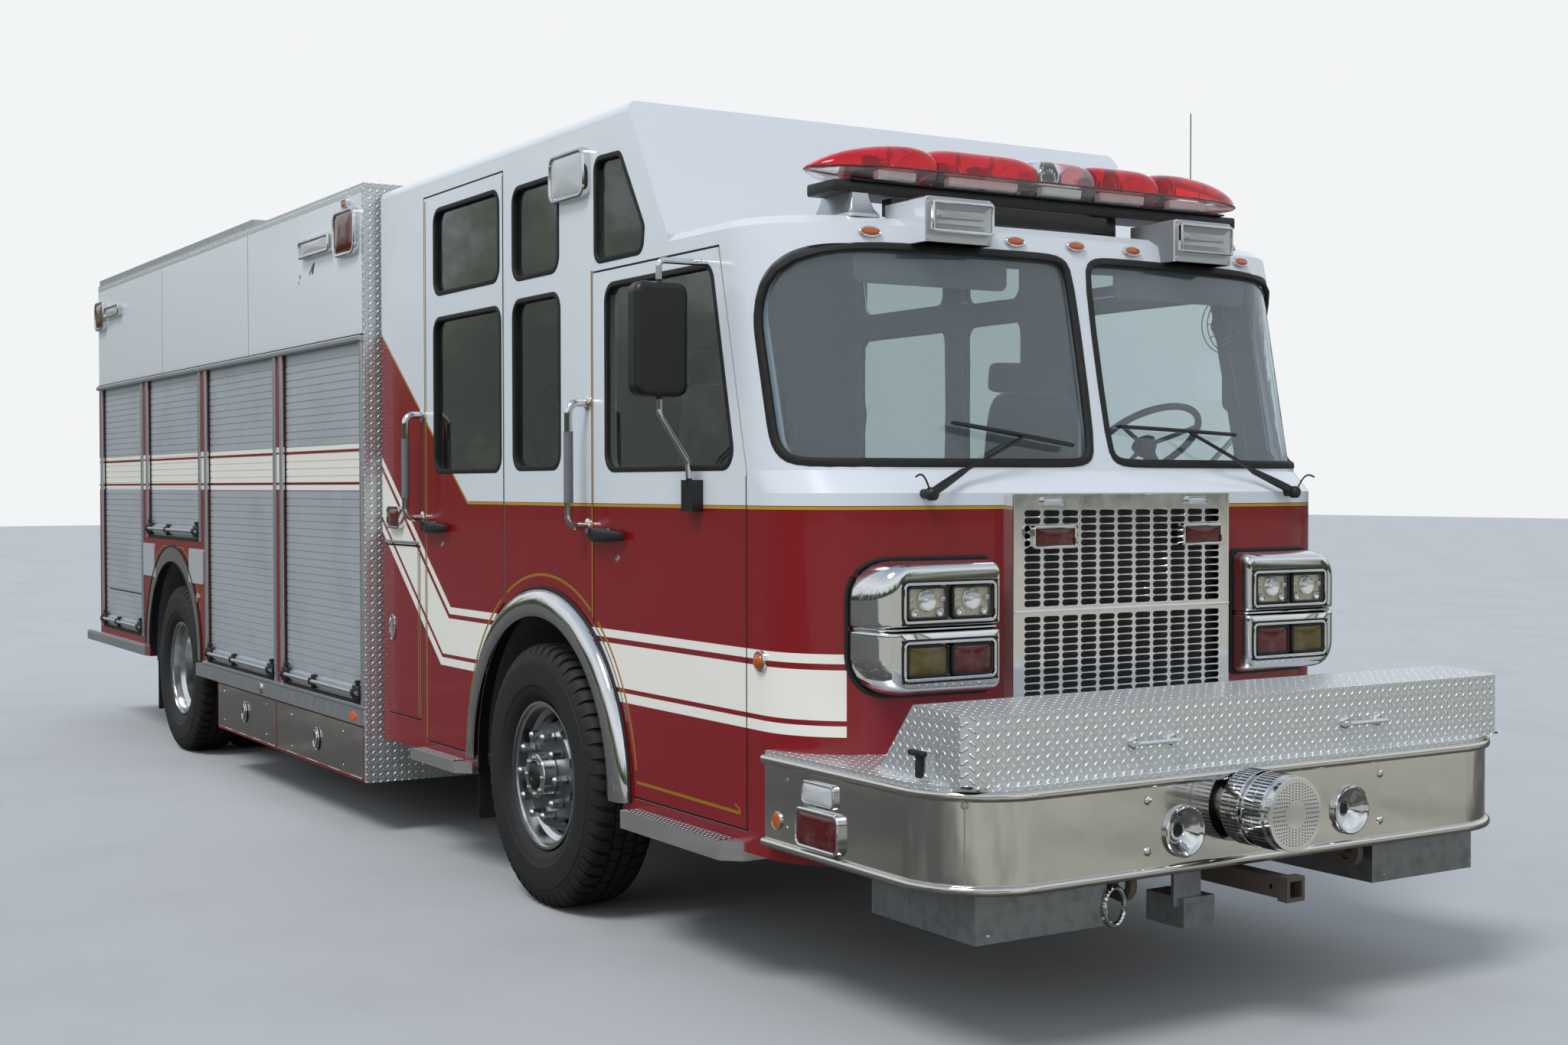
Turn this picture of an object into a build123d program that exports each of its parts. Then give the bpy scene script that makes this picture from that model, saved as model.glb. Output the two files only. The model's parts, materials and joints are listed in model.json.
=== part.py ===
"""Heavy rescue truck: a cab-over chassis with a raised-roof crew cab and a walk-around rescue body.

Millimetres. +X points forwards, +Y to the driver's left, +Z up. The origin is on the ground, under the middle of
the vehicle. Places along the truck are measured from the front axle, and at(...) turns them into the part's frame.
"""
from build123d import *
from math import cos, hypot, radians, sin, sqrt
import os

os.makedirs("parts", exist_ok=True)

# Driving dimensions of the whole vehicle
wheelbase = 5526
siren_reach = 3052  # front axle to the face of the siren, the foremost point
tail_reach = 2527  # rear axle to the edge of the tailboard, the rearmost point
cab_half = 1196  # half the width over the cab's sides
body_half = 1270  # half the width over the rescue body
tyre_radius = 536
axle_z = tyre_radius

# Common thicknesses and clearances
wall = 50  # cab and body walls, doors included
door_gap = 8  # shut line round a door
seat_gap = 0.3  # between pieces that bear on each other
move_gap = 6  # between a closed door and what stands behind it
hinge_r = 3.7  # barrel of a piano hinge, inside the shut line
leaf = 3.4  # leaf of a piano hinge
sheet = 12  # floor plates and boxes

front = (wheelbase + tail_reach - siren_reach) / 2
rear = front - wheelbase
half_gap = door_gap / 2
right, left = -1, 1
sides = ((right, "r"), (left, "l"))


def at(ahead):
    """A place measured forwards from the front axle."""
    return front + ahead


def side_view(y=0.0):
    """A plane seen from the truck's right: local x forwards, local y up; extruding goes towards -Y."""
    return Plane(origin=(0, y, 0), x_dir=(1, 0, 0), z_dir=(0, -1, 0))


def front_view(x=0.0):
    """A plane seen from the front: local x to the left, local y up; extruding goes forwards."""
    return Plane(origin=(x, 0, 0), x_dir=(0, 1, 0), z_dir=(1, 0, 0))


def inwards(side, outside, thickness):
    """The plane from which extruding by a thickness fills a wall inwards of its outside face."""
    return side_view(outside if side == left else -outside + thickness)


def write(builder, name):
    """Labels a finished piece and writes its file."""
    builder.part.label = name
    export_step(builder.part, f"parts/{name}.step")


def block(x0, x1, y0, y1, z0, z1, mode=Mode.ADD):
    """A box between two corners, given in any order."""
    with Locations(((x0 + x1) / 2, (y0 + y1) / 2, (z0 + z1) / 2)):
        Box(abs(x1 - x0), abs(y1 - y0), abs(z1 - z0), mode=mode)


def rod(start, end, radius):
    """A round bar between two points."""
    run = Vector(*end) - Vector(*start)
    with BuildSketch(Plane(origin=start, z_dir=run)) as section:
        Circle(radius)
    extrude(section.sketch, amount=run.length)


def bent_rod(points, radius, bend):
    """A round bar along straight runs joined by bends."""
    with BuildLine() as path:
        FilletPolyline(*points, radius=bend)
    with BuildSketch(Plane(origin=path.line @ 0, z_dir=path.line % 0)) as section:
        Circle(radius)
    sweep(section.sketch, path=path.line)


def across(x, y, z, direction, mode, radius, length):
    """A cylinder along X or Y, centred on a point."""
    turn = (0, 90, 0) if direction == "x" else (90, 0, 0)
    with Locations(Location((x, y, z), turn)):
        Cylinder(radius, length, mode=mode)


def upright_hinge(side, x, z0, z1, own, reach, outside=cab_half, count=8):
    """Every second barrel of an upright piano hinge, with a leaf that reaches into the piece that owns it."""
    pitch = (z1 - z0) / count
    y = side * outside
    for n in range(own, count, 2):
        low = z0 + n * pitch
        high = low + pitch - seat_gap
        with Locations((x, y, (low + high) / 2)):
            Cylinder(hinge_r, high - low)
        block(x, x + reach, y, y - side * leaf, low, high)


def lying_hinge(y, z, x0, x1, own, y_reach, z_reach, radius=hinge_r, count=8):
    """The same for a hinge that lies along the truck."""
    pitch = (x1 - x0) / count
    for n in range(own, count, 2):
        low = x0 + n * pitch
        high = low + pitch - seat_gap
        across((low + high) / 2, y, z, "x", Mode.ADD, radius, high - low)
        block(low, high, y, y + y_reach, z, z + z_reach)


# Cab, from the front axle
cab_back = -1875
cab_bottom = 480
roof_top = 3155
roof_bend = 739  # front edge of the raised roof
low_roof_back = 1062
low_roof_top = 2620
low_roof_under = 2590
belt_z = 1758  # where the windscreen pillar starts to lean back

# Cab doors: rear edge, front edge, bottom, top, and the front edge at the top where it leans
front_door = {"x0": 456, "x1": 1617, "z0": 553, "z1": 2538, "x_top": 1431}
crew_door = {"x0": -1309, "x1": -399, "z0": 533, "z1": 3047}
hatch = {"x0": -1818, "x1": -1378, "z0": 618, "z1": 1434}
door_arch = 790  # radius at which the doors clear the front arch
arch_cut = 700  # opening in the cab side, behind the bright trim
arch_inner = 654
arch_outer = 758

# Windows: rear, front, bottom, top
crew_panes = [(-1187, -429, 1780, 2478), (-1184, -444, 2590, 2975)]
fixed_panes = [(-298, 158, 1786, 2487), (-299, 148, 2576, 2957)]
front_pane = [(565, 1775), (1538, 1775), (1380, 2480), (565, 2480)]
quarter_pane = [(477, 2575), (868, 2575), (882, 2669), (691, 2967), (477, 2972)]
pane_corner = 65
glass = 6
glass_set = 16  # outside face of the wall to the pane

# Nose. Columns: height, front of the section, how far it is drawn in
nose_sections = [
    (cab_bottom, 2120, 0),
    (1690, 2120, 0),
    (1765, 2045, 0),
    (2530, 1895, 0),
    (low_roof_under, 1880, 0),
    (low_roof_top, 1860, 30),
]
nose_corner = 350
nose_bow = 7975  # radius of the bowed front


def nose_outline(x_front, drawn_in, back):
    """Outline of the nose in plan: straight sides, round corners and a bowed front that meet smoothly."""
    half = cab_half - drawn_in
    corner = nose_corner - drawn_in
    bow = nose_bow - drawn_in
    tip = at(x_front) - drawn_in
    bow_x = tip - bow
    corner_x = bow_x + sqrt((bow - corner) ** 2 - (half - corner) ** 2)
    lean = (half - corner) / (bow - corner)
    touch = (bow_x + bow * sqrt(1 - lean**2), bow * lean)
    middle = (corner_x + corner * sin(radians(45)), half - corner + corner * cos(radians(45)))
    with BuildLine() as outline:
        Line((back, -half), (corner_x, -half))
        ThreePointArc((corner_x, -half), (middle[0], -middle[1]), (touch[0], -touch[1]))
        ThreePointArc((touch[0], -touch[1]), (tip, 0), touch)
        ThreePointArc(touch, middle, (corner_x, half))
        Polyline((corner_x, half), (back, half), (back, -half))
    make_face(outline.edges())


def nose_form(inset, sections, back, mode=Mode.ADD):
    """The nose's form, drawn in by an inset all round, between the given sections."""
    for pair in zip(sections, sections[1:]):
        with BuildPart(mode=Mode.PRIVATE) as layer:
            for z, x_front, drawn_in in pair:
                with BuildSketch(Plane.XY.offset(z)):
                    nose_outline(x_front, drawn_in + inset, back)
            loft(ruled=True)
        add(layer.part, mode=mode)


def nose_front(z):
    """Front of the nose on the middle line, at a height."""
    for (low, x_low, _), (high, x_high, _) in zip(nose_sections, nose_sections[1:]):
        if z <= high:
            return at(x_low + (x_high - x_low) * (z - low) / (high - low))
    return at(nose_sections[-1][1])


def on_nose(y, z, out=0.0):
    """A point in front of the bowed part of the nose."""
    bow_x = nose_front(z) - nose_bow
    return (bow_x + sqrt((nose_bow + out) ** 2 - y**2), y, z)


# Tyres and rims. Columns: distance out from the wheel's middle plane, radius
tyre_half = 150
tyre_profile = [(101.5, 287.3), (105.5, 302), (138, 332), (tyre_half, 400), (146, 470), (128, 522), (96, tyre_radius)]
flange_out = 120
flange_radius = 301
rim_profile = [(flange_out, flange_radius), (108, flange_radius), (104, 287), (62, 283), (40, 252)]
rim_wall = 11
disc_radius = 212
stud_circle = 167.5
stud_count = 10
stud_length = 52
hub_radius = 92
spindle_radius = 45
hub_bore = spindle_radius + seat_gap
drum_radius = 205
front_wheel_half = 1207 - flange_out  # middle plane of the front wheels
twin_outer = 1230 - flange_out
twin_spacing = 335
twin_inner = twin_outer - twin_spacing
twin_middle = twin_outer - twin_spacing / 2
disc_front = 92  # where the front rim's disc stands, out from the middle plane
disc_root = 30
hand_hole = (58, 34)
hand_hole_circle = 226


def wheel_section(x, y, side):
    """Section plane of a wheel: local x outwards, local y up."""
    return Plane(origin=(x, y, axle_z), x_dir=(0, side, 0), z_dir=(side, 0, 0))


def out_from(x, y, side, out):
    """A plane across an axle, a distance out from a wheel's middle plane; extruding goes outwards."""
    return Plane(origin=(x, y + side * out, axle_z), x_dir=(-side, 0, 0), z_dir=(0, side, 0))


def turned(x, y, side, points):
    """A closed section turned about the axle."""
    with BuildSketch(wheel_section(x, y, side)) as section:
        Polygon(*points, align=None)
    revolve(section.sketch, axis=Axis((x, y, axle_z), (0, 1, 0)))


def disc(x, y, side, out, depth, radius, mode=Mode.ADD):
    """A round plate or boss on the axle."""
    with BuildSketch(out_from(x, y, side, out)) as section:
        Circle(radius)
    extrude(section.sketch, amount=depth, mode=mode)


def tyre(x, y, side):
    """A tyre on its rim."""
    turned(x, y, side, tyre_profile + [(-u, r) for u, r in reversed(tyre_profile)])


def rim(x, y, side, disc_out):
    """A rim: a turned barrel with a dished disc that stands out or in."""
    barrel = rim_profile + [(-u, r) for u, r in reversed(rim_profile)]
    inner = [(u, r - rim_wall) for u, r in reversed(barrel)]
    turned(x, y, side, barrel + inner)
    turn = 1 if disc_out > 0 else -1
    dish = [(disc_root, 243), (abs(disc_out), disc_radius), (abs(disc_out), hub_bore),
            (abs(disc_out) - rim_wall, hub_bore), (abs(disc_out) - rim_wall, disc_radius - 8),
            (disc_root - 14, 243)]
    turned(x, y, side, [(turn * u, r) for u, r in dish])


def hand_holes(x, y, side, out, depth):
    """Ten oblong openings in the shoulder of a disc."""
    with BuildSketch(out_from(x, y, side, out)) as section:
        with PolarLocations(hand_hole_circle, stud_count, start_angle=18):
            SlotOverall(*hand_hole, rotation=90)
    extrude(section.sketch, amount=depth, mode=Mode.SUBTRACT)


def studs(x, y, side, out, length):
    """Ten long nuts on the stud circle."""
    with BuildSketch(out_from(x, y, side, out)) as section:
        with PolarLocations(stud_circle, stud_count):
            RegularPolygon(19, 6)
    extrude(section.sketch, amount=length)


# Steering: kingpin and the axle's boss
kingpin_half = 925
kingpin_r = 25
boss_r = 52
boss_half = 62
ear = 30
web_in = 62
web_out = 90
arm_reach = 220

for side, tag in sides:
    centre = side * front_wheel_half

    with BuildPart() as tyre_front:
        tyre(front, centre, side)
    write(tyre_front, f"tyre_front_{tag}")

    with BuildPart() as rim_front:
        rim(front, centre, side, disc_front)
        hand_holes(front, centre, side, disc_root, 90)
        disc(front, centre, side, -70, 220, hub_radius)
        disc(front, centre, side, -96, 150, drum_radius)
        disc(front, centre, side, -96, 130, drum_radius - 26, mode=Mode.SUBTRACT)
        disc(front, centre, side, -70, 110, hub_radius)
        studs(front, centre, side, disc_front - rim_wall, stud_length + rim_wall)
        disc(front, centre, side, -70, 160, hub_bore, mode=Mode.SUBTRACT)
    write(rim_front, f"rim_front_{tag}")

    with BuildPart() as tyres_rear:
        tyre(rear, side * twin_outer, side)
        tyre(rear, side * twin_inner, side)
    write(tyres_rear, f"tyres_rear_{tag}")

    middle = side * twin_middle
    disc_twin = twin_spacing / 2 - 2
    with BuildPart() as rims_rear:
        rim(rear, side * twin_outer, side, -disc_twin)
        rim(rear, side * twin_inner, side, disc_twin)
        disc(rear, middle, side, -rim_wall, 2 * rim_wall, stud_circle + 36)
        disc(rear, middle, side, -120, 290, hub_radius + 16)
        studs(rear, middle, side, rim_wall, stud_length)
        disc(rear, middle, side, -120, 200, hub_bore, mode=Mode.SUBTRACT)
    write(rims_rear, f"rims_rear_{tag}")

    # Steering knuckle: two ears on the kingpin, a web outside the axle's boss, the spindle and the steering arm
    pin_y = side * kingpin_half
    with BuildPart() as knuckle:
        for low in (boss_half + seat_gap, -boss_half - seat_gap - ear):
            with Locations((front, pin_y, axle_z + low + ear / 2)):
                Cylinder(boss_r, ear)
            block(front - 40, front + 40, pin_y, pin_y + side * web_out, axle_z + low, axle_z + low + ear)
        with Locations((front, pin_y, axle_z)):
            Cylinder(kingpin_r, 2 * (boss_half + ear))
        block(front - 60, front + 60, pin_y + side * web_in, pin_y + side * web_out,
              axle_z - boss_half - ear, axle_z + boss_half + ear)
        spindle_start = kingpin_half + web_out - 5
        disc(front, side * spindle_start, side, 0, front_wheel_half + 86 - spindle_start, spindle_radius)
        block(front - arm_reach, front, pin_y + side * 10, pin_y + side * 38,
              axle_z - boss_half - ear, axle_z - boss_half - seat_gap)
    write(knuckle, f"knuckle_{tag}")


# Frame: rails, front extension, cross-beams, spring hangers, receiver and tow eyes
rail_half = 430
rail_depth = 260
rail_top = 960
rail_bottom = rail_top - rail_depth
rail_flange = 90
rail_wall = 12
rail_front = 2040
spring_half = 500
spring_width = 90
spring_length = 1400
leaf_stack = 70
hanger_under = 730
cross_beams = [(1650, 100), (-1350, 100), (-2500, 100), (-4200, 100), (-6900, 100)]
body_gap = 44  # between cab and body
body_front = cab_back - body_gap
body_back = -(wheelbase + 2146)
tray_back = 2440  # rear of the bumper's well
extension_z = (560, 790)
receiver_mouth = 2942
receiver_z = 456
receiver_out = 64
receiver_in = 51
collar_out = 78
collar_length = 40
receiver_length = 620
receiver_depth = 400
pin_hole_r = 8.2
pin_hole_back = 76
tow_eye_half = 500
tow_eye_x = 2700
tow_eye_z = 490
tow_eye_r = 56
tow_eye_hole = 30
tow_eye_plate = 25
tow_beam = (2300, 2430, 480, 560)
deck_under = 1030  # underside of the cab floor
mount_places = [1500, -1600]
engine_x = (-1150, 1250)
engine_half = 300
radiator = {"x0": 1880, "x1": 1980, "half": 425, "top": 1600}

with BuildPart() as chassis_frame:
    for side in (right, left):
        outer = side * rail_half
        inner = side * (rail_half - rail_flange)
        block(at(body_back) + 60, at(rail_front), side * (rail_half - rail_wall), outer, rail_bottom, rail_top)
        for z in (rail_bottom, rail_top - rail_wall):
            block(at(body_back) + 60, at(rail_front), inner, outer, z, z + rail_wall)
        block(at(1900), at(tray_back) - seat_gap, inner, outer, *extension_z)
        for place in mount_places:
            block(at(place) - 60, at(place) + 60, inner, outer, rail_top, deck_under - seat_gap)
        for middle in (front, rear):
            for end in (-1, 1):
                hanger_x = middle + end * (spring_length / 2 - 40)
                block(hanger_x - 40, hanger_x + 40, outer, side * (spring_half + spring_width / 2),
                      hanger_under, hanger_under + 130)
        with BuildSketch(side_view(side * tow_eye_half + tow_eye_plate / 2)):
            with Locations((at(tow_eye_x), tow_eye_z)):
                Circle(tow_eye_r)
            Polygon((at(tow_beam[0]), tow_beam[2]), (at(tow_eye_x), tow_eye_z - tow_eye_r),
                    (at(tow_eye_x), tow_eye_z + tow_eye_r), (at(tow_beam[0]), tow_beam[3]), align=None)
            with Locations((at(tow_eye_x), tow_eye_z)):
                Circle(tow_eye_hole, mode=Mode.SUBTRACT)
        extrude(amount=tow_eye_plate)
    for ahead, depth in cross_beams:
        block(at(ahead) - depth / 2, at(ahead) + depth / 2, -(rail_half - rail_wall), rail_half - rail_wall,
              rail_bottom + 80, rail_top - 40)
    block(at(tow_beam[0]), at(tow_beam[1]), -(tow_eye_half + 12), tow_eye_half + 12, tow_beam[2], tow_beam[3])
    block(at(receiver_mouth - receiver_length), at(receiver_mouth), -receiver_out / 2, receiver_out / 2,
          receiver_z - receiver_out / 2, receiver_z + receiver_out / 2)
    block(at(receiver_mouth - collar_length), at(receiver_mouth), -collar_out / 2, collar_out / 2,
          receiver_z - collar_out / 2, receiver_z + collar_out / 2)
    block(at(receiver_mouth - receiver_depth), at(receiver_mouth) + 1, -receiver_in / 2, receiver_in / 2,
          receiver_z - receiver_in / 2, receiver_z + receiver_in / 2, mode=Mode.SUBTRACT)
    across(at(receiver_mouth - pin_hole_back), 0, receiver_z, "y", Mode.SUBTRACT, pin_hole_r, 200)
write(chassis_frame, "chassis_frame")

leaf_seat = axle_z + 60


def leaf_springs(middle):
    """A pair of leaf packs, clamped on an axle and hung under the frame's hangers."""
    top = hanger_under - seat_gap
    half = spring_length / 2
    for side in (right, left):
        with BuildSketch(side_view(side * spring_half + spring_width / 2)) as pack:
            Polygon((middle - half, top), (middle - half, top - 24), (middle - 160, leaf_seat),
                    (middle + 160, leaf_seat), (middle + half, top - 24), (middle + half, top),
                    (middle + half - 120, top), (middle + 160, leaf_seat + leaf_stack),
                    (middle - 160, leaf_seat + leaf_stack), (middle - half + 120, top), align=None)
        extrude(pack.sketch, amount=spring_width)


with BuildPart() as front_axle:
    leaf_springs(front)
    block(front - 50, front + 50, -(kingpin_half - 20), kingpin_half - 20, axle_z - 30, axle_z + 30)
    for side in (right, left):
        block(front - 60, front + 60, side * 440, side * 560, axle_z + 20, leaf_seat + 1)
        with Locations((front, side * kingpin_half, axle_z)):
            Cylinder(boss_r, 2 * boss_half)
            Cylinder(kingpin_r + seat_gap, 2 * boss_half, mode=Mode.SUBTRACT)
write(front_axle, "front_axle")

pinion_x = rear + 520
with BuildPart() as rear_axle:
    leaf_springs(rear)
    across(rear, 0, axle_z, "y", Mode.ADD, 70, 2 * (twin_middle - 124))
    across(rear, 0, axle_z, "y", Mode.ADD, spindle_radius, 2 * (twin_middle + 70))
    with Locations((rear, 0, axle_z)):
        Sphere(185)
    rod((rear, 0, axle_z + 40), (pinion_x, 0, axle_z + 40), 70)
    rod((pinion_x - 20, 0, axle_z + 40), (at(engine_x[0]) - 6, 0, 690), 45)
    for side in (right, left):
        block(rear - 60, rear + 60, side * 440, side * 560, axle_z + 20, leaf_seat + 1)
write(rear_axle, "rear_axle")

gearbox_front = engine_x[0] + 900
with BuildPart() as engine:
    block(at(gearbox_front), at(engine_x[1]), -engine_half, engine_half, 680, 1400)
    block(at(engine_x[0]), at(gearbox_front), -220, 220, 620, 1000)
    block(at(300), at(500), -(rail_half - rail_flange) + seat_gap, rail_half - rail_flange - seat_gap,
          rail_bottom, rail_bottom + 60)
    block(at(radiator["x0"]), at(radiator["x1"]), -radiator["half"], radiator["half"], rail_top + seat_gap,
          radiator["top"])
write(engine, "engine")

tank_top = rail_bottom - seat_gap
tank_depth = 280
air_tank_r = 120
air_tank_half = 385
with BuildPart() as underbody_tanks:
    with BuildSketch(front_view(rear - 1750)):
        with Locations((0, tank_top - tank_depth / 2)):
            RectangleRounded(780, tank_depth, 40)
    extrude(amount=700)
    for side in (right, left):
        across(at(-3300), side * air_tank_half, tank_top - air_tank_r, "x", Mode.ADD, air_tank_r, 900)
write(underbody_tanks, "underbody_tanks")

# Room for the frame and shaft under the cab and body walls
frame_notch = spring_half + spring_width / 2 + 15
notch_over = 15
axle_notch = (110, 160)

# Cab floor: deck, step wells and front wheel housings
deck_top = deck_under + 40
inner_half = cab_half - wall - seat_gap
well_edge = cab_half - wall - move_gap
well_in = 860
housing_half = 600
tunnel_half = 345
cover_half = 470  # engine cover
cover_wall = 20
cab_inside_back = at(cab_back + wall) + seat_gap
floor_front = 1600
with BuildPart() as cab_floor:
    block(cab_inside_back, at(floor_front), -well_in, well_in, deck_under, deck_top)
    for side in (right, left):
        block(cab_inside_back, at(crew_door["x0"]) - 30, side * well_in, side * inner_half, deck_under, deck_top)
        block(at(-arch_cut), at(arch_cut), side * well_in, side * well_edge, deck_under, deck_top)
        for x0, x1 in ((crew_door["x0"] + 20, -door_arch + 30), (door_arch - 30, floor_front)):
            steps = [(well_in, deck_top), (well_in, 820), (1000, 820), (1000, 580), (well_edge, 580),
                     (well_edge, 568), (1000 - sheet, 568), (1000 - sheet, 808), (well_in - sheet, 808),
                     (well_in - sheet, deck_top)]
            with BuildSketch(front_view(at(x0))):
                Polygon(*[(side * y, z) for y, z in steps], align=None)
            extrude(amount=x1 - x0)
        with BuildSketch(inwards(side, inner_half, inner_half - housing_half)):
            with Locations((front, axle_z)):
                Circle(arch_cut + sheet)
            with Locations((front, axle_z - arch_cut)):
                Rectangle(2.2 * arch_cut, 2 * arch_cut, mode=Mode.SUBTRACT)
        extrude(amount=inner_half - housing_half)
        with BuildSketch(inwards(side, inner_half + 1, inner_half + 1 - housing_half - sheet)):
            with Locations((front, axle_z)):
                Circle(arch_cut)
        extrude(amount=inner_half + 1 - housing_half - sheet, mode=Mode.SUBTRACT)
        block(front - axle_notch[0], front + axle_notch[0], side * (housing_half - 5), side * (housing_half + 20),
              axle_z - 50, axle_z + axle_notch[1], mode=Mode.SUBTRACT)
    with BuildPart(mode=Mode.PRIVATE) as front_plate:
        nose_form(wall + seat_gap, [(deck_under, 2120, 0), (deck_top, 2120, 0)], at(floor_front))
    add(front_plate.part)
    block(at(engine_x[0]) - 30, at(engine_x[1]) + 40, -tunnel_half, tunnel_half, deck_under - 1, deck_top + 1,
          mode=Mode.SUBTRACT)
    block(at(engine_x[1]), at(2000), -(cover_half - cover_wall - 5), cover_half - cover_wall - 5, deck_under - 1,
          deck_top + 1, mode=Mode.SUBTRACT)
write(cab_floor, "cab_floor")


def door_shape(door, grow):
    """Side view of a cab door: grown by half the gap for its opening, shrunk by half of it for the door."""
    x0, x1 = at(door["x0"]) - grow, at(door["x1"]) + grow
    z0, z1 = door["z0"] - grow, door["z1"] + grow
    if "x_top" in door:
        Polygon((x0, z0), (x1, z0), (x1, belt_z), (at(door["x_top"]) + grow, z1), (x0, z1), align=None)
    else:
        Polygon((x0, z0), (x1, z0), (x1, z1), (x0, z1), align=None)
    with Locations((front, axle_z)):
        Circle(door_arch - grow, mode=Mode.SUBTRACT)


def pane_shape(pane, shrink=0.0, mode=Mode.ADD):
    """Side view of an upright window with rounded corners."""
    x0, x1, z0, z1 = pane
    with Locations(((at(x0) + at(x1)) / 2, (z0 + z1) / 2)):
        RectangleRounded(x1 - x0 - 2 * shrink, z1 - z0 - 2 * shrink, pane_corner - shrink, mode=mode)


def cut_pane_shape(points, radius, shrink=0.0, mode=Mode.ADD):
    """Side view of a window with slanted sides and rounded corners."""
    with BuildSketch(mode=Mode.PRIVATE) as shape:
        Polygon(*[(at(x), z) for x, z in points], align=None)
        fillet(shape.vertices(), radius)
        if shrink:
            offset(amount=-shrink, mode=Mode.REPLACE)
    add(shape.sketch, mode=mode)


# The raised roof's slanted front: how far it runs forwards for each millimetre down, and its wall along X
slant = (low_roof_back - roof_bend) / (roof_top - low_roof_top)
slant_wall = wall * hypot(slant, 1)
roof_under = roof_top - wall


def slant_inside(z):
    """Inside face of the slanted front at a height."""
    return at(roof_bend) + (roof_top - z) * slant - slant_wall


seam_x = front_door["x1"] + half_gap
seam_top_x = front_door["x_top"] + half_gap
seam_top_z = front_door["z1"] + half_gap
hatch_shape = ((hatch["x0"] + hatch["x1"]) / 2, (hatch["z0"] + hatch["z1"]) / 2,
               hatch["x1"] - hatch["x0"], hatch["z1"] - hatch["z0"])

with BuildPart() as cab_walls:
    for side in (right, left):
        with BuildSketch(inwards(side, cab_half, wall)):
            Polygon((at(cab_back), cab_bottom), (at(seam_x) - seat_gap, cab_bottom),
                    (at(seam_x) - seat_gap, belt_z), (at(seam_top_x) - seat_gap, seam_top_z),
                    (at(seam_top_x) - seat_gap, low_roof_under - seat_gap),
                    (slant_inside(low_roof_under) - seat_gap, low_roof_under - seat_gap),
                    (slant_inside(roof_under) - seat_gap, roof_under - seat_gap),
                    (at(cab_back), roof_under - seat_gap), align=None)
            with BuildSketch(mode=Mode.PRIVATE) as openings:
                door_shape(front_door, half_gap)
            add(openings.sketch, mode=Mode.SUBTRACT)
            with BuildSketch(mode=Mode.PRIVATE) as openings:
                door_shape(crew_door, half_gap)
            add(openings.sketch, mode=Mode.SUBTRACT)
            with Locations((at(hatch_shape[0]), hatch_shape[1])):
                Rectangle(hatch_shape[2] + door_gap, hatch_shape[3] + door_gap, mode=Mode.SUBTRACT)
            for pane in fixed_panes:
                pane_shape(pane, mode=Mode.SUBTRACT)
            cut_pane_shape(quarter_pane, 45, mode=Mode.SUBTRACT)
            with Locations((front, axle_z)):
                Circle(arch_cut, mode=Mode.SUBTRACT)
            with Locations((front, axle_z - arch_cut / 2)):
                Rectangle(2 * arch_cut, arch_cut, mode=Mode.SUBTRACT)
        extrude(amount=wall)
        upright_hinge(side, at(crew_door["x1"]), 1260, crew_door["z1"] - 20, 0, door_gap)
        upright_hinge(side, at(hatch["x1"]), hatch["z0"] + 10, hatch["z1"] - 10, 0, door_gap)
    block(at(cab_back), at(cab_back + wall), -inner_half, inner_half, cab_bottom + 150, roof_under - seat_gap)
    block(at(cab_back) - 1, at(cab_back + wall) + 1, -frame_notch, frame_notch, cab_bottom, rail_top + notch_over,
          mode=Mode.SUBTRACT)
write(cab_walls, "cab_walls")

with BuildPart() as cab_roof:
    with BuildSketch(side_view(cab_half)):
        Polygon((at(cab_back), roof_under), (slant_inside(roof_under), roof_under),
                (slant_inside(low_roof_under), low_roof_under), (at(low_roof_back) - seat_gap, low_roof_under),
                (at(low_roof_back) - seat_gap, low_roof_top), (at(roof_bend), roof_top),
                (at(cab_back), roof_top), align=None)
    extrude(amount=2 * cab_half)
    fillet(cab_roof.edges().filter_by(Axis.X).group_by(Axis.Z)[-1], wall - 5)
write(cab_roof, "cab_roof")

# Windscreen: bottom, top, and its back edge on the cab's side at each
screen_low = 1786
screen_high = 2520
screen_back_low = 1764
screen_back_high = 1590
post_half = 32
post_corner = 75
screen_corner_low = 120
screen_corner_high = 205
# Grille: half its width, bottom and top; scene-light housings on the brow
grille_half = 490
grille_low = 1027
grille_high = 1687
grille_front = 2157
brow_light = {"x0": 1720, "x1": 1950, "y0": 415, "y1": 702, "z0": 2530, "z1": 2676}


def screen_region(shrink):
    """The windscreen's two openings: all that lies ahead of the back edge, between two heights, off the post."""
    low, high = screen_low + shrink, screen_high - shrink
    with BuildSketch(side_view(cab_half + 100)) as shape:
        Polygon((at(screen_back_low) + shrink, low), (at(2400), low), (at(2400), high),
                (at(screen_back_high) + shrink, high), align=None)
        high_corner = shape.vertices().sort_by(Axis.X)[0]
        fillet(high_corner, screen_corner_high - shrink)
        low_corner = shape.vertices().sort_by(lambda v: v.X + v.Y)[0]
        fillet(low_corner, screen_corner_low - shrink)
    extrude(shape.sketch, amount=2 * (cab_half + 100))
    with BuildSketch(front_view(at(1200))) as panes:
        for side in (right, left):
            with Locations((side * (post_half + shrink + cab_half / 2), (low + high) / 2)):
                RectangleRounded(cab_half, high - low, post_corner - shrink)
            with Locations((side * cab_half, (low + high) / 2)):
                Rectangle(cab_half, high - low)
    extrude(panes.sketch, amount=1200, mode=Mode.INTERSECT)


with BuildPart() as screen_cut:
    screen_region(0)

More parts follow.
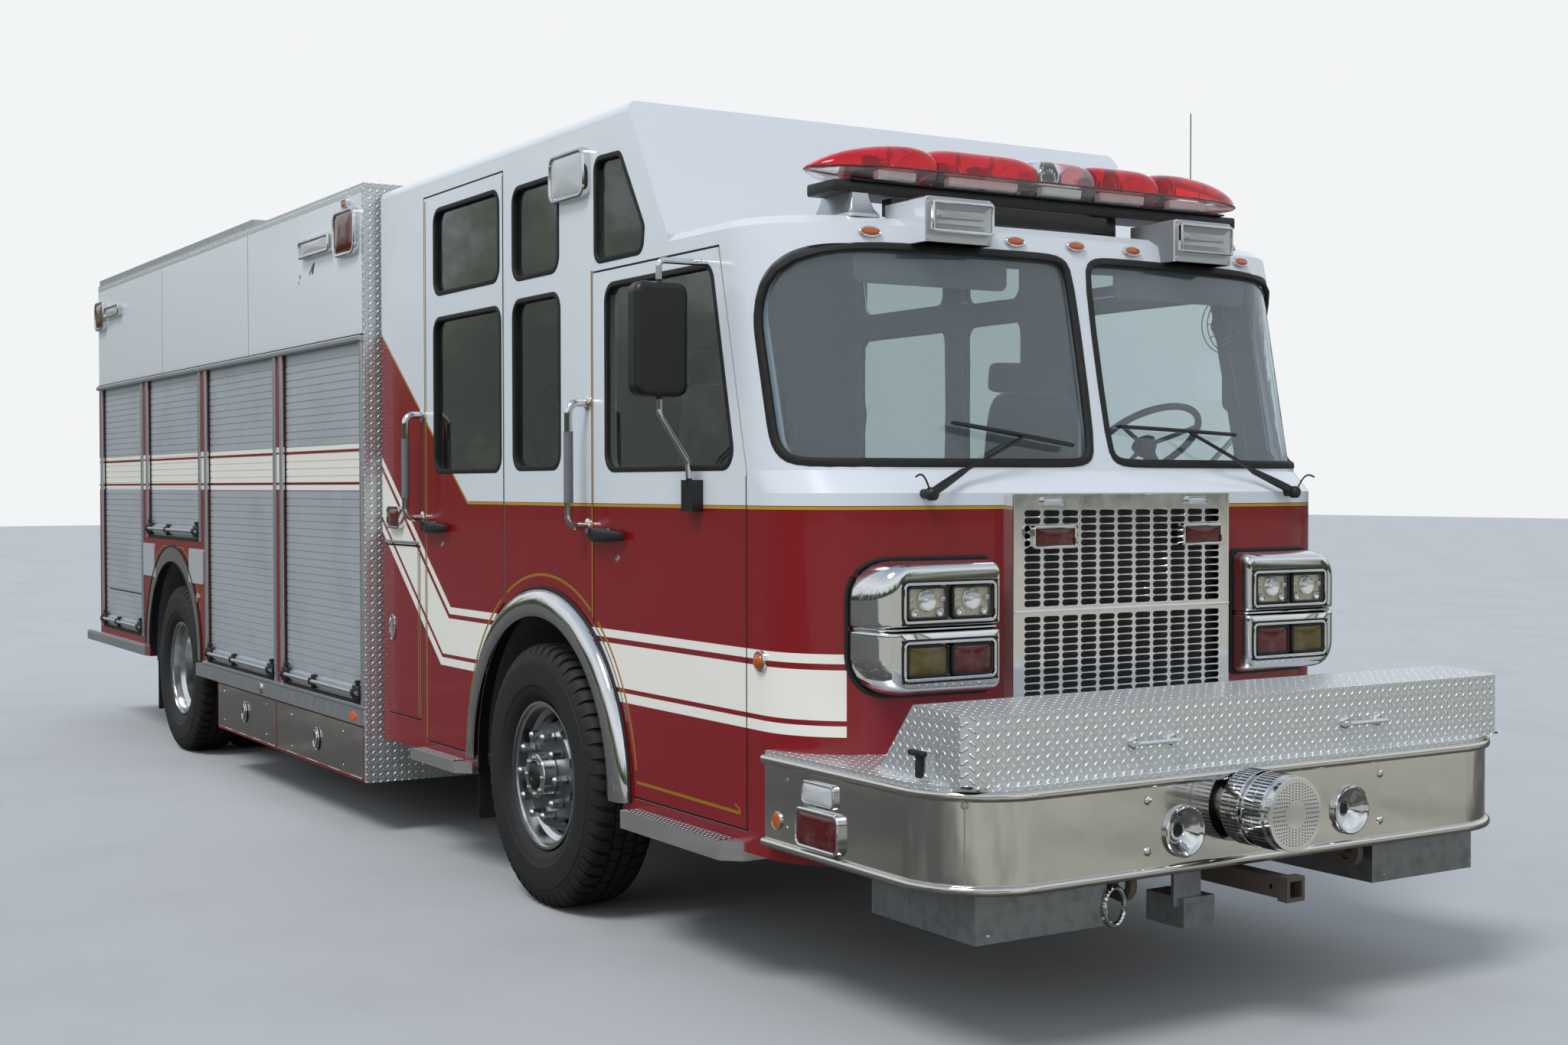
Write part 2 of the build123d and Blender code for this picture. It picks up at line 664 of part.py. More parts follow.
with BuildPart() as cab_nose:
    nose_form(0, nose_sections, at(low_roof_back))
    inside = [(cab_bottom - 10, 2120, 0)] + nose_sections[1:4] + [(low_roof_under, 1880, 0)]
    nose_form(wall, inside, at(low_roof_back) - 10, mode=Mode.SUBTRACT)
    with BuildSketch(side_view(cab_half + 10)):
        Polygon((at(seam_x), cab_bottom - 20), (at(seam_x), belt_z), (at(seam_top_x), seam_top_z),
                (at(seam_top_x), low_roof_under), (at(low_roof_back), low_roof_under),
                (at(low_roof_back), roof_top), (at(2300), roof_top), (at(2300), cab_bottom - 20), align=None)
    extrude(amount=2 * (cab_half + 10), mode=Mode.INTERSECT)
    add(screen_cut.part, mode=Mode.SUBTRACT)
    block(at(2000), at(2200), -(grille_half - 40), grille_half - 40, grille_low + 30, grille_high - 30,
          mode=Mode.SUBTRACT)
    block(at(1900), at(2200), -1000, 1000, cab_bottom - 20, 815, mode=Mode.SUBTRACT)
    for side in (right, left):
        block(at(brow_light["x0"]), at(brow_light["x1"]), side * brow_light["y0"], side * brow_light["y1"],
              low_roof_under - 5, brow_light["z1"])
        block(at(1850), at(brow_light["x1"]), side * brow_light["y0"], side * brow_light["y1"],
              brow_light["z0"], low_roof_under)
        upright_hinge(side, at(front_door["x1"]), front_door["z0"] + 10, belt_z - 10, 0, door_gap)
write(cab_nose, "cab_nose")

with BuildPart() as cab_glass:
    with BuildPart(mode=Mode.PRIVATE) as pane_layer:
        nose_form(glass_set, nose_sections[2:4], at(low_roof_back))
        nose_form(glass_set + glass, nose_sections[2:4], at(low_roof_back) - 10, mode=Mode.SUBTRACT)
        with BuildPart(mode=Mode.PRIVATE) as screen_fit:
            screen_region(seat_gap)
        add(screen_fit.part, mode=Mode.INTERSECT)
    add(pane_layer.part)
    for side in (right, left):
        with BuildSketch(inwards(side, cab_half - glass_set, glass)):
            for pane in fixed_panes:
                pane_shape(pane, seat_gap)
            cut_pane_shape(quarter_pane, 45, seat_gap)
        extrude(amount=glass)
write(cab_glass, "cab_glass")

# Doors: the whole door with its window cut, a paddle handle outside and a piano hinge along its front edge
handle = {"length": 150, "height": 46, "out": 34, "z": 1530}
front_hinge_z = (front_door["z0"] + 10, belt_z - 10)
mirror = {"x": 1350, "y0": 1282, "y1": 1487, "z0": 2020, "z1": 2412, "depth": 62}
arm_r = 11


def door_handle(side, x):
    """A paddle handle on a door's skin: a rounded bar that thins towards its free end, over a small escutcheon."""
    skin_at = side * cab_half
    out = side * handle["out"]
    with BuildSketch(Plane.XY.offset(handle["z"] - handle["height"] / 2)) as plan:
        Polygon((x, skin_at - side * 5), (x, skin_at + out), (x + 40, skin_at + out),
                (x + handle["length"], skin_at + 0.7 * out), (x + handle["length"], skin_at + 0.35 * out),
                (x + 60, skin_at + 0.35 * out), (x + 60, skin_at - side * 5), align=None)
    with BuildPart(mode=Mode.PRIVATE) as bar:
        extrude(plan.sketch, amount=handle["height"])
        with BuildSketch(side_view(skin_at + side * 60 if side == left else skin_at + 10)) as seen:
            with Locations((x + handle["length"] / 2, handle["z"])):
                RectangleRounded(handle["length"], handle["height"], 14)
        extrude(seen.sketch, amount=70, mode=Mode.INTERSECT)
    add(bar.part)


for side, tag in sides:
    with BuildPart() as door_front:
        with BuildSketch(inwards(side, cab_half, wall)):
            door_shape(front_door, -half_gap)
            cut_pane_shape(front_pane, pane_corner, mode=Mode.SUBTRACT)
        extrude(amount=wall)
        upright_hinge(side, at(front_door["x1"]), *front_hinge_z, 1, -door_gap)
        door_handle(side, at(front_door["x0"]) + 20)
    write(door_front, f"door_front_{tag}")

    with BuildPart() as pane_front:
        with BuildSketch(inwards(side, cab_half - glass_set, glass)):
            cut_pane_shape(front_pane, pane_corner, seat_gap)
        extrude(amount=glass)
    write(pane_front, f"pane_front_{tag}")

    with BuildPart() as door_crew:
        with BuildSketch(inwards(side, cab_half, wall)):
            door_shape(crew_door, -half_gap)
            for pane in crew_panes:
                pane_shape(pane, mode=Mode.SUBTRACT)
        extrude(amount=wall)
        upright_hinge(side, at(crew_door["x1"]), 1260, crew_door["z1"] - 20, 1, -door_gap)
        door_handle(side, at(crew_door["x0"]) + 20)
    write(door_crew, f"door_crew_{tag}")

    with BuildPart() as panes_crew:
        with BuildSketch(inwards(side, cab_half - glass_set, glass)):
            for pane in crew_panes:
                pane_shape(pane, seat_gap)
        extrude(amount=glass)
    write(panes_crew, f"panes_crew_{tag}")

    with BuildPart() as hatch_door:
        with BuildSketch(inwards(side, cab_half, 30)):
            with Locations((at(hatch_shape[0]), hatch_shape[1])):
                Rectangle(hatch_shape[2] - door_gap, hatch_shape[3] - door_gap)
        extrude(amount=30)
        upright_hinge(side, at(hatch["x1"]), hatch["z0"] + 10, hatch["z1"] - 10, 1, -door_gap)
    write(hatch_door, f"hatch_{tag}")

    mirror_y = side * (mirror["y0"] + mirror["y1"]) / 2
    skin_y = side * (cab_half + seat_gap)
    with BuildPart() as mirror_arm:
        with Locations((at(mirror["x"]), mirror_y, (mirror["z0"] + mirror["z1"]) / 2)):
            Box(mirror["depth"], mirror["y1"] - mirror["y0"], mirror["z1"] - mirror["z0"])
        fillet(mirror_arm.edges().filter_by(Axis.X), 40)
        fillet(mirror_arm.edges().group_by(Axis.X)[-1], 24)
        bent_rod([(at(mirror["x"]), skin_y, 2486), (at(mirror["x"]), mirror_y, 2486),
                  (at(mirror["x"]), mirror_y, mirror["z1"] - 10)], arm_r, 20)
        bent_rod([(at(mirror["x"]), mirror_y, mirror["z0"] + 10), (at(mirror["x"]), mirror_y, 1960),
                  (at(1290), side * 1240, 1800), (at(1280), side * 1228, 1700)], arm_r, 40)
        block(at(1240), at(1320), skin_y, skin_y + side * 44, 1625, 1735)
    write(mirror_arm, f"mirror_{tag}")

# Bumper: a wrapped stainless skin with two rails, a deck over it and a well under the lid
bumper_front = 2827
bumper_half = 1220
bumper_back = 1770
bumper_corner = 280
bumper_z = (529, 832)
rail_height = 30
rail_out = 18
rail_round = 13
skin = 8
deck_plate = 12
horn = {"y": 365, "z": 656, "r": 80, "hole": 68}
tray_front = 2748
tray_half = 1080
tray_floor = 560
lower_box = {"x0": 2200, "x1": 2730, "y0": 587, "y1": 1089, "z": 374}


def bumper_outline(inset):
    """Plan of the bumper: two sides, round corners and a straight front."""
    half = bumper_half - inset
    tip = at(bumper_front) - inset
    corner = bumper_corner - inset
    reach = corner * (1 - cos(radians(45)))
    with BuildLine() as outline:
        Line((at(bumper_back), -half), (tip - corner, -half))
        ThreePointArc((tip - corner, -half), (tip - reach, -half + reach), (tip, -half + corner))
        Line((tip, -half + corner), (tip, half - corner))
        ThreePointArc((tip, half - corner), (tip - reach, half - reach), (tip - corner, half))
        Polyline((tip - corner, half), (at(bumper_back), half), (at(bumper_back), -half))
    make_face(outline.edges())


def bumper_band(outside, inside, z0, z1):
    """A band of the bumper between two outlines, open at the back."""
    with BuildSketch(Plane.XY.offset(z0)) as band:
        bumper_outline(outside)
        with BuildSketch(mode=Mode.PRIVATE) as core:
            bumper_outline(inside)
            with Locations((at(bumper_back), 0)):
                Rectangle(40, 2 * (bumper_half - inside))
        add(core.sketch, mode=Mode.SUBTRACT)
    extrude(band.sketch, amount=z1 - z0)


def bumper_rail(z0):
    """A bright rail round the bumper, rounded outside."""
    with BuildPart(mode=Mode.PRIVATE) as rail_part:
        with BuildSketch(Plane.XY.offset(z0)):
            bumper_outline(-rail_out)
        extrude(amount=rail_height)
        long_edges = rail_part.edges().filter_by(lambda e: abs(e.center().X - at(bumper_back)) > 1)
        fillet(long_edges.filter_by(lambda e: abs((e @ 0).Z - (e @ 1).Z) < 1), rail_round)
        with BuildSketch(Plane.XY.offset(z0 - 1)):
            bumper_outline(skin)
            with Locations((at(bumper_back), 0)):
                Rectangle(40, 2 * (bumper_half - skin))
        extrude(amount=rail_height + 2, mode=Mode.SUBTRACT)
    add(rail_part.part)


with BuildPart() as bumper:
    bumper_band(0, skin, *bumper_z)
    bumper_rail(bumper_z[0])
    bumper_rail(bumper_z[1] - rail_height)
    for side in (right, left):
        across(at(bumper_front), side * horn["y"], horn["z"], "x", Mode.SUBTRACT, horn["hole"], 60)
write(bumper, "bumper")

# Lid over the well, and its hinge on the deck
lid_half = 1167
lid_hinge = (2336, 850)
lid_hinge_r = 5
lid_hinge_count = 8
lid_profile = [(2346, 0), (2530, 1064), (2790, 1052), (2790, 0)]
lid_wall = 6
deck_low = bumper_z[1] + seat_gap
deck_high = deck_low + deck_plate
lid_low = deck_high + seat_gap


def lid_barrels(own, x0, x1, z0, z1):
    """Every second barrel of the lid's hinge, with a leaf in the piece that owns it."""
    pitch = 2 * lid_half / lid_hinge_count
    for n in range(own, lid_hinge_count, 2):
        low = -lid_half + n * pitch
        across(at(lid_hinge[0]), low + pitch / 2, lid_hinge[1], "y", Mode.ADD, lid_hinge_r, pitch - seat_gap)
        block(x0, x1, low + seat_gap / 2, low + pitch - seat_gap / 2, z0, z1)


with BuildPart() as bumper_deck:
    with BuildSketch(Plane.XY.offset(deck_low)):
        bumper_outline(0)
    extrude(amount=deck_plate)
    nose_form(-seat_gap, nose_sections[:2], at(1600), mode=Mode.SUBTRACT)
    block(at(tray_back), at(tray_front), -tray_half, tray_half, deck_low - 1, deck_high + 1, mode=Mode.SUBTRACT)
    block(at(tray_back), at(tray_front), -tray_half, tray_half, tray_floor, deck_low + 2)
    block(at(tray_back) + skin, at(tray_front) - skin, -tray_half + skin, tray_half - skin, tray_floor + skin,
          deck_high + 1, mode=Mode.SUBTRACT)
    lid_barrels(0, at(lid_hinge[0]) - lid_hinge_r, at(lid_hinge[0]), deck_high - 2, lid_hinge[1])
write(bumper_deck, "bumper_deck")


def lid_section(inset):
    """Side view of the lid, drawn in by an inset."""
    (rear_x, _), (back_x, back_z), (front_x, front_z), _ = lid_profile
    Polygon((at(rear_x) + 1.5 * inset, lid_low), (at(back_x) + inset * 0.5, back_z - inset),
            (at(front_x) - inset, front_z - inset), (at(front_x) - inset, lid_low), align=None)


with BuildPart() as bumper_lid:
    with BuildSketch(side_view(lid_half)):
        lid_section(0)
    extrude(amount=2 * lid_half)
    chamfer(bumper_lid.edges().filter_by(Axis.Z).group_by(Axis.X)[-1], 30)
    with BuildPart(mode=Mode.PRIVATE) as lid_core:
        with BuildSketch(side_view(lid_half - lid_wall)):
            lid_section(lid_wall)
        extrude(amount=2 * (lid_half - lid_wall))
        chamfer(lid_core.edges().filter_by(Axis.Z).group_by(Axis.X)[-1], 30)
        block(at(2340), at(2790) - lid_wall, -(lid_half - 40), lid_half - 40, lid_low - 5, lid_low + 1)
    add(lid_core.part, mode=Mode.SUBTRACT)
    lid_barrels(1, at(lid_hinge[0]), at(lid_profile[0][0]) + 6, lid_hinge[1] - lid_hinge_r, lid_hinge[1])
    for middle in (-460, 460):
        for end in (-1, 1):
            across(at(lid_profile[2][0]) + 15, middle + end * 80, 935, "x", Mode.ADD, 7, 44)
        across(at(lid_profile[2][0]) + 34, middle, 935, "y", Mode.ADD, 8, 175)
    for side in (right, left):
        block(at(2570), at(2616), side * (lid_half - 3), side * (lid_half + 16), 860, 935)
write(bumper_lid, "bumper_lid")

with BuildPart() as bumper_boxes:
    for side in (right, left):
        block(at(lower_box["x0"]), at(lower_box["x1"]), side * lower_box["y0"], side * lower_box["y1"],
              lower_box["z"], 520)
        block(at(tray_back) + 20, at(2700), side * (lower_box["y0"] + 40), side * (lower_box["y1"] - 40), 520,
              tray_floor - seat_gap)
    block(at(2580), at(2750), -289, -158, 330, 425)
    block(at(2722), at(2734), -316, -201, 400, tray_floor - seat_gap)
write(bumper_boxes, "bumper_boxes")

# Siren and horns on the bumper's face
siren = {"y": -118, "z": 716, "r": 118}
siren_steps = [(0, 78, 25), (25, 118, 75), (100, 104, 16), (116, 118, 80), (196, 112, 29)]
with BuildPart() as siren_body:
    base = at(bumper_front) + seat_gap
    for start, radius, length in siren_steps:
        across(base + start + length / 2, siren["y"], siren["z"], "x", Mode.ADD, radius, length)
    for side in (right, left):
        y, z = side * horn["y"], horn["z"]
        across(base + 6, y, z, "x", Mode.ADD, horn["r"], 12)
        across(base - 25, y, z, "x", Mode.ADD, horn["hole"] - 3, 60)
        with Locations(Location((base - 8, y, z), (0, 90, 0))):
            Cone(22, 72, 42, mode=Mode.SUBTRACT)
write(siren_body, "siren")

# Grille: a frame with two fields of slots over the radiator
slot_half = 445
slot_columns = 11
slot_height = 15
slot_rows = [(1060, 1262, 10), (1318, 1640, 15)]
grille_plate = 12
with BuildPart() as grille:
    block(at(2090), at(grille_front), -grille_half, grille_half, grille_low, grille_high)
    fillet(grille.edges().filter_by(Axis.X), 22)
    fillet(grille.edges().group_by(Axis.X)[-1], 5)
    nose_form(-seat_gap, nose_sections[:2], at(1600), mode=Mode.SUBTRACT)
    block(at(2080), at(grille_front) - grille_plate, -(grille_half - 30), grille_half - 30, grille_low + 20,
          grille_high - 20, mode=Mode.SUBTRACT)
    with BuildSketch(front_view(at(grille_front) - 40)):
        for low, high, count in slot_rows:
            pitch_z = (high - low) / (count - 1)
            pitch_y = 2 * slot_half / slot_columns
            with Locations((0, (low + high) / 2)):
                with GridLocations(pitch_y, pitch_z, slot_columns, count):
                    SlotOverall(pitch_y - 14, slot_height)
    extrude(amount=60, mode=Mode.SUBTRACT)
write(grille, "grille")

# Headlamp housings. Lens columns: rear edge of the row, its inner and outer end, bottom and top
lamp_front = 2185
lamp_half = (554, 1081)
lamp_z = (1036, 1472)
lamp_round = [(lamp_front, 900), (2165, 1010), (2089, 1081)]  # outer front corner in plan
lamp_split = (1238, 1250)
lamp_split_depth = 9
lens_depth = 22
lenses = [(598, 764, 1284, 1392), (778, 942, 1284, 1392), (598, 764, 1100, 1204), (778, 942, 1100, 1204)]


def lamp_outline(side, inset):
    """Plan of a headlamp housing: a flat front that rounds off outwards."""
    start, middle, end = [(at(x) - inset, side * (y - inset)) for x, y in lamp_round]
    inner = side * (lamp_half[0] + inset)
    back = at(1940)
    with BuildLine() as outline:
        Polyline(end, (back, end[1]), (back, inner), (start[0], inner), start)
        ThreePointArc(start, middle, end)
    make_face(outline.edges())


def lens_block(side, lens, gap, x0, x1):
    """A lens or its pocket: a rounded block seen from the front."""
    y0, y1, z0, z1 = lens
    with BuildSketch(front_view(x0)) as shape:
        with Locations((side * (y0 + y1) / 2, (z0 + z1) / 2)):
            RectangleRounded(y1 - y0 - 2 * gap, z1 - z0 - 2 * gap, 16 - gap)
    return shape.sketch, x1 - x0


with BuildPart() as headlamps:
    for side in (right, left):
        with BuildPart(mode=Mode.PRIVATE) as housing:
            with BuildSketch(front_view(at(1930))) as seen:
                Polygon((side * lamp_half[0], lamp_z[0]), (side * lamp_half[1], lamp_z[0]),
                        (side * lamp_half[1], lamp_z[1]), (side * lamp_half[0], lamp_z[1]), align=None)
                outer_low = seen.vertices().sort_by(lambda v: v.Y - side * v.X)[0]
                fillet(outer_low, 150)
                outer_high = seen.vertices().sort_by(lambda v: -v.Y - side * v.X)[0]
                fillet(outer_high, 55)
            extrude(amount=300)
            with BuildSketch(Plane.XY.offset(lamp_z[0] - 1)):
                lamp_outline(side, 0)
            extrude(amount=lamp_z[1] - lamp_z[0] + 2, mode=Mode.INTERSECT)
            with BuildSketch(Plane.XY.offset(lamp_split[0])) as ring:
                lamp_outline(side, -20)
                with BuildSketch(mode=Mode.PRIVATE) as core:
                    lamp_outline(side, lamp_split_depth)
                add(core.sketch, mode=Mode.SUBTRACT)
            extrude(ring.sketch, amount=lamp_split[1] - lamp_split[0], mode=Mode.SUBTRACT)
            nose_form(-seat_gap, nose_sections[:2], at(1600), mode=Mode.SUBTRACT)
        add(housing.part)
        for lens in lenses:
            shape, depth = lens_block(side, lens, 0, at(lamp_front) - lens_depth, at(lamp_front) + 10)
            extrude(shape, amount=depth, mode=Mode.SUBTRACT)
write(headlamps, "headlamps")

# Lamps and reflectors on the fixed body. Side lamps: rear, front, bottom, top, outside face they sit on, depth
side_lamps = [
    (120, 442, 2835, 3030, cab_half, 34),
    (1690, 1730, 1108, 1146, cab_half, 8),
    (-2845, -2355, 2910, 3010, body_half, 40),
    (-2295, -1971, 2861, 3094, body_half, 34),
    (-7358, -6922, 2935, 3020, body_half, 40),
    (-7665, -7390, 2865, 3076, body_half, 34),
    (-2182, -2082, 3112, 3138, body_half, 16),
    (2010, 2200, 704, 781, bumper_half, 14),
    (1976, 2233, 562, 694, bumper_half, 24),
    (1817, 1877, 593, 653, bumper_half, 10),
]
roof_markers = [0, -269, 269, -854, 854]
marker_z = 2563
tail_lamps = [(1040, 1180, 800, 940), (1040, 1180, 950, 1090), (1040, 1180, 1100, 1240), (950, 1200, 2880, 3080)]
with BuildPart() as lamps:
    for side in (right, left):
        for lens in lenses:
            shape, depth = lens_block(side, lens, seat_gap, at(lamp_front) - lens_depth + seat_gap, at(lamp_front) + 3)
            extrude(shape, amount=depth)
        for x0, x1, z0, z1, outside, out in side_lamps:
            with BuildSketch(inwards(side, outside + out, out - seat_gap)) as shape:
                with Locations(((at(x0) + at(x1)) / 2, (z0 + z1) / 2)):
                    RectangleRounded(x1 - x0, z1 - z0, 0.24 * min(x1 - x0, z1 - z0))
            extrude(shape.sketch, amount=out - seat_gap)
        block(at(brow_light["x1"]) + seat_gap, at(brow_light["x1"]) + 14, side * (brow_light["y0"] + 10),
              side * (brow_light["y1"] - 10), brow_light["z0"] + 16, brow_light["z1"] - 10)
        block(at(grille_front) + seat_gap, at(grille_front) + 16, side * 400, side * 474, 1540, 1628)
        for y0, y1, z0, z1 in tail_lamps:
            block(at(body_back) - seat_gap, at(body_back) - 30, side * y0, side * y1, z0, z1)
    with BuildPart(mode=Mode.PRIVATE) as markers:
        for y in roof_markers:
            block(nose_front(marker_z) - 90, on_nose(y, marker_z)[0] + 24, y - 42, y + 42, marker_z - 19,
                  marker_z + 19)
        nose_form(-seat_gap, nose_sections[2:5], at(1100), mode=Mode.SUBTRACT)
        block(at(1500), at(2000), -1200, 1200, low_roof_under - 1, low_roof_under + 40, mode=Mode.SUBTRACT)
    add(markers.part)
write(lamps, "lamps")

# Light bar on the low roof
bar = {"x0": 1500, "x1": 1820, "half": 980, "z0": 2745, "z1": 2890}
bar_split = (-50, 200)
bar_base = 45
bar_feet = [906, 330]
# Plan of one quarter of the bar, its section and the end's fall, as seen from above, from the side and from the front
bar_end = [(1560, 980), (1760, 980), (1820, 850)]
bar_crown = [(1500, 2785), (1508, 2838), (1545, 2876), (1600, 2890), (1720, 2890), (1775, 2876), (1812, 2838),
             (1820, 2785)]
bar_fall = [(980, 2785), (972, 2835), (925, 2868), (850, 2890)]


def bar_plan():
    """The light bar from above, with tapered ends."""
    corners = [(bar["x0"], 850)] + bar_end
    Polygon(*[(at(x), -y) for x, y in corners], *[(at(x), y) for x, y in reversed(corners)], align=None)


with BuildPart() as light_bar:
    for y in [side * foot for side in (right, left) for foot in bar_feet]:
        block(at(1580), at(1730), y - 35, y + 35, low_roof_top + seat_gap, bar["z0"] + 5)
    with BuildSketch(Plane.XY.offset(bar["z0"])):
        bar_plan()
    extrude(amount=bar_base)
write(light_bar, "light_bar")

with BuildPart() as light_bar_lenses:
    for y0, y1 in ((-bar["half"], bar_split[0]), bar_split, (bar_split[1], bar["half"])):
        with BuildPart(mode=Mode.PRIVATE) as lens_part:
            with BuildSketch(Plane.XY.offset(bar["z0"] + bar_base + seat_gap)):
                bar_plan()
            extrude(amount=bar["z1"] - bar["z0"] - bar_base - seat_gap)
            with BuildSketch(side_view(bar["half"])):
                Polygon(*[(at(x), z) for x, z in bar_crown], align=None)
            extrude(amount=2 * bar["half"], mode=Mode.INTERSECT)
            with BuildSketch(front_view(at(bar["x0"]))):
                Polygon(*[(-y, z) for y, z in bar_fall], *[(y, z) for y, z in reversed(bar_fall)], align=None)
            extrude(amount=bar["x1"] - bar["x0"], mode=Mode.INTERSECT)
            block(at(1400), at(1900), y0 + seat_gap / 2, y1 - seat_gap / 2, 2700, 2950, mode=Mode.INTERSECT)
        add(lens_part.part)
write(light_bar_lenses, "light_bar_lenses")

# Fittings on the cab: grab handles, arch trims, steps and wipers
grab_places = [(412, 1559, 2037), (-1335, 1568, 2046)]
grab_out = 85
grab_r = 16
with BuildPart() as grab_handles:
    for side in (right, left):
        for x, low, high in grab_places:
            bent_rod([(at(x), side * (cab_half + seat_gap), low), (at(x), side * (cab_half + grab_out), low),
                      (at(x), side * (cab_half + grab_out), high), (at(x), side * (cab_half + seat_gap), high)],
                     grab_r, 40)
write(grab_handles, "grab_handles")

trim_bottom = 545
rear_arch = {"x": -68, "z": 632, "r": 610}
rear_trim = (593, 690)
cover_plates = [(-873, -529, 1113, 1333), (355, 688, 1105, 1326)]
with BuildPart() as arch_trims:
    for side in (right, left):
        with BuildPart(mode=Mode.PRIVATE) as flare:
            turned(front, 0, side, [(cab_half + seat_gap, arch_outer), (cab_half + 6, arch_outer),
                                    (cab_half + 40, arch_cut + 20), (cab_half + 44, arch_inner),
                                    (cab_half + 38, arch_inner), (cab_half + 34, arch_cut + 14),
                                    (cab_half + seat_gap, arch_outer - 6)])
            block(front - 900, front + 900, 0, side * 1400, axle_z - 900, trim_bottom, mode=Mode.SUBTRACT)
        add(flare.part)
        with BuildSketch(inwards(side, body_half + 6, 6 - seat_gap)):
            with Locations((rear + rear_arch["x"], rear_arch["z"])):
                Circle(rear_trim[1])
                Circle(rear_trim[0], mode=Mode.SUBTRACT)
                with Locations((0, -400)):
                    Rectangle(1600, 800, mode=Mode.SUBTRACT)
        extrude(amount=6 - seat_gap)
        for x0, x1, z0, z1 in cover_plates:
            with BuildSketch(inwards(side, body_half + 6, 6 - seat_gap)):
                with Locations((rear + (x0 + x1) / 2, (z0 + z1) / 2)):
                    RectangleRounded(x1 - x0, z1 - z0, 20)
                with Locations((rear + rear_arch["x"], rear_arch["z"])):
                    Circle(rear_trim[1] + 10, mode=Mode.SUBTRACT)
            extrude(amount=6 - seat_gap)
write(arch_trims, "arch_trims")

step_places = [(820, 1612, 516), (-1322, -734, 500)]
step_out = body_half
step_cut = 60
with BuildPart() as cab_steps:
    for side in (right, left):
        for x0, x1, top in step_places:
            with BuildSketch(Plane.XY.offset(450)) as tread:
                Polygon((at(x0), side * (cab_half + seat_gap)), (at(x1), side * (cab_half + seat_gap)),
                        (at(x1), side * (cab_half + 12)), (at(x1) - step_cut, side * step_out),
                        (at(x0), side * step_out), align=None)
            extrude(tread.sketch, amount=top - 450)
            block(at(x0), at(x1), side * 1000, side * (cab_half + seat_gap), 450, cab_bottom - seat_gap)
write(cab_steps, "cab_steps")

wiper_pivot = 822
wiper_z = 1655
blade = (300, 740, 1828, 15)
with BuildPart() as wipers:
    for side in (right, left):
        x, y, z = on_nose(side * wiper_pivot, wiper_z)
        with BuildPart(mode=Mode.PRIVATE) as boss:
            across(x + 12, y, wiper_z, "x", Mode.ADD, 16, 44)
            nose_form(-seat_gap, nose_sections[:2], at(1600), mode=Mode.SUBTRACT)
        add(boss.part)
        middle = on_nose(side * (blade[0] + blade[1]) / 2, blade[2], blade[3] + 12)
        rod((x + 26, y, wiper_z), middle, 7)
        rod(on_nose(side * blade[0], blade[2], blade[3]), on_nose(side * blade[1], blade[2], blade[3]), 9)
write(wipers, "wipers")

# Cab interior
seat_half = 240
front_seat = (700, 735)
crew_seat_x = -1800
crew_seats = (-770, -260, 260, 770)
seat_profile = [(0, 0), (60, -330), (420, -330), (470, 0), (520, 30), (520, 110), (130, 100), (20, 800),
                (-40, 830), (-90, 790), (-40, 60)]
with BuildPart() as seats:
    for x, y, depth in [(front_seat[0], side * front_seat[1], 1) for side in (right, left)] + [
            (crew_seat_x + 130, y, 1) for y in crew_seats]:
        with BuildSketch(side_view(y + seat_half * 0.98)):
            Polygon(*[(at(x + u), deck_top + seat_gap + 330 + v) for u, v in seat_profile], align=None)
        extrude(amount=2 * seat_half * 0.98)
write(seats, "seats")

cover_profile = [(-330, 0), (-330, 1430), (1300, 1430), (1500, 1640), (2300, 1640), (2300, 0)]
dash_profile = [(1640, 1380), (1600, 1600), (1700, 1705), (2300, 1750), (2300, 1380)]
steering = {"y": 735, "centre": (1470, 1690), "foot": (1700, 1540), "r": 215}
with BuildPart() as dashboard:
    with BuildSketch(side_view(cover_half)):
        Polygon(*[(at(x), max(z, deck_top + seat_gap)) for x, z in cover_profile], align=None)
    extrude(amount=2 * cover_half)
    with BuildSketch(side_view(inner_half)):
        Polygon(*[(at(x), z) for x, z in dash_profile], align=None)
    extrude(amount=2 * inner_half)
    with BuildPart(mode=Mode.PRIVATE) as cab_inside:
        nose_form(wall + seat_gap, [(700, 2120, 0)] + nose_sections[1:4], at(-400))
    add(cab_inside.part, mode=Mode.INTERSECT)
    with BuildSketch(side_view(cover_half - cover_wall)):
        Polygon((at(-310), deck_top - 5), (at(-310), 1410), (at(1310), 1410), (at(1510), 1620), (at(2100), 1620),
                (at(2100), deck_top - 5), align=None)
    extrude(amount=2 * (cover_half - cover_wall), mode=Mode.SUBTRACT)
    foot = (at(steering["foot"][0]), steering["y"], steering["foot"][1])
    centre = (at(steering["centre"][0]), steering["y"], steering["centre"][1])
    rod(foot, centre, 30)
    axis = Vector(*centre) - Vector(*foot)
    with BuildPart(Plane(origin=centre, z_dir=axis), mode=Mode.PRIVATE) as wheel:
        Torus(steering["r"], 15)
        for turn in (0, 120, 240):
            with Locations(Location((0, 0, 0), (0, 90, turn))):
                Cylinder(12, steering["r"], align=(Align.CENTER, Align.CENTER, Align.MIN))
    add(wheel.part)
write(dashboard, "dashboard")

# Rescue body: walls, roof and floor
body_top = 3155
roof_edge = 3199
low_bottom = 257
rail_z = (539, 615)
rear_bottom = 563
low_back = -(wheelbase - 986)
divider = body_front - 1452
drip_z = 2443
shutter_top = 2430
front_wall = 24
front_inside = body_front - front_wall
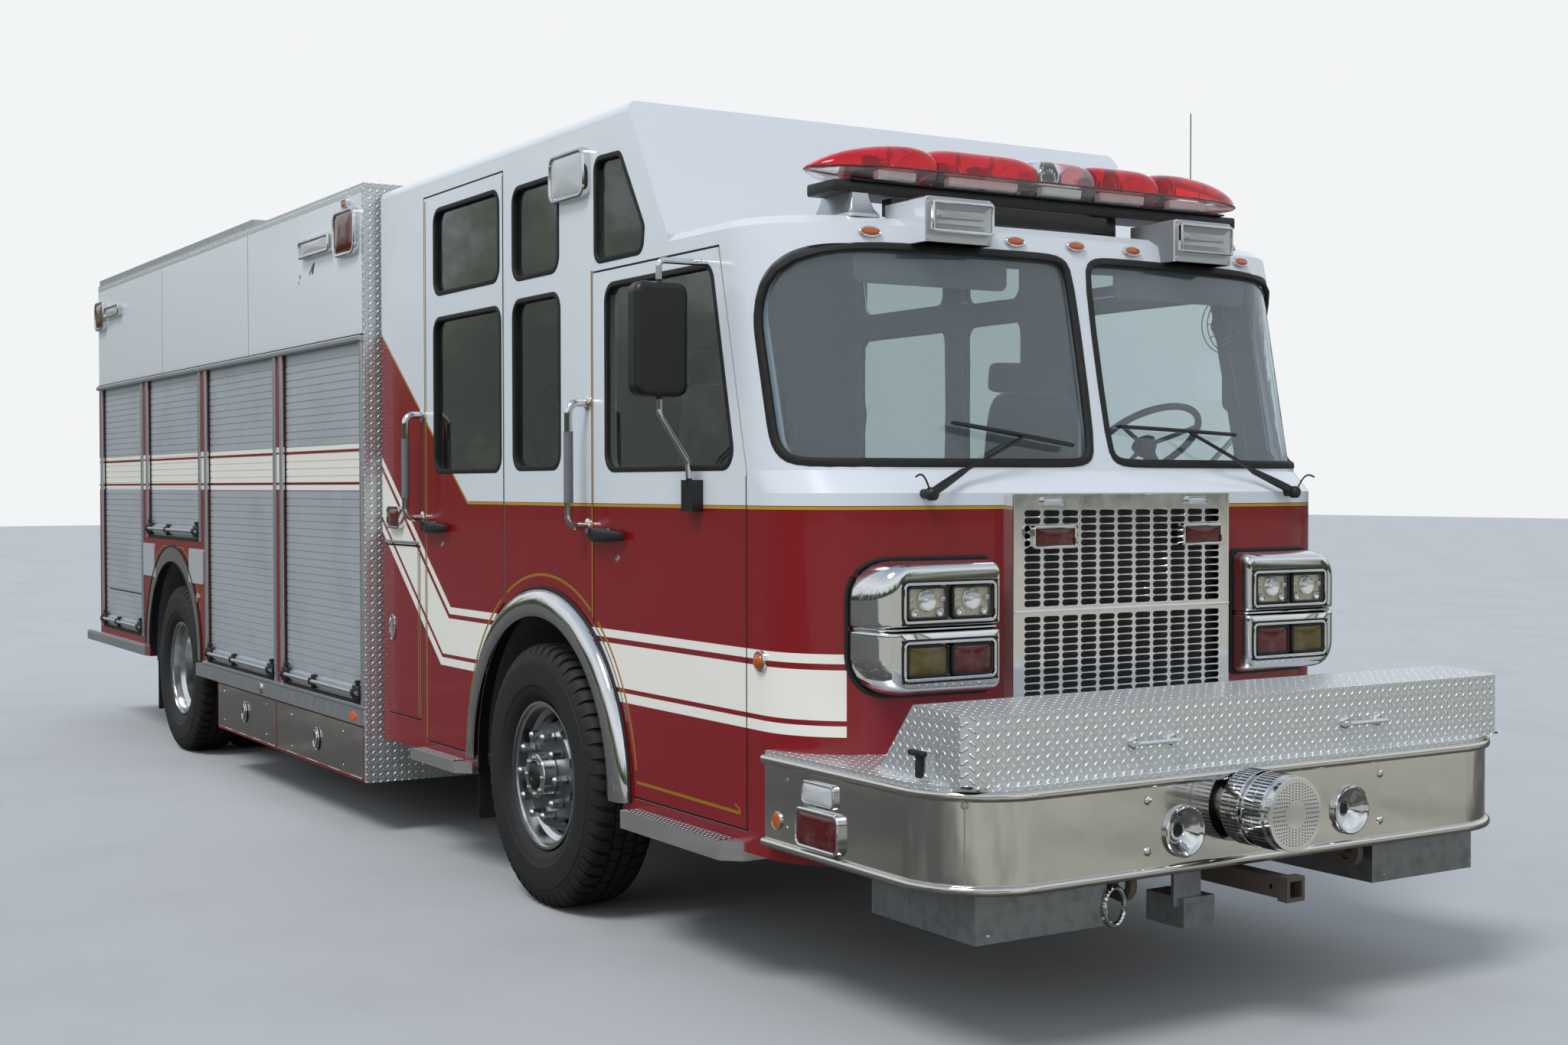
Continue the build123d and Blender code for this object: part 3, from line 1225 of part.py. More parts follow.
# Roller doors: rear edge, front edge, bottom
shutter_doors = [
    (body_front - 1303, body_front - 47, 645),
    (782 - wheelbase, body_front - 1457, 645),
    (-677 - wheelbase, 608 - wheelbase, 1385),
    (-2028 - wheelbase, -856 - wheelbase, 700),
]
rear_door = {"half": 820, "z0": 900, "z1": 2800}
low_hinge_z = low_bottom + 13
low_door_gap = 10
lower_doors = [(divider + low_door_gap / 2 + 4, body_front - 16), (low_back + 16, divider - low_door_gap / 2 - 4)]
low_door_top = rail_z[0] - 14
low_door_thick = 30

with BuildPart() as body_sides:
    for side in (right, left):
        with BuildSketch(inwards(side, body_half, wall)):
            Polygon((at(front_inside) - seat_gap, low_bottom), (at(front_inside) - seat_gap, body_top),
                    (at(body_back), body_top), (at(body_back), rear_bottom),
                    (rear + rear_arch["x"] - rear_arch["r"], rear_bottom),
                    (rear + rear_arch["x"] + rear_arch["r"], rail_z[0]), (at(low_back), rail_z[0]),
                    (at(low_back), low_bottom), align=None)
            with Locations((rear + rear_arch["x"], rear_arch["z"])):
                Circle(rear_arch["r"], mode=Mode.SUBTRACT)
            with Locations((rear + rear_arch["x"], rear_arch["z"] - 200)):
                Rectangle(2 * rear_arch["r"], 400, mode=Mode.SUBTRACT)
            for x0, x1, z0 in shutter_doors:
                with Locations((at((x0 + x1) / 2), (z0 + shutter_top) / 2)):
                    Rectangle(x1 - x0, shutter_top - z0, mode=Mode.SUBTRACT)
            for x0, x1 in lower_doors:
                x1 = min(x1, front_inside - 16)
                with Locations((at((x0 + x1) / 2), (low_hinge_z - 4 + low_door_top + 4) / 2)):
                    Rectangle(x1 - x0 + 8, low_door_top - low_hinge_z + 8, mode=Mode.SUBTRACT)
        extrude(amount=wall)
        for x0, x1 in lower_doors:
            x1 = min(x1, front_inside - 16)
            lying_hinge(side * body_half, low_hinge_z, at(x0) + 10, at(x1) - 10, 0, -side * leaf, -6)
write(body_sides, "body_sides")

with BuildPart() as body_ends:
    block(at(body_front), at(front_inside), -body_half, body_half, low_bottom, roof_edge)
    block(at(body_front) + 1, at(front_inside) - 1, -frame_notch, frame_notch, low_bottom - 1,
          rail_top + notch_over, mode=Mode.SUBTRACT)
    inner_body = body_half - wall - seat_gap
    block(at(body_back), at(body_back) + wall, -inner_body, inner_body, rear_bottom, body_top)
    block(at(body_back) - 10, at(body_back) + wall + 10, -rear_door["half"], rear_door["half"], rear_door["z0"],
          rear_door["z1"], mode=Mode.SUBTRACT)
write(body_ends, "body_ends")

with BuildPart() as body_roof:
    block(at(body_back), at(front_inside) - seat_gap, -body_half, body_half, body_top + seat_gap, roof_edge)
write(body_roof, "body_roof")

floor_z = rail_top + seat_gap
side_in = 560
housing_in = 596
floor_x = (at(body_back) + wall + seat_gap, at(front_inside) - seat_gap)
with BuildPart() as body_floor:
    block(*floor_x, -inner_body, inner_body, floor_z, floor_z + 40)
    for side in (right, left):
        for x0, x1, low in ((at(low_back), floor_x[1], rail_z[0] + 12),
                            (floor_x[0], rear + rear_arch["x"] - rear_arch["r"] - 20, rear_bottom + 12)):
            block(x0, x1, side * side_in, side * (side_in + sheet), low, floor_z + 1)
            block(x0, x1, side * side_in, side * inner_body, low, low + sheet)
            block(x0, x1, side * (side_in + sheet), side * (inner_body + 1), low + sheet, floor_z + 50,
                  mode=Mode.SUBTRACT)
        for grow, mode, inner in ((sheet, Mode.ADD, housing_in), (0, Mode.SUBTRACT, housing_in + sheet)):
            reach = inner_body - inner + (1 if grow == 0 else 0)
            with BuildSketch(inwards(side, inner_body + (1 if grow == 0 else 0), reach)) as shell:
                with Locations((rear + rear_arch["x"], rear_arch["z"])):
                    Circle(rear_arch["r"] + grow)
                with Locations((rear + rear_arch["x"], rear_arch["z"] - 50)):
                    Rectangle(2 * (rear_arch["r"] + grow), 100)
                with Locations((rear + rear_arch["x"], rear_arch["z"] - 500)):
                    Rectangle(1600, 800, mode=Mode.SUBTRACT)
            extrude(amount=reach, mode=mode)
        block(rear - axle_notch[0], rear + axle_notch[0], side * (housing_in - 5), side * (housing_in + 20),
              axle_z - 50, axle_z + axle_notch[1], mode=Mode.SUBTRACT)
        for x0, x1 in lower_doors:
            x1 = min(x1, front_inside - 16)
            outer = (at(x0) - 8, at(x1) + 8)
            block(*outer, side * 620, side * inner_body, low_bottom, rail_z[0] + 12)
            block(outer[0] + sheet, outer[1] - sheet, side * (620 + sheet), side * (inner_body + 1),
                  low_bottom + sheet, rail_z[0] - 2, mode=Mode.SUBTRACT)
write(body_floor, "body_floor")

with BuildPart() as mud_flaps:
    for side in (right, left):
        block(at(step_places[1][1]) + seat_gap, at(step_places[1][1]) + 9, side * 1000, side * 1180, 250, 478)
        flap_x = rear + rear_arch["x"] - rear_arch["r"] - sheet - seat_gap
        block(flap_x - 9, flap_x, side * 640, side * 1210, 200, rear_bottom + sheet - seat_gap)
write(mud_flaps, "mud_flaps")

for side, tag in sides:
    for end, (x0, x1) in zip(("front", "back"), (lower_doors[0], lower_doors[1])):
        x1 = min(x1, front_inside - 16)
        with BuildPart() as lower_door:
            block(at(x0), at(x1), side * body_half, side * (body_half - low_door_thick), low_hinge_z + 4, low_door_top)
            lying_hinge(side * body_half, low_hinge_z, at(x0) + 10, at(x1) - 10, 1, -side * leaf, 6)
        write(lower_door, f"lower_door_{end}_{tag}")

# Roller shutters, closed, with their lift bars
shutter_in = 18
shutter_thick = 12
lift_bar = (20, 46)
slat_pitch = 40
slat_groove = (4, 7)  # depth and height


def slatted(side, x0, x1, z0):
    """A closed roller shutter: a curtain with a groove at each joint between slats."""
    face = side * (body_half - shutter_in)
    back = face - side * shutter_thick
    groove = face - side * slat_groove[0]
    top = shutter_top - seat_gap
    count = int((top - z0) / slat_pitch)
    points = [(back, top), (back, z0 + seat_gap), (face, z0 + seat_gap)]
    for n in range(1, count):
        z = z0 + n * slat_pitch
        points += [(face, z), (groove, z + 1), (groove, z + slat_groove[1] - 1), (face, z + slat_groove[1])]
    with BuildSketch(front_view(at(x0) + seat_gap)) as section:
        Polygon(*points, (face, top), align=None)
    extrude(section.sketch, amount=x1 - x0 - 2 * seat_gap)


with BuildPart() as shutters:
    for side in (right, left):
        for x0, x1, z0 in shutter_doors:
            y = body_half - shutter_in
            slatted(side, x0, x1, z0)
            block(at(x0) + 30, at(x1) - 30, side * y, side * (y + lift_bar[0]), z0 + 24, z0 + 24 + lift_bar[1])
    block(at(body_back) + 20, at(body_back) + 32, -rear_door["half"] + seat_gap, rear_door["half"] - seat_gap,
          rear_door["z0"] + seat_gap, rear_door["z1"] - seat_gap)
write(shutters, "shutters")

# Rub rails, tailboard and roof rails
rub_out = 18
board_rail = 60
with BuildPart() as body_rails:
    for side in (right, left):
        block(rear + rear_arch["x"] + rear_arch["r"] + 10, at(front_inside), side * (body_half + seat_gap),
              side * (body_half + rub_out), *rail_z)
        block(at(body_back), rear + rear_arch["x"] - rear_arch["r"] - 70, side * (body_half + seat_gap),
              side * (body_half + rub_out), rear_bottom, rear_bottom + board_rail)
        block(at(-7660), at(-3786), side * 1170, side * 1262, roof_edge + seat_gap, 3240)
    block(rear - tail_reach, at(body_back) - seat_gap, -(body_half + rub_out), body_half + rub_out, rear_bottom,
          rear_bottom + board_rail)
write(body_rails, "body_rails")
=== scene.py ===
# %% [markdown]
# # Heavy rescue truck
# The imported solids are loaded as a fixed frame. This script gives them paint, metal, rubber and glass, and adds
# the thin pieces that solids of whole walls don't show: tyre tread, seals, lenses, tracks, latches and seams.

import json

import bmesh
import bpy
import numpy as np
from mathutils import Matrix, Vector


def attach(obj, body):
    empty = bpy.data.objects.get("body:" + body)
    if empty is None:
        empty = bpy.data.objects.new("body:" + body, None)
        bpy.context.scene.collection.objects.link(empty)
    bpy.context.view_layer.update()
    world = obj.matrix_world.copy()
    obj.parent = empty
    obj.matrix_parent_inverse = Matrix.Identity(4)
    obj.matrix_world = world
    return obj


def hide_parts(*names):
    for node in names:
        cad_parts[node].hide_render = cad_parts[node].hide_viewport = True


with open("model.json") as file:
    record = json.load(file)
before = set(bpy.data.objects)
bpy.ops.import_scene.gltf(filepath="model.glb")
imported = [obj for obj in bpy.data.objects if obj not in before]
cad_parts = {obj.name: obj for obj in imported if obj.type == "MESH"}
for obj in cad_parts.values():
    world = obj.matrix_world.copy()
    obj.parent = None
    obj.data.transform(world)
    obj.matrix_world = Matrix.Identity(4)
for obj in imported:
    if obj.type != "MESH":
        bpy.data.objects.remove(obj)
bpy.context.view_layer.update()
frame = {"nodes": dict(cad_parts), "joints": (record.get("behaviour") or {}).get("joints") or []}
joints = {joint["name"]: joint for joint in frame["joints"]}

# %% [markdown]
# ## Places
# Everything is placed from the axles, and the frame's joints say where those are. The half widths are those of
# the walls of the cab and of the body, of the bumper and of the rub rails.

# %% Places taken from the frame
front_axle = joints["roll_front_r"]["pos_m"][0]
rear_axle = joints["roll_rear_r"]["pos_m"][0]
axle_height = joints["roll_front_r"]["pos_m"][2]
cab_half = 1.196
body_half = 1.270
bumper_half = 1.220
rail_half = 1.288
body_back = front_axle - 7.672
sides = (("r", -1.0), ("l", 1.0))
print("axles at", round(front_axle, 4), round(rear_axle, 4))

# %% [markdown]
# ## Materials
# A material is a small tree of shader nodes. One function adds a node, sets it and links it, and another turns
# the hex colours that people write into the linear numbers that light is worked out in.

# %% Colour and node helpers
def colour(hex_code, alpha=1.0):
    """Linear RGBA of an sRGB hex. A channel up to 0.04045 is divided by 12.92. A greater one has 0.055 added, is
    divided by 1.055 and is raised to the power of 2.4."""
    channels = np.array([int(hex_code[i:i + 2], 16) / 255 for i in (1, 3, 5)])
    linear = np.where(channels <= 0.04045, channels / 12.92, ((channels + 0.055) / 1.055) ** 2.4)
    return (*linear.tolist(), alpha)

def add_node(tree, kind, inputs=(), out=0, **settings):
    """Adds a node, sets it, links the inputs that are sockets, fills the others, and returns an output."""
    made = tree.nodes.new("ShaderNode" + kind)
    for name, value in settings.items():
        setattr(made, name, value)
    for key, value in inputs.items() if isinstance(inputs, dict) else enumerate(inputs):
        if isinstance(value, bpy.types.NodeSocket):
            tree.links.new(value, made.inputs[key])
        elif value is not None:
            made.inputs[key].default_value = value
    return made.outputs[out]

def surface_of(material):
    """A material's node tree and its Principled shader."""
    return material.node_tree, material.node_tree.nodes["Principled BSDF"]

def new_material(name, **surface):
    """A material with one Principled shader, whose inputs are given by name with underscores for spaces."""
    made = bpy.data.materials.new(name)
    made.use_nodes = True
    tree, shader = surface_of(made)
    for key, value in surface.items():
        shader.inputs[key.replace("_", " ").title().replace("Ior", "IOR")].default_value = value
    return made, tree, shader

def place_of(tree):
    """The x, y and z of the shaded point on the truck, as every object stands at the origin."""
    parts = add_node(tree, "SeparateXYZ", [add_node(tree, "TexCoord", out=3)]).node.outputs
    return parts["X"], parts["Y"], parts["Z"]

def bands(tree, height, low, high, steps, first):
    """A ramp that gives a new colour at each stated height, with sharp edges between."""
    share = add_node(tree, "MapRange", [height, low, high, 0.0, 1.0])
    out = add_node(tree, "ValToRGB", [share])
    ramp = out.node.color_ramp
    ramp.interpolation = "CONSTANT"
    ramp.elements[0].color = first
    ramp.elements.remove(ramp.elements[1])
    for at, shade in steps:
        ramp.elements.new((at - low) / (high - low)).color = shade
    return out

def overlay(tree, shader, mask, **surface):
    """Where the mask is one, gives the shader's named inputs other values."""
    for key, value in surface.items():
        socket = shader.inputs[key.replace("_", " ").title()]
        under = socket.links[0].from_socket if socket.links else socket.default_value
        kind, first, out = ("RGBA", 6, 2) if socket.type == "RGBA" else ("FLOAT", 2, 0)
        mixed = add_node(tree, "Mix", {0: mask, first: under, first + 1: value}, out, data_type=kind)
        tree.links.new(mixed, socket)

def roughen(tree, shader, scale, low, high, detail=4.0):
    """Lets a fine noise vary the roughness between two values."""
    place = add_node(tree, "TexCoord", out=3)
    noise = add_node(tree, "TexNoise", {"Vector": place, "Scale": scale, "Detail": detail})
    tree.links.new(add_node(tree, "MapRange", [noise, 0.3, 0.7, low, high]), shader.inputs["Roughness"])

def mottle(tree, shader, scale, shade, most=0.5, low=0.48, high=0.72):
    """Lets a soft noise mix a second colour, such as dust or wear, into the first."""
    place = add_node(tree, "TexCoord", out=3)
    noise = add_node(tree, "TexNoise", {"Vector": place, "Scale": scale, "Detail": 5.0, "Roughness": 0.6})
    overlay(tree, shader, add_node(tree, "MapRange", [noise, low, high, 0.0, most]), base_color=colour(shade))

def grain(tree, shader, scale, height):
    """Raises a fine noise of the stated height."""
    place = add_node(tree, "TexCoord", out=3)
    noise = add_node(tree, "TexNoise", {"Vector": place, "Scale": scale, "Detail": 3.0})
    bump = add_node(tree, "Bump", {"Strength": 0.6, "Distance": height, "Height": noise})
    tree.links.new(bump, shader.inputs["Normal"])

print("mid grey in linear light:", [round(v, 3) for v in colour("#808080")])

# %% [markdown]
# ### Coach enamel
# The cab is sprayed white and crimson under clear coat. The colours part at a gold leaf line that rises behind
# the crew door. A colour ramp gives all colours that change with height, and where a stripe bends upwards the
# height is sheared back first. Fittings and linings belong to the walls' solids, so masks find them. The mask of
# the black fittings also blackens the hinge barrels at the shut lines, as painted shade of the gaps.

# %% Coach enamel for the cab
white = colour("#D6DADF")
crimson = colour("#7E1019")
cream = colour("#E9E6DC")
gold = colour("#B98A2E")
black_line = colour("#15120F")
belt = 1.641
gold_half, line_half = 0.0055, 0.0075
belt_rise_x = front_axle - 0.801
belt_rise = 0.757
stripe_kink_x = front_axle - 1.5236
stripe_lean = 0.446
stripe_rise = 0.79
stripe_end = front_axle + 2.005
# A height from which a stripe is on has a 1, and one from which it is off has a 0
stripe_steps = [(0.899, 1), (0.935, 0), (0.953, 1), (1.117, 0), (1.136, 1), (1.168, 0)]
cab_middle = (front_axle + 0.3, 0.0, 1.9)
housing_half, housing_top = 0.8, 1.30

def livery(name):
    """White over crimson with the gold line and the stripes. The belt goes by the height less its rise behind the
    bend. The stripes go by the lesser of the height and the height that is sheared back along their lean."""
    made, tree, shader = new_material(name, roughness=0.24, coat_weight=0.35, coat_roughness=0.04,
                                      specular_ior_level=0.4)
    x, y, z = place_of(tree)
    behind = add_node(tree, "Math", [belt_rise_x, x], operation="SUBTRACT")
    behind = add_node(tree, "Math", [behind, 0.0], operation="MAXIMUM")
    lift = add_node(tree, "Math", [behind, belt_rise], operation="MULTIPLY")
    level = add_node(tree, "Math", [z, lift], operation="SUBTRACT")
    belt_steps = [(belt - line_half, black_line), (belt - gold_half, gold), (belt + gold_half, black_line),
                  (belt + line_half, white)]
    base = bands(tree, level, belt - 0.02, belt + 0.02, belt_steps, crimson)
    run = add_node(tree, "Math", [x, stripe_kink_x], operation="SUBTRACT")
    climb = add_node(tree, "Math", [run, stripe_rise, z], operation="MULTIPLY_ADD")
    sheared = add_node(tree, "Math", [climb, 1 + stripe_lean * stripe_rise], operation="DIVIDE")
    height = add_node(tree, "Math", [z, sheared], operation="MINIMUM")
    lit_steps = [(at, (lit, lit, lit, 1)) for at, lit in stripe_steps]
    on = bands(tree, height, 0.85, 1.25, lit_steps, (0, 0, 0, 1))
    before_end = add_node(tree, "Math", [x, stripe_end], operation="LESS_THAN")
    on = add_node(tree, "Math", [on, before_end], operation="MULTIPLY")
    shade = add_node(tree, "Mix", {"Factor": on, 6: base, 7: cream}, out=2, data_type="RGBA")
    tree.links.new(shade, shader.inputs["Base Color"])
    across = add_node(tree, "Math", [y], operation="ABSOLUTE")
    # Black fittings that stand out from the wall, and painted shade at the shut lines: the hinge barrels' outer
    # part is blackened so that the gaps look dark.
    fittings_and_shut_line_shade = add_node(tree, "Math", [across, cab_half + 0.002], operation="GREATER_THAN")
    where = add_node(tree, "TexCoord", out=3)
    from_middle = add_node(tree, "VectorMath", [where, cab_middle], operation="SUBTRACT")
    normal = where.node.outputs["Normal"]
    facing = add_node(tree, "VectorMath", [normal, from_middle], 1, operation="DOT_PRODUCT")
    inside = add_node(tree, "Math", [facing, 0.0], operation="LESS_THAN")
    over_wheel = add_node(tree, "Math", [x, front_axle, housing_half], operation="COMPARE")
    for value, limit in ((z, housing_top), (across, cab_half - 0.004)):
        below = add_node(tree, "Math", [value, limit], operation="LESS_THAN")
        over_wheel = add_node(tree, "Math", [over_wheel, below], operation="MULTIPLY")
    for mask, dark, rough in ((fittings_and_shut_line_shade, "#171718", 0.4), (inside, "#7D8083", 0.6), (over_wheel, "#141415", 0.6)):
        overlay(tree, shader, mask, base_color=colour(dark), roughness=rough, coat_weight=0.0)
    return made

cab_enamel = livery("coach_enamel_sprayed")
print("cab paint has", len(cab_enamel.node_tree.nodes), "nodes")

# %% [markdown]
# ### Enamel of the body
# The body is crimson with a cream band, and white above the drip rail. Every line is level, so one ramp over the
# height does it all.

# %% Enamel for the body
drip_rail = 2.443
band_low, band_high = 1.697, 1.928
doors_middle, doors_half = front_axle - 4.795, 2.85
body_enamel, tree, shader = new_material("body_enamel_sprayed", roughness=0.26, coat_weight=0.35,
                                         coat_roughness=0.05, specular_ior_level=0.4)
x, y, z = place_of(tree)
band_steps = [(band_low, cream), (1.723, crimson), (1.736, cream), (1.889, crimson), (1.902, cream),
              (band_high, crimson)]
walls = bands(tree, z, 1.6, 2.5, [*band_steps, (drip_rail, white)], crimson)
tree.links.new(walls, shader.inputs["Base Color"])
across = add_node(tree, "Math", [y], operation="ABSOLUTE")
behind = add_node(tree, "Math", [across, body_half - 0.008], operation="LESS_THAN")
between = add_node(tree, "Math", [x, doors_middle, doors_half], operation="COMPARE")
behind = add_node(tree, "Math", [behind, between], operation="MULTIPLY")
overlay(tree, shader, behind, base_color=colour("#1B1B1C"), roughness=0.6, coat_weight=0.0)
print("body paint changes at", [at for at, _ in band_steps], "and", drip_rail)

# %% [markdown]
# ### Bright metals
# Stainless sheet is polished but still slightly wavy, cast and forged aluminium is softer, and chrome is a
# mirror. They differ in a few numbers alone, so one table makes them, and a fine noise keeps each from looking
# even.

# %% Stainless, chrome and aluminium
# Columns: name, colour, metallic, roughness, scale of the noise, its least and its most roughness
metals = {}
for name, shade, metal, rough, scale, least, most in (
        ("stainless_sheet_polished", "#CFCDC8", 1.0, 0.12, 6.0, 0.07, 0.17),
        ("stainless_mirror_polished", "#E4E3E0", 0.9, 0.12, 20.0, 0.08, 0.16),
        ("chrome_plate", "#D9DADB", 1.0, 0.06, 14.0, 0.04, 0.09),
        ("forged_aluminium_polished", "#D2D3D5", 1.0, 0.18, 18.0, 0.14, 0.26),
        ("anodised_aluminium_satin", "#BDC1C5", 0.9, 0.38, 40.0, 0.34, 0.46),
        ("weld_bead_brushed", "#C2C4C5", 1.0, 0.36, 300.0, 0.28, 0.46)):
    metals[name], tree, shader = new_material(name, base_color=colour(shade), metallic=metal, roughness=rough)
    roughen(tree, shader, scale, least, most)
stainless, mirror_sheet, chrome, forged, satin, weld_metal = metals.values()
grain(*surface_of(stainless), 3.5, 0.0020)
gold_leaf, tree, shader = new_material("gold_leaf", base_color=gold, metallic=0.55, roughness=0.34)
roughen(tree, shader, 60.0, 0.28, 0.42)
print("metals:", len(metals) + 1)

# %% [markdown]
# ### Satin disc of the wheels, darkened as painted shade
# The disc inside the wheel nuts is satin, and its colour is darkened as painted shade so that the nuts stand out.
# A rear point is first moved ahead by the wheelbase, so that one distance from the front axle serves all four
# wheels.

# %% Satin disc of the wheels, darkened as painted shade
disc_radius = 0.252
front_disc, rear_disc = 1.184, 0.958
tree, shader = surface_of(forged)
x, y, z = place_of(tree)
forwards = add_node(tree, "Math", [x, front_axle], operation="SUBTRACT")
upwards = add_node(tree, "Math", [z, axle_height], operation="SUBTRACT")
is_rear = add_node(tree, "Math", [forwards, -2.0], operation="LESS_THAN")
backed = add_node(tree, "Math", [is_rear, front_axle - rear_axle, forwards], operation="MULTIPLY_ADD")
squares = [add_node(tree, "Math", [part, 2.0], operation="POWER") for part in (backed, upwards)]
reach = add_node(tree, "Math", squares, operation="ADD")
near_middle = add_node(tree, "Math", [reach, disc_radius ** 2], operation="LESS_THAN")
disc_plane = add_node(tree, "Math", [is_rear, rear_disc - front_disc, front_disc], operation="MULTIPLY_ADD")
across = add_node(tree, "Math", [y], operation="ABSOLUTE")
shaded_disc = add_node(tree, "Math", [across, disc_plane], operation="LESS_THAN")
shaded_disc = add_node(tree, "Math", [shaded_disc, near_middle], operation="MULTIPLY")
# Painted shade: the disc between the nuts is darker than the bright forged metal, and satin as well.
overlay(tree, shader, shaded_disc, base_color=colour("#77797B"), roughness=0.45)
print("satin discs of", disc_radius, "m radius")

# %% [markdown]
# ### Arches, mirrors and shutters
# Some solids are of two finishes: polished arches with brushed plates, chrome arms with black mirror heads, and
# satin shutters with a painted band. The place of a point says which finish it has.

# %% Arches with brushed plates, chrome mirrors with black heads, and shutters with the painted band
rear_arch_x = rear_axle - 0.068
arch_steel = stainless.copy()
arch_steel.name = "arch_stainless_and_plates"
tree, shader = surface_of(arch_steel)
x, y, z = place_of(tree)
near = add_node(tree, "Math", [x, rear_arch_x, 0.42], operation="COMPARE")
plates = add_node(tree, "Math", [z, 1.11], operation="GREATER_THAN")
plates = add_node(tree, "Math", [plates, near], operation="SUBTRACT")
behind = add_node(tree, "Math", [x, front_axle - 3.0], operation="LESS_THAN")
plates = add_node(tree, "Math", [plates, behind], operation="MINIMUM")
plates = add_node(tree, "Math", [plates, 0.0], operation="MAXIMUM")
overlay(tree, shader, plates, base_color=colour("#C6CACD"), metallic=0.5, roughness=0.45)
mirror_chrome, tree, shader = new_material("mirror_chrome_and_plastic", base_color=colour("#D9DADB"),
                                           metallic=1.0, roughness=0.08)
x, y, z = place_of(tree)
across = add_node(tree, "Math", [y], operation="ABSOLUTE")
# Columns: bottom, top and least half width of what is black plastic, for the heads and for the lower feet
for low, high, least in ((2.010, 2.420, 1.27), (1.620, 1.740, 1.19)):
    level = add_node(tree, "Math", [z, (low + high) / 2, (high - low) / 2], operation="COMPARE")
    beyond = add_node(tree, "Math", [across, least], operation="GREATER_THAN")
    mask = add_node(tree, "Math", [level, beyond], operation="MULTIPLY")
    overlay(tree, shader, mask, base_color=colour("#151516"), metallic=0.0, roughness=0.38)
shutter_satin, tree, shader = new_material("shutter_slats_satin", base_color=colour("#C3C9CE"), metallic=0.55,
                                           roughness=0.45)
mottle(tree, shader, 2.2, "#AEB5BB", 0.6)
x, y, z = place_of(tree)
band_middle, band_half = (band_low + band_high) / 2, (band_high - band_low) / 2
painted = add_node(tree, "Math", [z, band_middle, band_half], operation="COMPARE")
band = bands(tree, z, 1.6, 2.0, band_steps, cream)
overlay(tree, shader, painted, base_color=band, metallic=0.0, roughness=0.3)
print("two finishes each:", arch_steel.name, mirror_chrome.name, shutter_satin.name)

# %% [markdown]
# ### Treadplate
# Bright aluminium floor plate is rolled with raised lozenges that lie by turns along two diagonals. The pattern
# is worked out from the two coordinates that lie in the surface, which the normal picks, and raises a bump.

# %% Treadplate
lozenge_pitch = 0.026
lozenge_long, lozenge_short = 0.46, 0.17
treadplate, tree, shader = new_material("treadplate_rolled", base_color=colour("#D6D9DB"), metallic=0.8,
                                        roughness=0.38)
x, y, z = place_of(tree)
normal = add_node(tree, "TexCoord").node.outputs["Normal"]
facing = add_node(tree, "SeparateXYZ", [normal]).node.outputs
faces = {}
for axis in "XZ":
    size = add_node(tree, "Math", [facing[axis]], operation="ABSOLUTE")
    faces[axis] = add_node(tree, "Math", [size, 0.7], operation="GREATER_THAN")
u = add_node(tree, "Mix", [faces["X"], None, x, y])
v = add_node(tree, "Mix", [faces["Z"], None, z, y])
cells, offsets = [], []
for operation in ("ADD", "SUBTRACT"):
    along = add_node(tree, "Math", [u, v], operation=operation)
    diagonal = add_node(tree, "Math", [along, 1 / (lozenge_pitch * 2 ** 0.5)], operation="MULTIPLY")
    cells.append(add_node(tree, "Math", [diagonal], operation="FLOOR"))
    part = add_node(tree, "Math", [diagonal], operation="FRACT")
    offsets.append(add_node(tree, "Math", [part, 0.5], operation="SUBTRACT"))
both = add_node(tree, "Math", cells, operation="ADD")
turn = add_node(tree, "Math", [both, 2.0], operation="MODULO")
turn = add_node(tree, "Math", [turn], operation="ABSOLUTE")
squares = []
for first, second, reach in ((*offsets, lozenge_long), (*offsets[::-1], lozenge_short)):
    offset = add_node(tree, "Mix", [turn, None, first, second])
    share = add_node(tree, "Math", [offset, 1 / reach], operation="MULTIPLY")
    squares.append(add_node(tree, "Math", [share, 2.0], operation="POWER"))
spread = add_node(tree, "Math", squares, operation="ADD")
lozenge = add_node(tree, "MapRange", [spread, 1.0, 0.35, 0.0, 1.0])
bump = add_node(tree, "Bump", {"Strength": 1.0, "Distance": 0.0030, "Height": lozenge})
overlay(tree, shader, lozenge, base_color=colour("#F2F3F3"), roughness=0.2)
tree.links.new(bump, shader.inputs["Normal"])
print("lozenges every", lozenge_pitch, "m")

# %% [markdown]
# ### Rubber, plastics and the dark parts below
# Moulded rubber and plastic are matt and never one even black. Ten such finishes differ in numbers alone, so a
# table makes them in one loop.

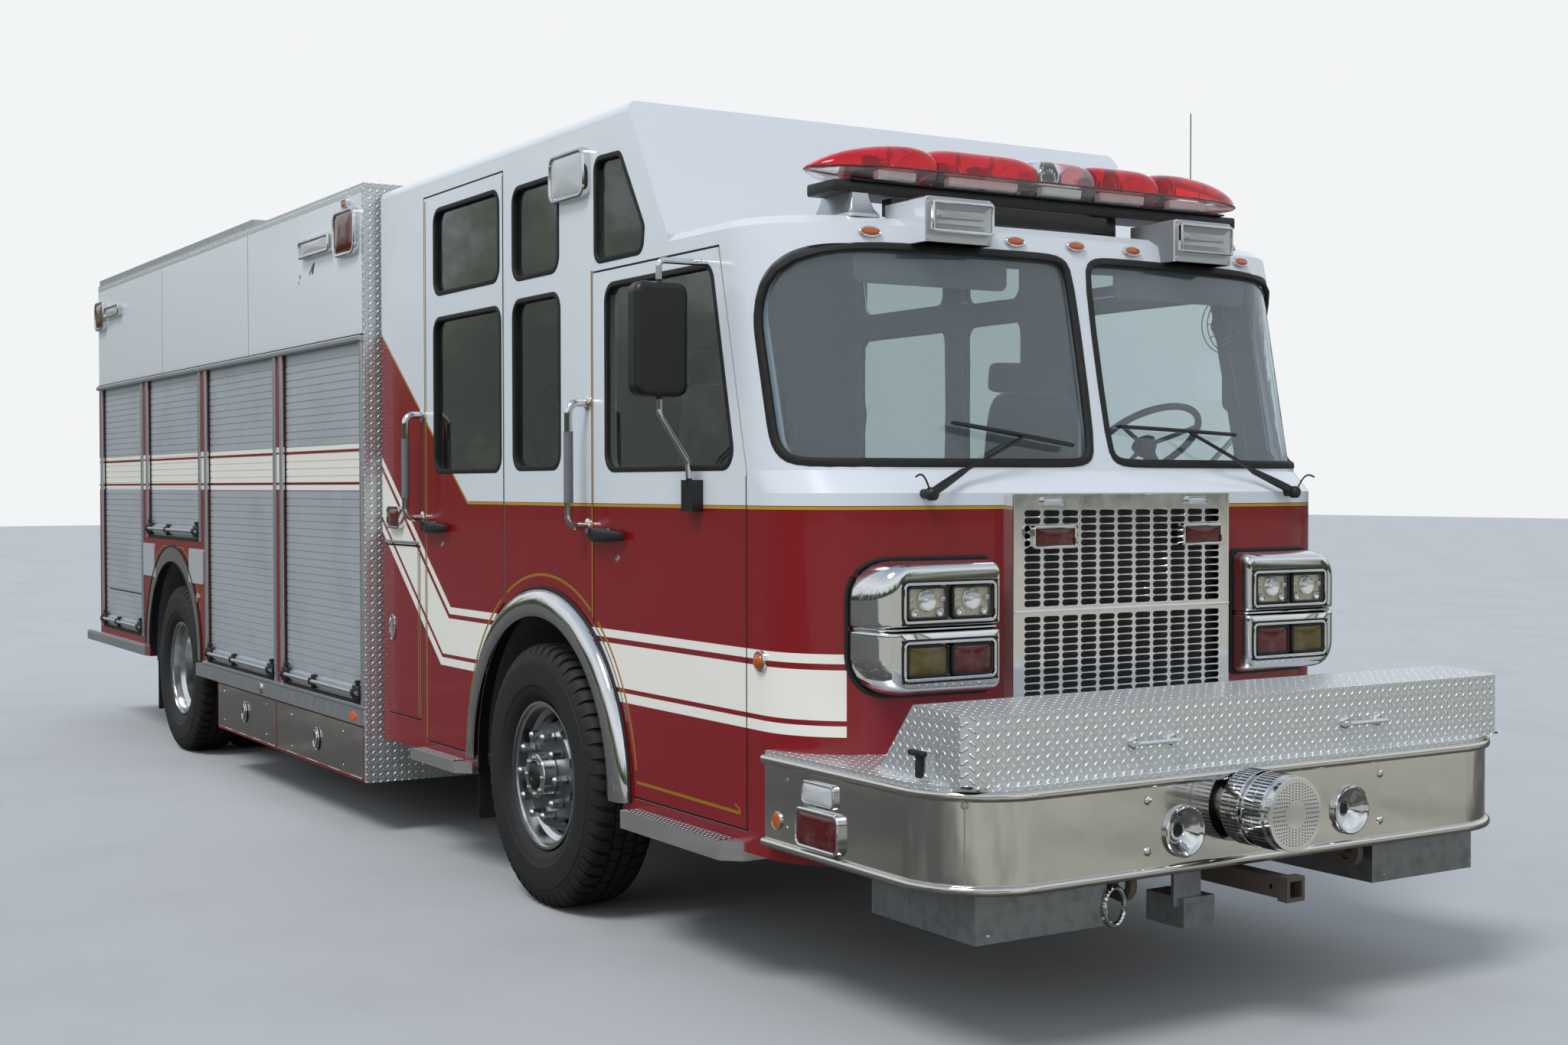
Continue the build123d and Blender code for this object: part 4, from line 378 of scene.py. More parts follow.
# %% Dark and plain materials
# Columns: name, colour, roughness, second colour, its share, scale of its spots, the grain's scale and height
plain_finishes = {}
for name, shade, rough, second, most, spots, fine, high in (
        ("tyre_rubber_moulded", "#151516", 0.68, "#23211F", 0.5, 9.0, 400.0, 0.0003),
        ("sheet_rubber", "#131313", 0.70, "#262524", 0.5, 30.0, 500.0, 0.0002),
        ("black_plastic_moulded", "#161617", 0.45, "#222223", 0.5, 24.0, 900.0, 0.0002),
        ("chassis_enamel_black", "#141414", 0.40, "#2A2724", 0.6, 7.0, 60.0, 0.0004),
        ("floor_coating_grey", "#4A4C4E", 0.70, "#3A3B3C", 0.7, 12.0, 300.0, 0.0005),
        ("grip_rubber_grey", "#6E7072", 0.62, "#5B5D5F", 0.5, 40.0, 600.0, 0.0002),
        ("lamp_plastic_white", "#D9DBD8", 0.40, "#C4C6C2", 0.5, 30.0, 500.0, 0.0001),
        ("reflector_ivory", "#E9E2C0", 0.35, "#D6CFAE", 0.5, 30.0, 500.0, 0.0001),
        ("reflector_orange", "#E25A10", 0.30, "#C94C0C", 0.5, 60.0, 900.0, 0.0003),
        ("primer_grey_worn", "#4C4844", 0.80, "#7A746C", 0.8, 90.0, 400.0, 0.0002)):
    plain_finishes[name], tree, shader = new_material(name, base_color=colour(shade), roughness=rough)
    mottle(tree, shader, spots, second, most)
    grain(tree, shader, fine, high)
(tyre_rubber, sheet_rubber, black_plastic, chassis_enamel, floor_paint, grey_rubber, lamp_white, ivory,
 reflector_orange, primer_grey) = plain_finishes.values()
tree, shader = surface_of(chassis_enamel)
x, y, z = place_of(tree)
hitch = add_node(tree, "Math", [x, front_axle + 2.45], operation="GREATER_THAN")
overlay(tree, shader, hitch, base_color=colour("#5A4E45"))
print("plain finishes:", len(plain_finishes))

# %% [markdown]
# ### Seat cloth, dashboard and the steel under the bumper
# Two crossed waves make the cloth's threads, drawn 4 mm wide because finer ones would not show. A wave texture of
# scale 1 repeats every 0.314 m.

# %% Woven cloth, padded dashboard and galvanised steel
thread = 0.004
wave_length = 0.314
seat_cloth, tree, shader = new_material("seat_cloth_woven", base_color=colour("#2B2C30"), roughness=0.9,
                                        sheen_weight=0.3)
mottle(tree, shader, 20.0, "#3A3C41", 0.6)
weave = []
for way in ("X", "Y"):
    threads = {"Vector": add_node(tree, "TexCoord", out=3), "Scale": wave_length / thread}
    weave.append(add_node(tree, "TexWave", threads, 1, bands_direction=way))
crossed = add_node(tree, "Math", weave, operation="MULTIPLY")
bump = add_node(tree, "Bump", {"Strength": 0.5, "Distance": 0.001, "Height": crossed})
tree.links.new(bump, shader.inputs["Normal"])
dash_trim, tree, shader = new_material("dashboard_padded", base_color=colour("#7A8086"), roughness=0.7)
mottle(tree, shader, 14.0, "#6B7176", 0.5)
grain(tree, shader, 350.0, 0.0006)
box_steel, tree, shader = new_material("steel_galvanised", base_color=colour("#9A9DA0"), metallic=0.9,
                                       roughness=0.42)
mottle(tree, shader, 25.0, "#7C7F82", 0.7)
roughen(tree, shader, 30.0, 0.34, 0.52)
print("threads drawn", thread, "m wide")

# %% [markdown]
# ### Glass
# The windscreens are nearly clear and the side panes tinted. Panes are solids with two faces, so full
# transmission with glass's index of 1.45 bends light in and out again as a real pane does.

# %% Glass
mirror_glass, tree, shader = new_material("mirror_glass", base_color=colour("#C9CED2"), metallic=1.0,
                                          roughness=0.02)
roughen(tree, shader, 8.0, 0.01, 0.04)
cab_glazing, tree, shader = new_material("laminated_glass", base_color=colour("#AEB8B2"), roughness=0.0,
                                         transmission_weight=1.0, ior=1.45)
x, y, z = place_of(tree)
windscreens = add_node(tree, "Math", [x, front_axle + 1.55], operation="GREATER_THAN")
overlay(tree, shader, windscreens, base_color=colour("#DAE8F0"), transmission_weight=0.93)
glazings = {}
for name, shade in (("tempered_glass_clear", "#C9D2CD"), ("tempered_glass_tinted", "#AEB8B2")):
    glazings[name], tree, shader = new_material(name, base_color=colour(shade), roughness=0.0,
                                                transmission_weight=1.0, ior=1.45)
    mottle(tree, shader, 1.2, "#FFFFFF", 0.08)
front_glazing, side_glass = glazings.values()
print("glass:", cab_glazing.name, *glazings)

# %% [markdown]
# ### Lenses
# Lamp lenses are moulded with fine flutes, which a slanting wave bump stands for. The bar's real domes are thin
# shells. Here each is a closed body, so it takes a low index, which hardly bends what is behind it.

# %% Lenses of moulded polycarbonate
flute = 0.006
lens_finishes = {}
# Columns: name, colour, transmission, roughness, height of the flutes
for name, shade, through, rough, high in (
        ("clear", "#EDF1F3", 0.45, 0.12, 0.0006), ("glass", "#F6F8F8", 1.0, 0.02, 0.0),
        ("red", "#58090F", 0.20, 0.05, 0.0002), ("amber", "#D0641A", 0.35, 0.08, 0.0006),
        ("smoked", "#5E4E12", 0.25, 0.06, 0.0002)):
    lens_finishes[name], tree, shader = new_material(f"polycarbonate_{name}", base_color=colour(shade),
                                                     roughness=rough, transmission_weight=through, ior=1.45,
                                                     coat_weight=0.4)
    mottle(tree, shader, 15.0, "#FFFFFF", 0.06)
    if high:
        flutes = {"Vector": add_node(tree, "TexCoord", out=3), "Scale": wave_length / flute}
        wave = add_node(tree, "TexWave", flutes, 1, bands_direction="DIAGONAL")
        bump = add_node(tree, "Bump", {"Strength": 0.5, "Distance": high, "Height": wave})
        tree.links.new(bump, shader.inputs["Normal"])
thin_lenses = {}
for name, shade, through, second in (("polycarbonate_dome_red", "#F02030", 0.75, "#B00C18"),
                                     ("polycarbonate_dome_clear", "#F4F6F6", 0.92, "#E4E8EA")):
    thin_lenses[name], tree, shader = new_material(name, base_color=colour(shade), roughness=0.04, ior=1.08,
                                                   transmission_weight=through, coat_weight=0.8,
                                                   coat_roughness=0.03)
    mottle(tree, shader, 8.0, second, 0.5)
dome_finish, thin_clear = thin_lenses.values()
print("lens colours:", *lens_finishes)

# %% [markdown]
# ### Each node gets its material
# A list of name starts gives each solid its finish. Where two starts fit one name, the longer one wins.

# %% Each node gets its material
finishes = [
    (cab_enamel, ["cab_nose", "cab_walls", "cab_roof", "door_front_", "door_crew_", "hatch_"]),
    (body_enamel, ["body_sides"]),
    (treadplate, ["body_roof", "body_ends", "bumper_deck", "bumper_lid"]),
    (stainless, ["bumper", "lower_door_"]),
    (arch_steel, ["arch_trims"]),
    (mirror_sheet, ["grille", "cab_steps"]),
    (box_steel, ["bumper_boxes"]),
    (chrome, ["grab_handles", "siren", "headlamps"]),
    (mirror_chrome, ["mirror_"]),
    (shutter_satin, ["shutters"]),
    (satin, ["body_rails"]),
    (forged, ["rim"]),
    (tyre_rubber, ["tyre"]),
    (sheet_rubber, ["mud_flaps"]),
    (black_plastic, ["wipers", "light_bar"]),
    (dash_trim, ["dashboard"]),
    (chassis_enamel, ["chassis_frame", "front_axle", "rear_axle", "engine", "knuckle_", "underbody_tanks"]),
    (floor_paint, ["cab_floor", "body_floor"]),
    (seat_cloth, ["seats"]),
    (cab_glazing, ["cab_glass"]),
    (front_glazing, ["pane_front_"]),
    (side_glass, ["panes_crew_"]),
    (lens_finishes["red"], ["lamps", "light_bar_lenses"]),
]
for name, node in frame["nodes"].items():
    fitting = [(len(start), finish) for finish, starts in finishes for start in starts if name.startswith(start)]
    node.data.materials.clear()
    node.data.materials.append(max(fitting, key=lambda pair: pair[0])[1])
print("nodes with a finish:", len(frame["nodes"]))

# %% [markdown]
# ## How the thin pieces are made
# Most pieces are a closed outline carried through a few levels, as a gasket or a lens is the same outline grown
# or shrunk while it rises from the panel. The outline is worked out flat, and a place function lays it on.

# %% Flat outlines
def corners_of(x0, x1, z0, z1):
    """The four corners of a rectangle, anticlockwise."""
    return [(x0, z0), (x1, z0), (x1, z1), (x0, z1)]

def rounded(corners, radius, grow=0.0, steps=7):
    """A closed outline with round corners. Each corner moves out along the bisector by grow, and its arc, of
    radius plus grow, turns from one edge's normal to the next one's. Corners run anticlockwise."""
    points = np.array(corners, float)
    into = points - np.roll(points, 1, 0)
    into /= np.linalg.norm(into, axis=1, keepdims=True)
    out_of = np.roll(into, -1, 0)
    normal_in = np.stack([into[:, 1], -into[:, 0]], 1)
    normal_out = np.stack([out_of[:, 1], -out_of[:, 0]], 1)
    cosine = (normal_in * normal_out).sum(1, keepdims=True)
    moved = points + (normal_in + normal_out) * grow / (1 + cosine)
    arc = np.maximum(np.broadcast_to(radius, len(points)) + grow, 0.0005)[:, None]
    turn = np.arccos(np.clip(cosine, -1, 1))
    centre = moved - into * arc * np.tan(turn / 2) - normal_in * arc
    start = np.arctan2(normal_in[:, 1], normal_in[:, 0])[:, None]
    angle = start + turn * np.linspace(0, 1, steps)
    return (centre[:, None] + arc[:, None] * np.stack([np.cos(angle), np.sin(angle)], -1)).reshape(-1, 2)

def box_outline(x0, x1, z0, z1, radius):
    """A rounded rectangle between two corners, as a function of how far it is grown."""
    return lambda grow=0.0: rounded(corners_of(x0, x1, z0, z1), radius, grow)

def side_box(side, y0, y1, z0, z1, radius):
    """A rounded rectangle seen from the front, from y0 to y1 out from the truck's middle on one side."""
    return box_outline(*sorted((side * y0, side * y1)), z0, z1, radius)

def full_turn(steps):
    """Angles in equal steps round a circle."""
    return np.linspace(0, 2 * np.pi, steps, endpoint=False)

def circle(x, z, radius, steps=28, flat=1.0):
    """A circle or an oval about a point, as a function of how far it is grown."""
    angle = full_turn(steps)
    way = np.stack([np.cos(angle), np.sin(angle)], 1)
    return lambda grow=0.0: np.array([x, z]) + way * (np.array([radius, radius * flat]) + grow)

def ahead(x):
    """A place measured forwards from the front axle."""
    return front_axle + x

print("points on a box's outline:", len(box_outline(0, 1, 0, 1, 0.1)()))

# %% [markdown]
# ### Places
# A place function takes a flat outline and a distance out, and gives points on the truck. The nose is a wide arc
# with a tight one at its end, and leans back, so its place goes by the distance round it.

# %% Places where a flat outline lies on the truck
forward_axis, upward_axis = (1, 0, 0), (0, 0, 1)

def on_wall(side, half):
    """On a flat side wall: the outline's first number is x, its second z. Out is added to the half width."""
    return lambda flat, out: np.stack([flat[:, 0], np.full(len(flat), side * (half + out)), flat[:, 1]], 1)

def on_face(x, turned_back=False):
    """On a surface that faces forwards or, turned back, rearwards: the outline's numbers are y and z."""
    way = -1 if turned_back else 1
    return lambda flat, out: np.stack([np.full(len(flat), x + way * out), flat[:, 0], flat[:, 1]], 1)

def on_top(z):
    """On a level surface: the outline's numbers are x and y."""
    return lambda flat, out: np.stack([flat[:, 0], flat[:, 1], np.full(len(flat), z + out)], 1)

# Rows: height, and how far ahead of the front axle the nose is there
nose_levels = np.array([[0.480, 2.120], [1.690, 2.120], [1.765, 2.045], [2.530, 1.895], [2.590, 1.880]])
nose_corner = 0.350
nose_bow = 7.975
nose_lean = np.arcsin((cab_half - nose_corner) / (nose_bow - nose_corner))
bow_end = nose_bow * nose_lean
corner_end = bow_end + nose_corner * (np.pi / 2 - nose_lean)

def on_nose(side):
    """On the nose: the outline's numbers are the distance round it from the middle, and z. The way round is an
    arc of the bow, an arc of the corner and the straight side, each grown by out."""
    def place(flat, out):
        s, z = flat.T
        bow_x = front_axle + np.interp(z, *nose_levels.T) - nose_bow
        corner_x = bow_x + (nose_bow - nose_corner) * np.cos(nose_lean)
        bow_angle = np.minimum(s, bow_end) / nose_bow
        turn = nose_lean + (np.clip(s, bow_end, corner_end) - bow_end) / nose_corner
        round_corner = s > bow_end
        x = np.where(round_corner, corner_x + (nose_corner + out) * np.cos(turn),
                     bow_x + (nose_bow + out) * np.cos(bow_angle)) - np.maximum(s - corner_end, 0)
        y = np.where(round_corner, cab_half - nose_corner + (nose_corner + out) * np.sin(turn),
                     (nose_bow + out) * np.sin(bow_angle))
        return np.stack([x, side * y, z], 1)
    return place

def round_nose(x, z):
    """The distance round the nose of a point on its corner, from how far ahead of the axle it is seen from the
    side."""
    corner_x = np.interp(z, *nose_levels.T) - nose_bow + (nose_bow - nose_corner) * np.cos(nose_lean)
    turn = np.arccos(np.clip((x - corner_x) / nose_corner, 0, 1))
    return bow_end + nose_corner * (turn - nose_lean)

print("the nose's bow ends", round(bow_end, 3), "m round, its corner", round(corner_end, 3))

# %% [markdown]
# ### Meshes from grids
# These functions give points and faces as whole arrays. A plate, a ring, a lens, a turned part and a tube are all
# a skin over rings of points. The last one joins parts into a mesh that rides on a body of the truck.

# %% Meshes from grids
def lofted(rings, ends=True, closed=False):
    """A skin over rings of points: quads between neighbours by row and column number, and a flat face over each
    end."""
    rings = np.asarray(rings, float)
    rows, columns = rings.shape[:2]
    row = np.arange(rows if closed else rows - 1)[:, None]
    column = np.arange(columns)[None, :]
    after = (column + 1) % columns
    below = (row + 1) % rows
    corners = [row * columns + column, row * columns + after, below * columns + after, below * columns + column]
    faces = [np.stack(np.broadcast_arrays(*corners), -1).reshape(-1, 4)]
    if ends and not closed:
        faces.append(np.arange(columns) + np.array([[0], [(rows - 1) * columns]]))
    return rings.reshape(-1, 3), faces

def raised(outline, place, levels, closed=False):
    """An outline carried through levels of (grow, out) on a place."""
    return lofted([place(outline(grow), out) for grow, out in levels], closed=closed)

def slab(outline, place, out, start=0.0, bevel=0.002):
    """A flat plate with a small bevel round its face."""
    return raised(outline, place, [(0, start), (0, out - bevel), (-bevel, out)])

def ring(outline, place, width, out, start=0.0):
    """A frame inside an outline, with its edges softened."""
    soft = min(width, out - start) * 0.3
    levels = [(0, start), (0, out - soft), (-soft, out), (soft - width, out), (-width, out - soft),
              (-width, start)]
    return raised(outline, place, levels, closed=True)

def domed(outline, place, start, rise, grow=0.0, base=0.0):
    """A lens: the outline shrinks towards its middle as the height follows a quarter of an ellipse."""
    flat = outline(grow)
    middle = flat.mean(0)
    rings = [place(flat, base)]
    for share in (1.0, 0.985, 0.93, 0.82, 0.62, 0.35, 0.1):
        rings.append(place(middle + (flat - middle) * share, start + rise * (1 - share ** 2) ** 0.5))
    return lofted(rings)

def turned(profile, centre, axis, steps=40, closed=False):
    """A profile of (along, radius) turned about an axis: a point's angle goes round in equal steps."""
    profile = np.array(profile, float)
    angle = full_turn(steps)
    along = np.array(axis, float) / np.linalg.norm(axis)
    across = np.cross(along, [0, 0, 1.0] if abs(along[2]) < 0.9 else [1.0, 0, 0])
    across /= np.linalg.norm(across)
    up = np.cross(along, across)
    way = np.cos(angle)[:, None] * across + np.sin(angle)[:, None] * up
    return lofted(np.array(centre) + profile[:, None, :1] * along + profile[:, None, 1:] * way, closed=closed)

def bolt_head(radius, edge, top, centre, axis, steps):
    """A round head that narrows by a millimetre up to its edge and closes flat at its top."""
    return turned([(0, radius), (edge, radius - 0.001), (top, 0.0)], centre, axis, steps)

def tube(path, radius, steps=10):
    """A round bar along a path: each ring stands square to the mean direction before and after its point."""
    path = np.array(path, float)
    along = np.gradient(path, axis=0)
    along /= np.linalg.norm(along, axis=1, keepdims=True)
    across = np.cross(along, [0.31, 0.52, 0.79])
    across /= np.linalg.norm(across, axis=1, keepdims=True)
    up = np.cross(along, across)
    angle = full_turn(steps)[None, :, None]
    return lofted(path[:, None] + radius * (np.cos(angle) * across[:, None] + np.sin(angle) * up[:, None]))

def ribbon(path, width, place, out=0.0008, closed=False):
    """A thin painted or glued line along a flat path: its edges lie half a width to either side."""
    path = np.array(path, float)
    before = np.roll(path, 1, 0) if closed else np.concatenate([path[:1] * 2 - path[1:2], path[:-1]])
    after = np.roll(path, -1, 0) if closed else np.concatenate([path[1:], path[-1:] * 2 - path[-2:-1]])
    into = (path - before) / np.linalg.norm(path - before, axis=1, keepdims=True)
    out_of = (after - path) / np.linalg.norm(after - path, axis=1, keepdims=True)
    normal = np.stack([-(into + out_of)[:, 1], (into + out_of)[:, 0]], 1)
    normal *= (width / (1 + (into * out_of).sum(1, keepdims=True)))
    left, right = path + normal / 2, path - normal / 2
    rings = np.stack([place(left, 0.0), place(left, out), place(right, out), place(right, 0.0)], 1)
    return lofted(rings, closed=closed)

def cuboid(x0, x1, y0, y1, z0, z1, bevel=0.0015):
    """A box with rounded upright edges, and its top and bottom edges cut."""
    outline = box_outline(*sorted((x0, x1)), *sorted((y0, y1)), bevel)
    low, high = sorted((z0, z1))
    tall = high - low
    return raised(outline, on_top(low), [(-bevel / 2, 0), (0, bevel), (0, tall - bevel), (-bevel / 2, tall)])

def many(shape, places):
    """Copies of one part at several places, all made at once by adding each place to the part's points."""
    points, blocks = shape
    places = np.array(places, float).reshape(-1, 1, 3)
    starts = (np.arange(len(places)) * len(points))[:, None, None]
    copies = [(block + starts).reshape(-1, block.shape[1]) for block in blocks]
    return (points + places).reshape(-1, 3), copies

counts, told = {}, set()

def tell(what):
    """Prints how many pieces and faces were made since the last call."""
    fresh = [name for name in counts if name not in told]
    told.update(fresh)
    print(what + ":", len(fresh), "pieces,", sum(counts[name] for name in fresh), "faces")

def piece(name, parts, finish, body="truck", stands_for=(), crease=35):
    """Joins parts into one mesh, merges doubles, turns faces outwards and lets the piece ride on a body."""
    starts = np.cumsum([0] + [len(points) for points, _ in parts]).tolist()
    faces = []
    for (_, blocks), start in zip(parts, starts):
        for block in blocks:
            faces += (block + start).tolist()
    mesh = bpy.data.meshes.new(name)
    mesh.from_pydata(np.concatenate([points for points, _ in parts]).tolist(), [], faces)
    shape = bmesh.new()
    shape.from_mesh(mesh)
    bmesh.ops.remove_doubles(shape, verts=shape.verts, dist=1e-5)
    bmesh.ops.recalc_face_normals(shape, faces=shape.faces)
    shape.to_mesh(mesh)
    shape.free()
    mesh.shade_smooth()
    mesh.set_sharp_from_angle(angle=np.radians(crease))
    mesh.materials.append(finish)
    made = bpy.data.objects.new(name, mesh)
    bpy.context.scene.collection.objects.link(made)
    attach(made, body)
    if stands_for:
        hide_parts(*stands_for)
    counts[name] = len(mesh.polygons)
    return made

print("a cuboid has", len(cuboid(0, 1, 0, 1, 0, 1)[0]), "points")

# %% [markdown]
# ## Tyres
# A truck tyre has two rows of narrow blocks in the middle, and deep lugs on the shoulders. The surface is a
# grid of section rows and columns round the wheel. Each row says how far a gap cuts in there, and each column
# whether it lies in a gap.

# %% Tyres with tread
lug_count = 54
gap_columns = np.array([0.0, 0.03, 0.33, 0.36, 0.5, 0.52, 0.60, 0.62])
lug_gap = np.array([0, 1, 1, 0, 0, 0, 0, 0])
block_gap = np.array([0, 0, 0, 0, 0, 1, 1, 0])
# Half of the section from the middle to the rim. Columns: out, radius, depth of the lug and of the block gaps
tyre_rows = np.array([
    [0.0000, 0.5230, 0, 0], [0.0045, 0.5230, 0, 0], [0.0065, 0.5358, 0, 0.008], [0.0450, 0.5358, 0, 0.008],
    [0.0475, 0.5230, 0, 0], [0.0560, 0.5230, 0, 0], [0.0585, 0.5355, 0.013, 0], [0.0960, 0.5350, 0.014, 0],
    [0.1180, 0.5270, 0.014, 0], [0.1300, 0.5130, 0.013, 0], [0.1370, 0.4960, 0.009, 0],
    [0.1395, 0.4850, 0, 0], [0.1450, 0.4700, 0, 0], [0.1452, 0.4620, 0, 0], [0.1482, 0.4600, 0, 0],
    [0.1498, 0.4250, 0, 0], [0.1498, 0.4000, 0, 0], [0.1478, 0.3700, 0, 0], [0.1460, 0.3680, 0, 0],
    [0.1420, 0.3480, 0, 0], [0.1370, 0.3320, 0, 0], [0.1210, 0.3150, 0, 0], [0.1053, 0.3020, 0, 0],
    [0.1013, 0.2873, 0, 0]])

def tyre(x, y):
    """One tyre: a closed ring of section rows. The gaps of the two sides stand half a pitch apart."""
    rows = np.concatenate([tyre_rows[:0:-1] * [-1, 1, 1, 1], tyre_rows])
    pitch = 2 * np.pi / lug_count
    angle = (np.arange(lug_count)[:, None] + gap_columns).ravel() * pitch
    half_turn = np.where(rows[:, 0] < 0, 0.5, 0.0)[:, None] + 2.2 * np.abs(rows[:, :1])
    depth = rows[:, 2:3] * np.tile(lug_gap, lug_count) + rows[:, 3:4] * np.tile(block_gap, lug_count)
    radius = rows[:, 1:2] - depth
    theta = angle[None, :] + half_turn * pitch
    across = np.broadcast_to(rows[:, :1], radius.shape)
    points = np.stack([x + radius * np.cos(theta), y + across, axle_height + radius * np.sin(theta)], -1)
    return lofted(points, closed=True)

front_wheel_middle = 1.087
twin_places = (1.110, 0.775)
for tag, side in sides:
    piece(f"tread_front_{tag}", [tyre(front_axle, side * front_wheel_middle)], tyre_rubber,
          f"wheel_front_{tag}", [f"tyre_front_{tag}"])
    piece(f"tread_rear_{tag}", [tyre(rear_axle, side * place) for place in twin_places], tyre_rubber,
          f"wheels_rear_{tag}", [f"tyres_rear_{tag}"])
tell("tyres")

# %% [markdown]
# ### Hubs
# The hub's face is a machined ring with cap screws round a black oil cap. One screw and one nut are turned and
# then copied to their places on a circle.

# %% Hub faces and nut caps
def bolt_circle(radius, count):
    """Places in equal steps on a circle about the axle."""
    angle = full_turn(count)
    return np.stack([radius * np.cos(angle), 0 * angle, radius * np.sin(angle)], 1)

oil_cap = [(0, 0.056), (0.010, 0.052), (0.016, 0.040), (0.017, 0.020), (0.012, 0.016), (0.012, 0.0)]
for tag, side in sides:
    for body, x, face, radius, nut_face in ((f"wheel_front_{tag}", front_axle, 1.237, 0.092, 1.231),
                                            (f"wheels_rear_{tag}", rear_axle, 1.1125, 0.108, 1.0055)):
        centre = (x, side * face, axle_height)
        out = (0, side, 0)
        face_ring = [(0, radius), (0.004, radius - 0.002), (0.006, radius - 0.008), (0.006, 0.060), (0, 0.058)]
        screw = turned([(0.004, 0.009), (0.012, 0.009), (0.014, 0.006)], (0, 0, 0), out, 6)
        nut = turned([(0, 0.0165), (0.004, 0.015), (0.009, 0.009), (0.010, 0.0)], (0, 0, 0), out, 12)
        bright = [turned(face_ring, centre, out), many(screw, bolt_circle(0.074, 8) + centre),
                  many(nut, bolt_circle(0.1675, 10) + (x, side * nut_face, axle_height))]
        piece(f"hub_{body}", bright, chrome, body)
        piece(f"oil_cap_{body}", [turned(oil_cap, centre, out)], black_plastic, body)
tell("hubs")

# %% [markdown]
# ## Window seals
# The fixed glass is held by a black rubber profile that lips over the panel's edge. The windscreens bend round
# the cab's corner, so their outline is worked out partly from the front and partly from the side.

# %% Outlines of the windows
screen_low, screen_high = 1.786, 2.520
post_half = 0.032

def screen_outline(grow=0.0, along=14):
    """A windscreen's outline, in distance round the nose and height. Its edges are evenly divided between the
    corners, and three passes of averaging with the neighbours take out the kinks."""
    front = rounded(corners_of(post_half, 3, screen_low, screen_high), 0.075, grow)
    side = rounded([(1.764, screen_low), (3, screen_low), (3, screen_high), (1.590, screen_high)],
                   [0.12, 0.1, 0.1, 0.205], grow)
    low, high = side[:7][::-1], side[-7:][::-1]
    low_outer = np.stack([round_nose(*low.T), low[:, 1]], 1)
    high_outer = np.stack([round_nose(*high.T), high[:, 1]], 1)
    share = np.linspace(0, 1, along)[1:-1, None]
    low_edge = front[6] + (low_outer[0] - front[6]) * share
    outer_edge = low_outer[-1] + (high_outer[0] - low_outer[-1]) * share
    high_edge = high_outer[-1] + (front[-7] - high_outer[-1]) * share
    outline = np.concatenate([front[:7], low_edge, low_outer, outer_edge, high_outer, high_edge, front[-7:]])
    for _ in range(3):
        outline = (np.roll(outline, 1, 0) + 2 * outline + np.roll(outline, -1, 0)) / 4
    return outline

def pane_outline(corners, radius=0.065):
    """A side window's outline from its corners, given ahead of the axle."""
    points = [(ahead(x), z) for x, z in corners]
    return lambda grow=0.0: rounded(points, radius, grow)

def upright_pane(x0, x1, z0, z1):
    """A side window with upright edges."""
    return pane_outline(corners_of(x0, x1, z0, z1))

crew_windows = [upright_pane(-1.187, -0.429, 1.780, 2.478), upright_pane(-1.184, -0.444, 2.590, 2.975)]
upper_corners = [(0.477, 2.575), (0.868, 2.575), (0.882, 2.669), (0.691, 2.967), (0.477, 2.972)]
fixed_windows = [upright_pane(-0.298, 0.158, 1.786, 2.487), upright_pane(-0.299, 0.148, 2.576, 2.957),
                 pane_outline(upper_corners, 0.045)]
front_window = pane_outline([(0.565, 1.775), (1.538, 1.775), (1.380, 2.480), (0.565, 2.480)])
print("points on a windscreen's outline:", len(screen_outline()))

# %% [markdown]
# ### Seals
# A seal is the window's outline carried through its section's levels. The door windows' seals ride on their
# doors.

# %% Seals
# Rows: how far the outline is grown, and how far it stands out
seal_levels = [(-0.012, -0.014), (-0.012, 0.0), (-0.009, 0.0035), (0.002, 0.0045), (0.008, 0.002), (0.009, 0.0)]
screen_levels = [(-0.018, -0.014), (-0.019, -0.002), (-0.012, 0.006), (0.002, 0.007), (0.010, 0.003),
                 (0.011, 0.0)]
for tag, side in sides:
    wall = on_wall(side, cab_half)
    for body, windows in (("truck", fixed_windows), (f"door_crew_{tag}", crew_windows),
                          (f"door_front_{tag}", [front_window])):
        parts = [raised(window, wall, seal_levels, closed=True) for window in windows]
        piece(f"seals_{body}_{tag}", parts, sheet_rubber, body)
screens = [raised(screen_outline, on_nose(side), screen_levels, closed=True) for tag, side in sides]
piece("windscreen_seals", screens, sheet_rubber)
tell("seals")

# %% [markdown]
# ## Lamps
# A lamp is a slightly domed lens of coloured polycarbonate in a raised chrome ring. The headlamps sit in
# pockets: the upper ones have reflectors behind a clear lens, the lower ones fluted coloured lenses.

# %% Lamps on the sides, front and back
lenses = {"clear": [], "glass": [], "red": [], "amber": [], "smoked": []}
frames, housings = [], []

def lamp(colour_name, outline, place, out, rim=0.012, rise=0.008):
    """One lamp: a chrome ring of the outline and a domed lens inside it."""
    frames.append(ring(outline, place, rim, out))
    lenses[colour_name].append(domed(outline, place, out * 0.7, rise + out * 0.1, -rim * 0.9))

